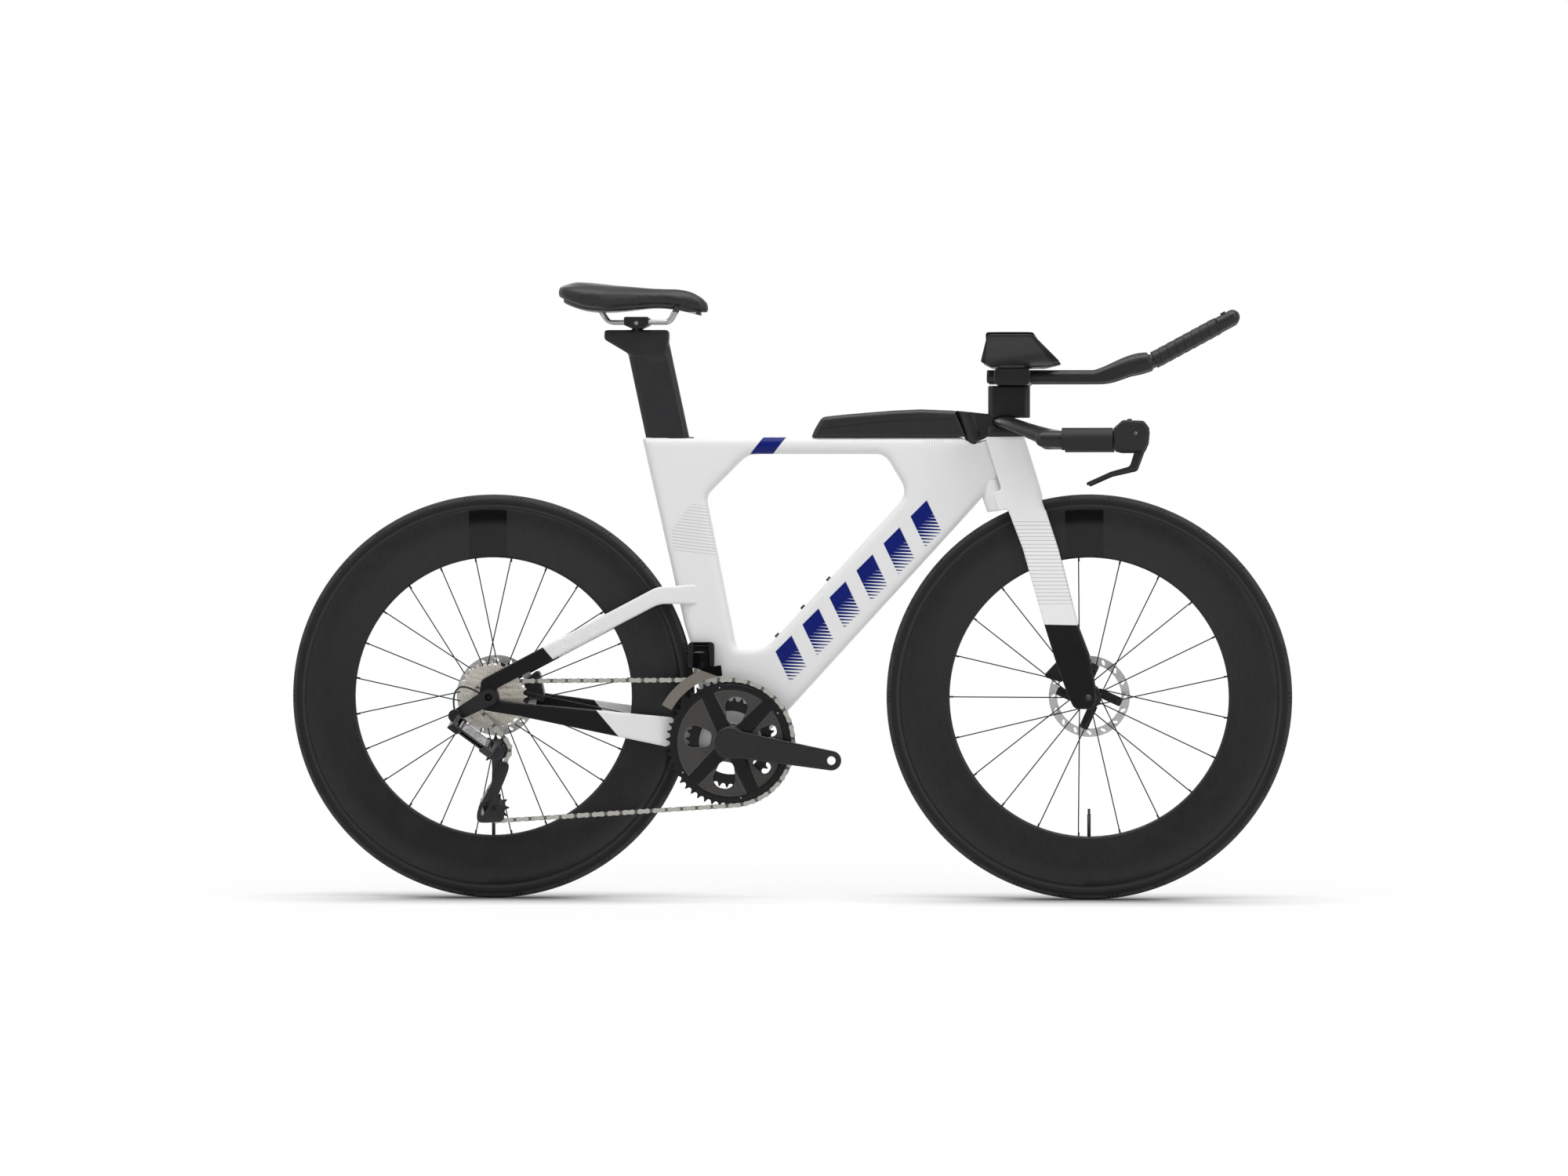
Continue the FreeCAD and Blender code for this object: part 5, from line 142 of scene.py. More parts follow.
def alongAxis(finish, direction, start):  # metres past a plane through start, square to direction
    away = addNode(finish, "ShaderNodeVectorMath", operation="SUBTRACT")
    join(finish, objectPlace(finish), away.inputs[0])
    away.inputs[1].default_value = start
    dot = addNode(finish, "ShaderNodeVectorMath", operation="DOT_PRODUCT")
    join(finish, away.outputs[0], dot.inputs[0])
    dot.inputs[1].default_value = Vector(direction).normalized()
    return dot.outputs["Value"]


def offCentre(finish):  # metres from the bike's centre plane
    place = addNode(finish, "ShaderNodeSeparateXYZ")
    join(finish, objectPlace(finish), place.inputs[0])
    return mathStep(finish, "ABSOLUTE", place.outputs["Y"])


edgeSoft = 0.0006  # half the width of a painted edge


def beyond(finish, value, edge, soft=edgeSoft):  # mask, 0 below the edge and 1 above it
    return remap(finish, value, edge - soft, edge + soft)


def shortOf(finish, value, edge, soft=edgeSoft):
    return mathStep(finish, "SUBTRACT", 1.0, beyond(finish, value, edge, soft))


def both(finish, *masks):
    total = masks[0]
    for mask in masks[1:]:
        total = mathStep(finish, "MULTIPLY", total, mask)
    return total


def between(finish, value, low, high):
    return both(finish, beyond(finish, value, low), shortOf(finish, value, high))


def past(finish, direction, start):  # mask of what lies past a plane
    return beyond(finish, alongAxis(finish, direction, start), 0.0)


def noiseOf(finish, scale, detail=3.0, stretch=None):
    place = objectPlace(finish)
    if stretch:
        mapping = addNode(finish, "ShaderNodeMapping")
        mapping.inputs["Scale"].default_value = stretch
        join(finish, place, mapping.inputs["Vector"])
        place = mapping.outputs[0]
    noise = addNode(finish, "ShaderNodeTexNoise")
    noise.inputs["Scale"].default_value = scale
    noise.inputs["Detail"].default_value = detail
    join(finish, place, noise.inputs["Vector"])
    return noise.outputs["Fac"]


noiseSpan = (0.3, 0.7)  # most of the noise lies in here


def spread(finish, noise, low, high):
    return remap(finish, noise, *noiseSpan, low, high)


def colourOf(finish):
    return shaderOf(finish).inputs["Base Color"].links[0].from_socket


def setColour(finish, output):
    join(finish, output, shaderOf(finish).inputs["Base Color"])


def setRoughness(finish, output):
    join(finish, output, shaderOf(finish).inputs["Roughness"])


def addBump(finish, height, distance):
    bump = addNode(finish, "ShaderNodeBump")
    bump.inputs["Strength"].default_value = 1.0
    bump.inputs["Distance"].default_value = distance
    join(finish, height, bump.inputs["Height"])
    join(finish, bump.outputs[0], shaderOf(finish).inputs["Normal"])


paintLook = {
    "white": (0.76, 0.76, 0.76), "shade": (0.72, 0.72, 0.725), "black": (0.004, 0.004, 0.0043),
    "blue": (0.001, 0.008, 0.14), "line": (0.42, 0.42, 0.43),
    "rough": 0.36, "blackRough": 0.5, "specular": 0.2, "flakes": 900.0, "forkLift": 1.13,
}


def pearlBase(name, lift=1.0):
    finish = newFinish(name, paintLook["white"], paintLook["rough"], specular=paintLook["specular"])
    flakes = noiseOf(finish, paintLook["flakes"], 2.0)
    white = tuple(part * lift for part in paintLook["white"])
    shade = tuple(part * lift for part in paintLook["shade"])
    return finish, mixColour(finish, flakes, white, shade)


lineSoft = 0.03  # softness of a printed line's edge, as a share of the pitch


def stripes(finish, direction, start, length, pitch, share, side):  # mask of thin printed lines on the flanks
    run = alongAxis(finish, direction, start)
    phase = mathStep(finish, "FRACT", mathStep(finish, "DIVIDE", run, pitch))
    line = shortOf(finish, phase, share, lineSoft)
    inside = between(finish, run, 0.0, length)
    return both(finish, line, inside, beyond(finish, offCentre(finish), side))


frameMarks = {  # in metres, with an edge given by the way it faces and a place on it
    "lines": {"direction": (0.12, 0, 1), "start": (-0.13, 0, 0.577), "length": 0.08, "pitch": 0.0053,
              "share": 0.16, "side": 0.012},
    "lineEdges": [((-1, 0, -0.2), (-0.098, 0, 0.616)), ((0.0383, 0, -0.0284), (-0.1698, 0, 0.6572)),
                  ((1, 0, 0.1), (-0.197, 0, 0.6))],
    "ticks": {"direction": (1, 0, 0), "start": (0.224, 0, 0), "length": 0.036, "pitch": 0.0045,
              "share": 0.2, "side": 0.006},
    "tickRow": (0.7635, 0.7685),
    "band": {"slant": (1, 0, -0.79), "start": (-0.067, 0, 0.7455), "width": 0.0385, "foot": 0.7452},
}


def framePaint():
    finish, base = pearlBase("pearlFrame")
    height = alongAxis(finish, (0, 0, 1), (0, 0, 0))
    edges = [past(finish, *edge) for edge in frameMarks["lineEdges"]]
    lines = both(finish, stripes(finish, **frameMarks["lines"]), *edges)
    base = mixColour(finish, lines, base, paintLook["line"])
    tickRow = between(finish, height, *frameMarks["tickRow"])
    ticks = both(finish, stripes(finish, **frameMarks["ticks"]), tickRow)
    base = mixColour(finish, ticks, base, paintLook["line"])
    base = mixColour(finish, slantBars(finish), base, paintLook["blue"])
    band = frameMarks["band"]
    run = alongAxis(finish, band["slant"], band["start"])
    across = between(finish, run, 0.0, band["width"] / Vector(band["slant"]).length)
    raised = beyond(finish, height, band["foot"])
    setColour(finish, mixColour(finish, both(finish, across, raised), base, paintLook["blue"]))
    return finish


barLook = {
    "start": (-0.012, 0, 0.389), "length": 0.36, "half": 0.027, "pitch": 0.064, "share": 0.6, "shear": -0.35,
    "line": 0.0052, "faint": 0.25, "solid": 0.0054, "side": 0.006, "edge": 0.01,
}


def slantBars(finish):  # row of slanted blue bars along the down tube, fading to lines below
    along = alongAxis(finish, (1, 0, 1), barLook["start"])
    across = alongAxis(finish, (-1, 0, 1), barLook["start"])
    sheared = mathStep(finish, "ADD", along, mathStep(finish, "MULTIPLY", across, barLook["shear"]))
    phase = mathStep(finish, "FRACT", mathStep(finish, "DIVIDE", sheared, barLook["pitch"]))
    bars = shortOf(finish, phase, barLook["share"], barLook["edge"])
    length = between(finish, sheared, 0.0, barLook["length"])
    width = shortOf(finish, mathStep(finish, "ABSOLUTE", across), barLook["half"])
    rise = alongAxis(finish, (0, 0, 1), barLook["start"])
    stripe = mathStep(finish, "FRACT", mathStep(finish, "DIVIDE", rise, barLook["line"]))
    ink = remap(finish, across, -barLook["half"], barLook["solid"], barLook["faint"])
    printed = mathStep(finish, "LESS_THAN", stripe, ink)
    flank = beyond(finish, offCentre(finish), barLook["side"])
    return both(finish, bars, length, width, printed, flank)


def blackPart(finish, mask, base):  # bare black part of a painted piece, duller than the paint
    setColour(finish, mixColour(finish, mask, base, paintLook["black"]))
    setRoughness(finish, remap(finish, mask, 0.0, 1.0, paintLook["rough"], paintLook["blackRough"]))


stayMarks = {"upper": ((-1, 0, -1), (-0.402, 0, 0.425)), "lower": ((-37, 0, -31), (-0.3157, 0, 0.3093))}


def stayPaint():
    finish, base = pearlBase("pearlStays")
    ends = both(finish, past(finish, *stayMarks["upper"]), past(finish, *stayMarks["lower"]))
    blackPart(finish, ends, base)
    return finish


forkMarks = {
    "lines": {"direction": (0, 0, 1), "start": (0.45, 0, 0.495), "length": 0.141, "pitch": 0.0062,
              "share": 0.14, "side": 0.01},
    "foot": ((-0.02, 0, -1), (0.45, 0, 0.4605)),
}


def forkPaint():
    # painted light: the fork's white is lifted above the frame's, so the same paint shows brighter on the fork
    finish, base = pearlBase("pearlFork", paintLook["forkLift"])
    base = mixColour(finish, stripes(finish, **forkMarks["lines"]), base, paintLook["line"])
    blackPart(finish, past(finish, *forkMarks["foot"]), base)
    return finish


def satinBlack(name, colour=(0.012, 0.012, 0.013), rough=0.4):
    finish = newFinish(name, colour, rough, specular=0.36)
    cloud = noiseOf(finish, 60.0, 4.0)
    setRoughness(finish, spread(finish, cloud, rough - 0.06, rough + 0.08))
    addBump(finish, noiseOf(finish, 1400.0, 2.0), 0.00004)
    return finish


rimLook = {
    "dark": (0.0105, 0.0105, 0.011), "pale": (0.0145, 0.0145, 0.015), "rough": (0.34, 0.42),
    "patch": (0.002, 0.002, 0.0022), "patchRough": 0.22, "patchHalf": 0.032, "patchBehind": 0.008,
}


def rimCarbon(name, axle):  # matt rim with a glossy patch at its top
    finish = newFinish(name, rimLook["dark"], 0.5, specular=0.32)
    weave = noiseOf(finish, 260.0, 5.0, (1.0, 1.0, 0.25))
    base = mixColour(finish, spread(finish, weave, 0.0, 1.0), rimLook["dark"], rimLook["pale"])
    onward = alongAxis(finish, (1, 0, 0), (axle.x - rimLook["patchBehind"], 0, 0))
    near = shortOf(finish, mathStep(finish, "ABSOLUTE", onward), rimLook["patchHalf"])
    patch = both(finish, near, past(finish, (0, 0, 1), axle))
    setColour(finish, mixColour(finish, patch, base, rimLook["patch"]))
    matt = spread(finish, noiseOf(finish, 40.0), *rimLook["rough"])
    setRoughness(finish, mixValue(finish, patch, matt, rimLook["patchRough"]))
    addBump(finish, weave, 0.00006)
    return finish


tyreLook = {"wall": (0.008, 0.008, 0.0085), "tread": (0.03, 0.03, 0.031), "treadHalf": 0.0122, "edge": 0.0008}


def tyreRubber(name):
    finish = newFinish(name, tyreLook["wall"], 0.75, specular=0.3)
    tread = shortOf(finish, offCentre(finish), tyreLook["treadHalf"], tyreLook["edge"])
    grain = noiseOf(finish, 700.0, 3.0)
    setColour(finish, mixColour(finish, tread, tyreLook["wall"], tyreLook["tread"]))
    setRoughness(finish, spread(finish, grain, 0.62, 0.85))
    addBump(finish, grain, 0.0001)
    return finish


def steel(name, colour, rough, metallic=1.0):
    finish = newFinish(name, colour, rough, metallic)
    brush = noiseOf(finish, 220.0)
    setRoughness(finish, spread(finish, brush, rough - 0.08, rough + 0.12))
    darker = tuple(part * 0.88 for part in colour)
    setColour(finish, mixColour(finish, noiseOf(finish, 45.0), darker, colour))
    return finish


def grainy(name, colour, rough, scale, depth, lift=1.6, specular=0.35):  # rubber, felt and hide
    finish = newFinish(name, colour, rough, specular=specular)
    grain = noiseOf(finish, scale, 4.0)
    bright = tuple(part * lift for part in colour)
    setColour(finish, mixColour(finish, spread(finish, grain, 0.0, 1.0), colour, bright))
    setRoughness(finish, spread(finish, grain, rough - 0.08, rough + 0.08))
    addBump(finish, grain, depth)
    return finish


lidLook = {
    "colour": (0.017, 0.0175, 0.0185), "groove": (0.004, 0.004, 0.004), "half": 0.0006, "edge": 0.0003,
    "creases": [((0.0513, 0.7875), (0.1555, 0.7997)), ((0.1555, 0.7997), (0.2751, 0.8045))],
}


def boxLid():  # satin lid with a line of painted shade along each flank, where a moulded crease runs
    finish = satinBlack("storageLid", lidLook["colour"], 0.38)
    parts = []
    for start, end in lidLook["creases"]:
        length, rise = end[0] - start[0], end[1] - start[1]
        away = alongAxis(finish, (-rise, 0, length), (start[0], 0, start[1]))
        near = shortOf(finish, mathStep(finish, "ABSOLUTE", away), lidLook["half"], lidLook["edge"])
        onward = alongAxis(finish, (1, 0, 0), (start[0], 0, 0))
        parts.append(both(finish, near, between(finish, onward, 0.0, length)))
    paintedCreaseShade = mathStep(finish, "MAXIMUM", *parts)
    # painted shade: the colour is darkened along the creases
    setColour(finish, mixColour(finish, paintedCreaseShade, lidLook["colour"], lidLook["groove"]))
    return finish


cupLook = {
    "rear": ((49, 0, -7), (0.324, 0, 0.893)), "slope": ((-53, 0, -43), (0.408, 0, 0.942)), "top": 0.9388,
    "trim": 0.0045, "dark": (0.004, 0.004, 0.0042), "panel": (0.029, 0.0295, 0.031),
}


def cupPanel():  # satin cup with a dark trim along its top, rear and front edges
    finish = satinBlack("cupCarbon", rough=0.36)
    rear = beyond(finish, alongAxis(finish, *cupLook["rear"]), cupLook["trim"])
    slope = beyond(finish, alongAxis(finish, *cupLook["slope"]), cupLook["trim"])
    below = past(finish, (0, 0, -1), (0, 0, cupLook["top"]))
    panel = both(finish, rear, slope, below)
    setColour(finish, mixColour(finish, panel, cupLook["dark"], cupLook["panel"]))
    return finish


crankLook = {  # the rim and the dish lie between these distances from the centre plane
    "arm": (0.024, 0.0245, 0.0255), "rim": (0.047, 0.0538), "rimColour": (0.006, 0.006, 0.0064),
    "dish": (0.0484, 0.0512), "dishColour": (0.062, 0.059, 0.056),
}


def crankMetal():  # grey arms, a paler dish behind them and a black rim
    finish = steel("crankGrey", crankLook["arm"], 0.32, 0.45)
    rightward = alongAxis(finish, (0, -1, 0), (0, 0, 0))
    rim = between(finish, rightward, *crankLook["rim"])
    dish = between(finish, rightward, *crankLook["dish"])
    toned = mixColour(finish, rim, colourOf(finish), crankLook["rimColour"])
    setColour(finish, mixColour(finish, dish, toned, crankLook["dishColour"]))
    return finish


swingLook = {
    "edge": ((0.35, 0, 1), (-0.13, 0, 0.378)), "cage": (0.33, 0.305, 0.265), "arm": (0.008, 0.008, 0.009),
}


def cageMetal():  # bright cage below, black swing arm above
    finish = steel("frontCage", swingLook["cage"], 0.3)
    above = past(finish, *swingLook["edge"])
    setColour(finish, mixColour(finish, above, colourOf(finish), swingLook["arm"]))
    return finish


railLook = {
    "top": 0.9832, "rear": -0.345, "length": 0.187,
    "rail": (0.45, 0.45, 0.46), "hull": (0.008, 0.008, 0.0085),
}


def saddleShell():  # black hull with bright rails below it
    finish = steel("saddleRails", railLook["rail"], 0.28)
    below = past(finish, (0, 0, -1), (0, 0, railLook["top"]))
    onward = alongAxis(finish, (1, 0, 0), (railLook["rear"], 0, 0))
    rails = both(finish, below, between(finish, onward, 0.0, railLook["length"]))
    setColour(finish, mixColour(finish, rails, railLook["hull"], colourOf(finish)))
    join(finish, rails, shaderOf(finish).inputs["Metallic"])
    return finish


finishes = {
    "frame": framePaint(),
    "stays": stayPaint(),
    "fork": forkPaint(),
    "satin": satinBlack("satinCarbon"),
    "cup": cupPanel(),
    "post": satinBlack("satinPost", (0.015, 0.0155, 0.017), 0.42),
    "box": boxLid(),
    "frontRim": rimCarbon("frontRimCarbon", frontAxle),
    "rearRim": rimCarbon("rearRimCarbon", rearAxle),
    "frontTyre": tyreRubber("frontTread"),
    "rearTyre": tyreRubber("rearTread"),
    "tread": grainy("treadMark", (0.006, 0.006, 0.0062), 0.7, 900.0, 0.00008),
    "chain": steel("chainSteel", (0.6, 0.58, 0.545), 0.3, 0.75),
    "chainInner": steel("chainInnerSteel", (0.17, 0.163, 0.15), 0.35, 0.8),
    "cassette": steel("sprocketSteel", (0.8, 0.765, 0.69), 0.3, 0.6),
    "rotor": steel("rotorSteel", (0.78, 0.78, 0.78), 0.3),
    "blackSteel": steel("spokeBlack", (0.008, 0.008, 0.0085), 0.35, 0.4),
    "rail": saddleShell(),
    "linkGloss": steel("linkGloss", (0.13, 0.127, 0.132), 0.16, 0.9),
    "plate": steel("plateGrey", (0.085, 0.086, 0.092), 0.28, 0.15),
    "knuckle": steel("knuckleGrey", (0.035, 0.036, 0.039), 0.3, 0.5),
    "crank": crankMetal(),
    "ring": steel("ringBlack", (0.009, 0.009, 0.0095), 0.3, 0.4),
    "caliper": steel("caliperBlack", (0.012, 0.012, 0.0125), 0.4, 0.3),
    "mech": steel("derailleurGloss", (0.009, 0.009, 0.011), 0.2, 0.3),
    "silver": steel("boltSilver", (0.7, 0.7, 0.7), 0.25),
    "cage": cageMetal(),
    "rubber": grainy("gripRubber", (0.009, 0.009, 0.0095), 0.6, 800.0, 0.00012),
    "tape": grainy("barTape", (0.0125, 0.0125, 0.013), 0.48, 900.0, 0.00003, 1.15),
    "felt": grainy("padFelt", (0.003, 0.003, 0.0032), 0.95, 600.0, 0.0003, specular=0.1),
    "hide": grainy("saddleHide", (0.012, 0.012, 0.0125), 0.45, 420.0, 0.00012),
    "plastic": grainy("mouldedPlastic", (0.009, 0.009, 0.0095), 0.45, 900.0, 0.00006),
}
print("finishes made:", len(finishes))


nodeFinish = {
    "frame": ["main_frame"], "stays": ["rear_stays"], "fork": ["fork"],
    "satin": ["base_bar", "stem_cover", "riser_spacers", "extension_bridge", "extension_left",
              "extension_right", "brake_lever_left", "brake_lever_right", "seatpost_wedge"],
    "cup": ["arm_cups"], "box": ["storage_box"],
    "frontRim": ["front_rim"], "rearRim": ["rear_rim"],
    "frontTyre": ["front_tyre"], "rearTyre": ["rear_tyre"],
    "chain": ["chain"], "cassette": ["cassette"], "rotor": ["front_rotor", "rear_rotor"],
    "blackSteel": ["front_spokes", "rear_spokes", "steerer"],
    "knuckle": ["rd_knuckle", "bottle_bolts", "front_axle", "rear_axle"],
    "cage": ["front_derailleur_cage"],
    "crank": ["crank_arm_right", "crank_arm_left"], "ring": ["chainrings", "bottom_bracket"],
    "caliper": ["front_caliper", "rear_caliper", "front_hub", "rear_hub", "derailleur_hanger",
                "saddle_clamp"],
    "mech": ["rd_base", "rd_inner_link", "front_derailleur_body"], "post": ["seatpost", "rd_cage"],
    "linkGloss": ["rd_outer_link"],
    "rubber": ["bar_grips", "lever_housings", "hood_button_left", "hood_button_right",
               "shift_button_left", "shift_button_right"],
    "plastic": ["guide_pulley", "tension_pulley"],
    "rail": ["saddle_base"],
}


def meshCopy(nodeName, merge=1e-6):
    mesh = cadNodes[nodeName].data.copy()
    work = bmesh.new()
    work.from_mesh(mesh)
    bmesh.ops.remove_doubles(work, verts=work.verts, dist=merge)
    work.to_mesh(mesh)
    work.free()
    return mesh


def addPiece(name, mesh, finish):
    piece = bpy.data.objects.new(name, mesh)
    bpy.context.scene.collection.objects.link(piece)
    mesh.materials.clear()
    mesh.materials.append(finish)
    return piece


def smoothFaces(mesh, degrees=32.0):
    mesh.shade_smooth()
    mesh.set_sharp_from_angle(angle=math.radians(degrees))


def camelName(nodeName):
    words = nodeName.split("_")
    return words[0] + "".join(word.capitalize() for word in words[1:])


def applyAll(piece):
    bpy.context.view_layer.update()
    graph = bpy.context.evaluated_depsgraph_get()
    mesh = bpy.data.meshes.new_from_object(piece.evaluated_get(graph))
    old = piece.data
    piece.modifiers.clear()
    piece.data = mesh
    bpy.data.meshes.remove(old)


softened = {  # voxel in mm and smoothing rounds of the moulded pieces
    "main_frame": (2.6, 14), "rear_stays": (1.8, 14), "fork": (2.0, 10), "seatpost": (1.8, 16),
    "storage_box": (1.6, 6), "base_bar": (1.7, 36), "stem_cover": (1.3, 8), "riser_spacers": (1.3, 4),
    "extension_bridge": (1.4, 4), "arm_cups": (1.3, 8), "extension_left": (1.3, 6),
    "extension_right": (1.3, 6), "lever_housings": (1.2, 16), "brake_lever_left": (1.0, 10),
    "brake_lever_right": (1.0, 10), "crank_arm_right": (1.1, 7), "crank_arm_left": (1.1, 7),
    "saddle_clamp": (1.0, 4), "rd_base": (0.8, 6), "rd_outer_link": (0.7, 5), "rd_knuckle": (0.8, 6),
    "front_derailleur_body": (0.8, 5), "front_caliper": (0.9, 6), "rear_caliper": (0.9, 6),
}


def evenMesh(piece, voxel):
    remesh = piece.modifiers.new("even", "REMESH")
    remesh.mode = "VOXEL"
    remesh.voxel_size = voxel


def soften(piece, voxel, rounds):
    evenMesh(piece, voxel * mm)
    smooth = piece.modifiers.new("ease", "SMOOTH")
    smooth.factor = 0.5
    smooth.iterations = rounds
    applyAll(piece)
    piece.data.shade_smooth()


dressed = {}
for finishName, names in nodeFinish.items():
    for nodeName in names:
        mesh = meshCopy(nodeName)
        smoothFaces(mesh)
        piece = addPiece(camelName(nodeName) + "Skin", mesh, finishes[finishName])
        if nodeName in softened:
            soften(piece, *softened[nodeName])
        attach(piece, bodyOf[nodeName])
        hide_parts(nodeName)
        dressed[nodeName] = piece
print("dressed nodes:", len(dressed))


def looseSolids(mesh):  # lists of face indices, one per solid of a node
    work = bmesh.new()
    work.from_mesh(mesh)
    work.faces.ensure_lookup_table()
    seenFaces = set()
    solids = []
    for face in work.faces:
        if face.index in seenFaces:
            continue
        seenFaces.add(face.index)
        front = [face]
        solid = []
        while front:
            current = front.pop()
            solid.append(current.index)
            for corner in current.verts:
                for near in corner.link_faces:
                    if near.index not in seenFaces:
                        seenFaces.add(near.index)
                        front.append(near)
        solids.append(solid)
    work.free()
    return solids


def secondFinish(piece, finish, chosen):  # gives the solids that are chosen by their size a finish of their own
    mesh = piece.data
    mesh.materials.append(finish)
    for solid in looseSolids(mesh):
        corners = [mesh.vertices[index].co for face in solid for index in mesh.polygons[face].vertices]
        spans = [max(column) - min(column) for column in zip(*corners)]
        if chosen(spans):
            for face in solid:
                mesh.polygons[face].material_index = 1


innerWidth = 4.3 * mm  # inner links are narrower than this, outer ones wider
secondFinish(dressed["chain"], finishes["chainInner"], lambda spans: spans[1] < innerWidth)
for corner in dressed["seatpost_wedge"].data.vertices:
    corner.co.z = min(corner.co.z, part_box("main_frame")[1][2])  # drawn flush with the frame's top
carrierSpan = 0.13  # the rotors' carriers and lockrings are smaller than this, their braking rings larger
for nodeName in ("front_rotor", "rear_rotor"):
    secondFinish(dressed[nodeName], finishes["caliper"], lambda spans: spans[0] < carrierSpan)
print("second finishes given")

# the seat stays run out into the seat tube: half their width at their ends, and as drawn
fadeLook = {"start": -0.2, "end": -0.146, "above": 0.47, "flush": 0.0192, "wide": 0.0345}
for corner in dressed["rear_stays"].data.vertices:
    if corner.co.z > fadeLook["above"] and corner.co.x > fadeLook["start"]:
        share = min((corner.co.x - fadeLook["start"]) / (fadeLook["end"] - fadeLook["start"]), 1.0)
        ease = share * share * (3 - 2 * share)
        corner.co.y *= 1 - ease * (1 - fadeLook["flush"] / fadeLook["wide"])
print("stays blended")


def platePiece(name, look, finish, lying=False):  # bevelled plate, upright along X or lying flat
    curve = bpy.data.curves.new(name, "CURVE")
    curve.dimensions = "2D"
    curve.fill_mode = "BOTH"
    for outline in look["outlines"]:
        spline = curve.splines.new("NURBS")
        spline.points.add(len(outline) - 1)
        for point, place in zip(spline.points, outline):
            point.co = (place[0] * mm, place[1] * mm, 0.0, 1.0)
        spline.order_u = 3
        spline.use_cyclic_u = True
        spline.resolution_u = 5
    curve.extrude = (look["thick"] / 2 - look["edge"]) * mm
    curve.bevel_depth = look["edge"] * mm
    curve.bevel_resolution = 1
    flat = bpy.data.objects.new(name + "Flat", curve)
    bpy.context.scene.collection.objects.link(flat)
    bpy.context.view_layer.update()
    mesh = bpy.data.meshes.new_from_object(flat.evaluated_get(bpy.context.evaluated_depsgraph_get()))
    for corner in mesh.vertices:
        if lying:
            corner.co.z += look["middle"] * mm
        else:
            corner.co = Vector((corner.co.x, look["middle"] * mm - corner.co.z, corner.co.y))
    bpy.data.objects.remove(flat)
    work = bmesh.new()
    work.from_mesh(mesh)
    bmesh.ops.remove_doubles(work, verts=work.verts, dist=1e-6)
    bmesh.ops.recalc_face_normals(work, faces=work.faces)
    work.to_mesh(mesh)
    work.free()
    smoothFaces(mesh, 40.0)
    return addPiece(name, mesh, finish)


def studMesh(name, middle, radius, depth, axis, sides=12, taper=0.85):
    work = bmesh.new()
    turn = Vector((0, 0, 1)).rotation_difference(Vector(axis)).to_matrix().to_4x4()
    made = bmesh.ops.create_cone(
        work, cap_ends=True, segments=sides, radius1=radius, radius2=radius * taper, depth=depth, matrix=turn
    )["verts"]
    bmesh.ops.translate(work, vec=middle, verts=made)
    mesh = bpy.data.meshes.new(name)
    work.to_mesh(mesh)
    work.free()
    return mesh


sealLook = {"height": 0.6955, "radius": 0.0195, "depth": 0.036, "sides": 48}  # round the steerer
steeringJoint = next(joint for joint in frame["record"]["behaviour"]["joints"] if joint["name"] == "steering")
steerFoot = Vector(steeringJoint["pos_m"])
steerUp = Vector(steeringJoint["axis"]).normalized()
sealMiddle = steerFoot + steerUp * ((sealLook["height"] - steerFoot.z) / steerUp.z)
sealMesh = studMesh(
    "crownSeal", sealMiddle, sealLook["radius"], sealLook["depth"], steerUp, sealLook["sides"], taper=1.0
)
crownSeal = addPiece("crownSeal", sealMesh, finishes["fork"])
smoothFaces(crownSeal.data)
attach(crownSeal, bodyOf["steerer"])
print("crown seal made")

cageLook = {  # cover plate of the rear derailleur's cage and its window, X and Z in mm
    "outlines": [
        [(-470, 231), (-467, 222), (-474, 203), (-484, 180), (-487, 167), (-480, 151), (-475, 140), (-478, 131),
         (-515, 128.5), (-521.5, 133), (-520.5, 150), (-511, 167), (-500, 187), (-491, 207), (-486, 228)],
        [(-498, 172), (-494, 166), (-508, 146), (-513, 138), (-516, 143), (-514, 152), (-507, 164)],
    ],
    "middle": -67.0, "thick": 1.2, "edge": 0.4,
}
cageCover = platePiece("cageCover", cageLook, finishes["post"])
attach(cageCover, bodyOf["rd_cage"])
linkLook = {  # grey link plate on the front derailleur's body, X and Z in mm
    "outlines": [[(-162, 415), (-140, 415), (-136.5, 401), (-146, 390.5), (-155, 391), (-157, 404)]],
    "middle": -35.4, "thick": 1.4, "edge": 0.5,
}
frontLink = platePiece("frontLinkPlate", linkLook, finishes["plate"])
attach(frontLink, bodyOf["front_derailleur_body"])
fairingLook = {  # filler between the stem and the fork's top, X and Y in mm
    "outlines": [[(328, -17), (345, -19.5), (372, -20.5), (392, -14), (394, 0), (392, 14), (372, 20.5),
                  (345, 19.5), (328, 17)]],
    "middle": 782.3, "thick": 16.4, "edge": 2.5,
}
stemFairing = platePiece("stemFairing", fairingLook, finishes["satin"], lying=True)
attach(stemFairing, bodyOf["stem_cover"])
print("plates and fairing made")


def newTree(name, sockets):
    tree = bpy.data.node_groups.new(name, "GeometryNodeTree")
    tree.interface.new_socket("Geometry", in_out="INPUT", socket_type="NodeSocketGeometry")
    for socketName, kind in sockets:
        tree.interface.new_socket(socketName, in_out="INPUT", socket_type="NodeSocket" + kind)
    tree.interface.new_socket("Geometry", in_out="OUTPUT", socket_type="NodeSocketGeometry")
    return tree, tree.nodes.new("NodeGroupInput"), tree.nodes.new("NodeGroupOutput")


def treeNode(tree, kind, **settings):
    node = tree.nodes.new("GeometryNode" + kind if not kind.startswith("ShaderNode") else kind)
    for key, value in settings.items():
        setattr(node, key, value)
    return node


def finishTree(tree, geometry, material, output):
    link = tree.links.new
    realize = treeNode(tree, "RealizeInstances")
    paint = treeNode(tree, "SetMaterial")
    link(geometry, realize.inputs[0])
    link(realize.outputs[0], paint.inputs["Geometry"])
    link(material, paint.inputs["Material"])
    link(paint.outputs[0], output.inputs[0])


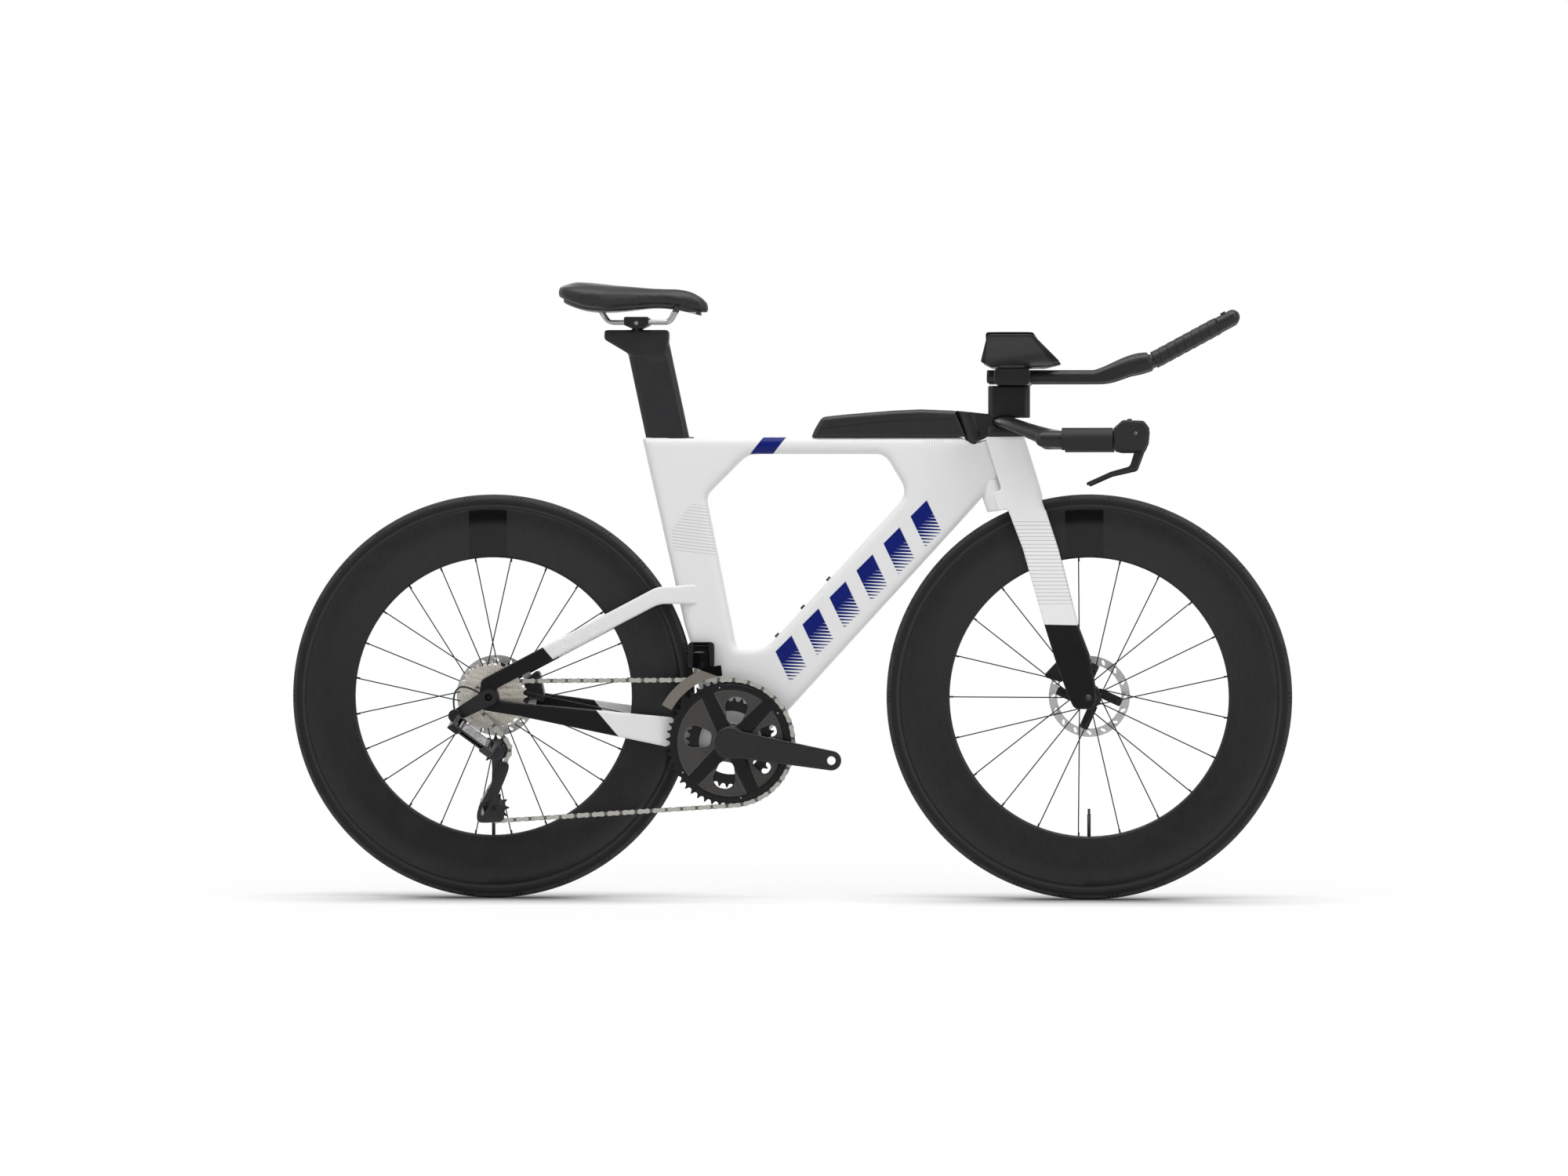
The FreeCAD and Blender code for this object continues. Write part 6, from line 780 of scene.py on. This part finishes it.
def aroundAxleTree():  # repeats one shape around an axle that lies along Y
    sockets = [("Count", "Int"), ("Turn", "Float"), ("Centre", "Vector"), ("Finish", "Material")]
    tree, source, output = newTree("aroundAxle", sockets)
    link = tree.links.new
    points = treeNode(tree, "Points")
    link(source.outputs["Count"], points.inputs["Count"])
    link(source.outputs["Centre"], points.inputs["Position"])
    step = treeNode(tree, "ShaderNodeMath", operation="DIVIDE")
    step.inputs[0].default_value = -2 * math.pi
    link(source.outputs["Count"], step.inputs[1])
    angle = treeNode(tree, "ShaderNodeMath", operation="MULTIPLY")
    link(treeNode(tree, "InputIndex").outputs[0], angle.inputs[0])
    link(step.outputs[0], angle.inputs[1])
    turned = treeNode(tree, "ShaderNodeMath", operation="SUBTRACT")
    link(angle.outputs[0], turned.inputs[0])
    link(source.outputs["Turn"], turned.inputs[1])
    spin = treeNode(tree, "ShaderNodeCombineXYZ")
    link(turned.outputs[0], spin.inputs["Y"])
    place = treeNode(tree, "InstanceOnPoints")
    link(points.outputs[0], place.inputs["Points"])
    link(source.outputs["Geometry"], place.inputs["Instance"])
    link(spin.outputs[0], place.inputs["Rotation"])
    finishTree(tree, place.outputs[0], source.outputs["Finish"], output)
    return tree


boltShape = {"sides": 20, "top": 0.82, "recess": 0.55, "sunk": 0.6}  # shares of the head's radius and height


def boltTree():  # sets a tapered head with a round recess on each point of a mesh
    sockets = [("Radius", "Float"), ("Height", "Float"), ("Tilt", "Vector"), ("Finish", "Material")]
    tree, source, output = newTree("boltHeads", sockets)
    link = tree.links.new
    head = treeNode(tree, "MeshCone")
    head.inputs["Vertices"].default_value = boltShape["sides"]
    link(source.outputs["Radius"], head.inputs["Radius Bottom"])
    top = treeNode(tree, "ShaderNodeMath", operation="MULTIPLY")
    link(source.outputs["Radius"], top.inputs[0])
    top.inputs[1].default_value = boltShape["top"]
    link(top.outputs[0], head.inputs["Radius Top"])
    link(source.outputs["Height"], head.inputs["Depth"])
    faceUp = treeNode(tree, "ExtrudeMesh", mode="FACES")
    inner = treeNode(tree, "ScaleElements")
    inner.inputs["Scale"].default_value = boltShape["recess"]
    sink = treeNode(tree, "ShaderNodeMath", operation="MULTIPLY")
    link(source.outputs["Height"], sink.inputs[0])
    sink.inputs[1].default_value = -boltShape["sunk"]
    rim = treeNode(tree, "ExtrudeMesh", mode="FACES")
    rim.inputs["Offset Scale"].default_value = 0.0
    link(head.outputs["Mesh"], rim.inputs["Mesh"])
    link(head.outputs["Top"], rim.inputs["Selection"])
    link(rim.outputs["Mesh"], inner.inputs["Geometry"])
    link(rim.outputs["Top"], inner.inputs["Selection"])
    link(inner.outputs[0], faceUp.inputs["Mesh"])
    link(rim.outputs["Top"], faceUp.inputs["Selection"])
    link(sink.outputs[0], faceUp.inputs["Offset Scale"])
    place = treeNode(tree, "InstanceOnPoints")
    link(source.outputs["Geometry"], place.inputs["Points"])
    link(faceUp.outputs["Mesh"], place.inputs["Instance"])
    link(source.outputs["Tilt"], place.inputs["Rotation"])
    finishTree(tree, place.outputs[0], source.outputs["Finish"], output)
    return tree


def grow(name, mesh, tree, values, body):
    piece = bpy.data.objects.new(name, mesh)
    bpy.context.scene.collection.objects.link(piece)
    modifier = piece.modifiers.new("repeat", "NODES")
    modifier.node_group = tree
    for item in tree.interface.items_tree:
        if item.in_out == "INPUT" and item.name in values:
            modifier[item.identifier] = values[item.name]
    applyAll(piece)
    smoothFaces(piece.data, 35.0)
    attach(piece, body)
    return piece


def blockMesh(name, blocks):  # bricks given by their middle, size and turn
    work = bmesh.new()
    for middle, size, turn in blocks:
        made = bmesh.ops.create_cube(work, size=1.0)["verts"]
        bmesh.ops.scale(work, vec=size, verts=made)
        bmesh.ops.rotate(work, cent=(0, 0, 0), matrix=turn, verts=made)
        bmesh.ops.translate(work, vec=middle, verts=made)
    mesh = bpy.data.meshes.new(name)
    work.to_mesh(mesh)
    work.free()
    return mesh


aroundAxle = aroundAxleTree()
boltHeads = boltTree()
treadLook = {  # in mm and degrees
    "groups": 26, "section": 325.0, "radius": 13.604, "lean": 47.0, "strokes": 3, "pitch": 7.0,
    "size": (1.1, 6.0, 3.2), "slant": 24.0,
}


def treadMarks(name):  # one group of short slanted strokes on each shoulder of the tyre
    blocks = []
    radius, section = treadLook["radius"], treadLook["section"]
    size = Vector(treadLook["size"]) * mm
    for side in (1, -1):
        lean = math.radians(treadLook["lean"]) * side
        middle = Vector((section + radius * math.cos(lean), radius * math.sin(lean), 0)) * mm
        tip = Matrix.Rotation(lean, 3, "Z")
        slant = Matrix.Rotation(math.radians(treadLook["slant"]) * side, 3, "X")
        for stroke in range(treadLook["strokes"]):
            spin = Matrix.Rotation(-(stroke - 1) * treadLook["pitch"] / section, 3, "Y")
            blocks.append((spin @ middle, size, spin @ tip @ slant))
    return blockMesh(name, blocks)


# sizes in mm, starts in degrees
nippleLook = {"reach": 230.5, "radius": 1.7, "length": 6.5, "sides": 8}
rivetLook = {"reach": 43.5, "sunk": 0.4, "radius": 2.6, "height": 0.9, "count": 4, "start": 79}
wheelLook = {  # spoke counts and starts in degrees, rotor planes in mm
    "front": {"axle": frontAxle, "spokes": 21, "start": 360 / 14, "rotor": 37.8},
    "rear": {"axle": rearAxle, "spokes": 24, "start": 22.5, "rotor": 54.0},
}
for end, look in wheelLook.items():
    body = bodyOf[end + "_tyre"]
    centre = look["axle"]
    marks = {"Count": treadLook["groups"], "Turn": 0.0, "Centre": centre, "Finish": finishes["tread"]}
    grow(end + "TreadMarks", treadMarks(end + "Tread"), aroundAxle, marks, body)
    nipple = studMesh(
        end + "Nipple", (nippleLook["reach"] * mm, 0, 0), nippleLook["radius"] * mm, nippleLook["length"] * mm,
        (1, 0, 0), nippleLook["sides"],
    )
    nipples = {"Count": look["spokes"], "Turn": math.radians(look["start"]), "Centre": centre,
               "Finish": finishes["blackSteel"]}
    grow(end + "Nipples", nipple, aroundAxle, nipples, body)
    seat = (rivetLook["reach"] * mm, (look["rotor"] - rivetLook["sunk"]) * mm, 0)
    rivet = studMesh(end + "Rivet", seat, rivetLook["radius"] * mm, rivetLook["height"] * mm, (0, -1, 0))
    rivets = {"Count": rivetLook["count"], "Turn": math.radians(rivetLook["start"]), "Centre": centre,
              "Finish": finishes["blackSteel"]}
    grow(end + "Rivets", rivet, aroundAxle, rivets, bodyOf[end + "_rotor"])
print("wheel details grown")

dotLook = {  # silver dots on the outer chainring: sizes in mm, turns in degrees
    "centre": Vector((-0.098, 0, 0.263)), "seat": (93.7, -52.9, 0), "radius": 1.5, "height": 0.8, "sides": 10,
    "turns": {"ringDotsFirst": 32, "ringDotsSecond": 101},
}
for name, turn in dotLook["turns"].items():
    dot = studMesh(
        name + "Stud", Vector(dotLook["seat"]) * mm, dotLook["radius"] * mm, dotLook["height"] * mm, (0, -1, 0),
        dotLook["sides"],
    )
    dots = {"Count": 2, "Turn": math.radians(turn), "Centre": dotLook["centre"], "Finish": finishes["silver"]}
    grow(name, dot, aroundAxle, dots, bodyOf["crank_arm_right"])
print("ring dots set")


def boltField(name, places, radius, height, tilt, finish, body):
    mesh = bpy.data.meshes.new(name)
    mesh.from_pydata([Vector(place) * mm for place in places], [], [])
    values = {"Radius": radius * mm, "Height": height * mm, "Tilt": tilt, "Finish": finish}
    return grow(name, mesh, boltHeads, values, body)


faceRight = (math.pi / 2, 0, 0)
faceLeft = (-math.pi / 2, 0, 0)
bolts = [  # name, places in mm, head radius and height, the way it faces, finish and a node of its body
    ("stemBolt", [(316.0, -18.9, 780.5)], 2.8, 2.0, faceRight, "blackSteel", "stem_cover"),
    ("leverPinsRight", [(578.3, -199.6, 777.4)], 3.2, 1.0, faceRight, "silver", "lever_housings"),
    ("leverPinsLeft", [(578.3, 199.6, 777.4)], 3.2, 1.0, faceLeft, "silver", "lever_housings"),
    ("clampBolt", [(-257.3, -25.6, 964.5)], 4.2, 2.2, faceRight, "silver", "saddle_clamp"),
    ("pulleyBolts", [(-493.2, -68.2, 154.1)], 3.6, 1.6, faceRight, "blackSteel", "rd_cage"),
    ("frontCaliperBolts", [(438.0, 54.0, 372.0), (460.0, 54.0, 400.0)], 3.0, 1.5, faceLeft, "blackSteel",
     "front_caliper"),
    ("rearCaliperBolts", [(-428.0, 70.2, 340.0), (-444.0, 70.2, 370.0)], 3.0, 1.5, faceLeft, "blackSteel",
     "rear_caliper"),
]
for name, places, radius, height, tilt, finishName, nodeName in bolts:
    boltField(name, places, radius, height, tilt, finishes[finishName], bodyOf[nodeName])
print("bolts set")


swellLook = {"frames": 20, "quality": 4, "pressure": 2.0}


def softForm(nodeName, voxel, cap, name, finish):  # swells a pad as cloth, each point by the cap at most
    piece = addPiece(name, meshCopy(nodeName), finish)
    evenMesh(piece, voxel)
    applyAll(piece)
    rest = [vertex.co.copy() for vertex in piece.data.vertices]
    cloth = piece.modifiers.new("swell", "CLOTH")
    cloth.settings.use_pressure = True
    cloth.settings.uniform_pressure_force = swellLook["pressure"]
    cloth.settings.effector_weights.gravity = 0.0
    cloth.settings.quality = swellLook["quality"]
    cloth.point_cache.frame_start = 1
    cloth.point_cache.frame_end = swellLook["frames"]
    for step in range(1, swellLook["frames"] + 1):
        bpy.context.scene.frame_set(step)
    applyAll(piece)
    bpy.context.scene.frame_set(1)
    for vertex, place in zip(piece.data.vertices, rest):
        move = vertex.co - place
        if move.length > cap:
            vertex.co = place + move * (cap / move.length)
    level = piece.modifiers.new("finer", "SUBSURF")
    level.levels = 1
    level.render_levels = 1
    applyAll(piece)
    piece.data.shade_smooth()
    return piece


saddleCushion = softForm("saddle_pad", 0.005, 0.0015, "saddleCushion", finishes["hide"])
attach(saddleCushion, bodyOf["saddle_pad"])
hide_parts("saddle_pad")
armCushions = softForm("arm_pads", 0.004, 0.001, "armCushions", finishes["felt"])
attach(armCushions, bodyOf["arm_pads"])
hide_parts("arm_pads")
print("cushions made")


tapeSize = {  # in metres, with the profile of one wrap as places across it and shares of its rise
    "start": (0.608, 0.9018), "end": (0.7151, 0.9597), "side": 0.057, "wraps": 8, "columns": 40,
    "inner": 0.0114, "low": 0.0127, "high": 0.0137,
    "profile": [(0.0, 0.0), (0.07, 1.0), (0.28, 0.9), (0.52, 0.7), (0.76, 0.5), (0.97, 0.3)],
}


def windTape(sideSign, name):  # closed roll whose outer rows run in a helix, with flat ends
    start = Vector((tapeSize["start"][0], tapeSize["side"] * sideSign, tapeSize["start"][1]))
    end = Vector((tapeSize["end"][0], tapeSize["side"] * sideSign, tapeSize["end"][1]))
    along = (end - start).normalized()
    length = (end - start).length
    up = along.cross(Vector((0, 1, 0))).normalized()
    across = along.cross(up)
    columns = tapeSize["columns"]
    shift = len(tapeSize["profile"])  # rows in one wrap, and so the step where a turn closes
    work = bmesh.new()

    def corner(column, reach, radius):
        turn = sideSign * 2 * math.pi * column / columns
        return work.verts.new(start + along * reach + (up * math.cos(turn) + across * math.sin(turn)) * radius)

    firstRing = [corner(column, 0.0, tapeSize["inner"]) for column in range(columns)]
    lastRing = [corner(column, length, tapeSize["inner"]) for column in range(columns)]
    rows = []
    for wrap in range(-1, tapeSize["wraps"] + 2):
        for lay, rise in tapeSize["profile"]:
            radius = tapeSize["low"] + (tapeSize["high"] - tapeSize["low"]) * rise
            row = []
            for column in range(columns):
                reach = (wrap + lay + column / columns) * length / tapeSize["wraps"]
                if reach <= 0.0:
                    row.append(firstRing[column])
                elif reach >= length:
                    row.append(lastRing[column])
                else:
                    row.append(corner(column, reach, radius))
            rows.append(row)
    for index in range(len(rows) - 1 - shift):
        for column in range(columns):
            after = column + 1
            ahead = 0 if after < columns else shift
            after %= columns
            corners = (rows[index][column], rows[index + ahead][after], rows[index + 1 + ahead][after],
                       rows[index + 1][column])
            corners = list(dict.fromkeys(corners))
            if len(corners) > 2:
                work.faces.new(corners)
    for column in range(columns):
        after = (column + 1) % columns
        work.faces.new((firstRing[column], firstRing[after], lastRing[after], lastRing[column]))
    bmesh.ops.recalc_face_normals(work, faces=work.faces)
    mesh = bpy.data.meshes.new(name)
    work.to_mesh(mesh)
    work.free()
    smoothFaces(mesh, 24.0)
    return addPiece(name, mesh, finishes["tape"])


for sideName, sideSign in (("left", 1), ("right", -1)):
    roll = windTape(sideSign, "tapeRoll" + sideName.capitalize())
    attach(roll, bodyOf["bar_tape_" + sideName])
    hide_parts("bar_tape_" + sideName)
print("tape wound")


wireRoute = [  # from the dropout to the derailleur
    (-0.5152, -0.0762, 0.3451), (-0.541, -0.078, 0.362), (-0.561, -0.087, 0.346), (-0.5563, -0.0936, 0.3195),
]
wireRadius = 0.0016
wireCurve = bpy.data.curves.new("derailleurLead", "CURVE")
wireCurve.dimensions = "3D"
wireSpline = wireCurve.splines.new("NURBS")
wireSpline.points.add(len(wireRoute) - 1)
for point, place in zip(wireSpline.points, wireRoute):
    point.co = (*place, 1.0)
wireSpline.order_u = 3
wireSpline.use_endpoint_u = True
wireCurve.bevel_depth = wireRadius
wireCurve.bevel_resolution = 4
wireCurve.resolution_u = 16
wireCurve.use_fill_caps = True
wireLead = bpy.data.objects.new("derailleurLead", wireCurve)
bpy.context.scene.collection.objects.link(wireLead)
wireCurve.materials.append(finishes["rubber"])
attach(wireLead, "frame")
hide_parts("derailleur_wire")
print("wire laid")


floorLook = {  # the white that the camera sees, and the painted contact shadow that darkens it near the tyres
    "size": 12.0, "near": 0.7, "far": 1.25, "nearShare": 0.86,
    "contactReach": 0.22, "contactFull": 0.6, "contactNone": 0.97, "contactDark": 0.02,
}


def floorPaint():
    finish = newFinish("paleFloor", (0.9, 0.9, 0.9), 0.9, specular=0.0)
    path = addNode(finish, "ShaderNodeLightPath")
    seen = mathStep(finish, "MAXIMUM", path.outputs["Is Camera Ray"], path.outputs["Is Glossy Ray"])
    seen = mathStep(finish, "MAXIMUM", seen, path.outputs["Is Transmission Ray"])
    away = addNode(finish, "ShaderNodeVectorMath", operation="LENGTH")
    join(finish, objectPlace(finish), away.inputs[0])
    share = remap(finish, away.outputs["Value"], floorLook["near"], floorLook["far"], floorLook["nearShare"])
    # painted contact shadow: ambient occlusion near the tyres dims the glow that the camera sees
    nearby = addNode(finish, "ShaderNodeAmbientOcclusion", samples=8)
    nearby.inputs["Distance"].default_value = floorLook["contactReach"]
    full, none = floorLook["contactFull"], floorLook["contactNone"]
    contactShadow = remap(finish, nearby.outputs["AO"], full, none, floorLook["contactDark"])
    glow = addNode(finish, "ShaderNodeEmission")
    join(finish, contactShadow, glow.inputs["Strength"])
    mix = addNode(finish, "ShaderNodeMixShader")
    join(finish, mathStep(finish, "MULTIPLY", seen, share), mix.inputs[0])
    join(finish, shaderOf(finish).outputs[0], mix.inputs[1])
    join(finish, glow.outputs[0], mix.inputs[2])
    join(finish, mix.outputs[0], finish.node_tree.nodes["Material Output"].inputs["Surface"])
    return finish


floorMesh = bpy.data.meshes.new("floor")
reach = floorLook["size"]
floorMesh.from_pydata(
    [(-reach, -reach, 0), (reach, -reach, 0), (reach, reach, 0), (-reach, reach, 0)], [], [(0, 1, 2, 3)]
)
floor = addPiece("floor", floorMesh, floorPaint())

studioLook = {  # light on matt faces, what shiny faces see in front, and where the white starts and is full
    "soft": 0.3, "front": 0.1, "white": 1.0, "behind": (-0.75, 0.2), "above": (0.2, 0.75),
}
world = bpy.data.worlds.new("studio")
bpy.context.scene.world = world
world.use_nodes = True
facing = addNode(world, "ShaderNodeSeparateXYZ")
join(world, addNode(world, "ShaderNodeTexCoord").outputs["Generated"], facing.inputs[0])
behind = remap(world, facing.outputs["Y"], *studioLook["behind"], studioLook["front"], studioLook["white"])
above = remap(world, facing.outputs["Z"], *studioLook["above"], 0.0, studioLook["white"])
skyPath = addNode(world, "ShaderNodeLightPath")
mirrored = mathStep(world, "MAXIMUM", behind, above)
lit = mixValue(world, skyPath.outputs["Is Glossy Ray"], studioLook["soft"], mirrored)
shown = mathStep(world, "MAXIMUM", skyPath.outputs["Is Camera Ray"], skyPath.outputs["Is Transmission Ray"])
background = world.node_tree.nodes["Background"]
join(world, mixValue(world, shown, lit, studioLook["white"]), background.inputs["Strength"])
background.inputs["Color"].default_value = (1, 1, 1, 1)
lampAim = Vector((0, 0, 0.5))


def softLamp(name, place, size, power):
    lamp = bpy.data.lights.new(name, "AREA")
    lamp.shape = "RECTANGLE"
    lamp.size, lamp.size_y = size
    lamp.energy = power
    holder = bpy.data.objects.new(name, lamp)
    holder.location = place
    holder.rotation_euler = (lampAim - Vector(place)).to_track_quat("-Z", "Y").to_euler()
    holder.visible_camera = False
    bpy.context.scene.collection.objects.link(holder)


softLamp("overhead", (0.0, -0.9, 3.4), (3.6, 1.6), 84)
softLamp("leftBank", (-3.4, -3.0, 2.0), (1.6, 2.2), 33)
softLamp("rightBank", (3.4, -3.0, 2.0), (1.6, 2.2), 46)
softLamp("backBank", (0.0, 4.2, 2.4), (3.2, 1.8), 46)

print("stage set")
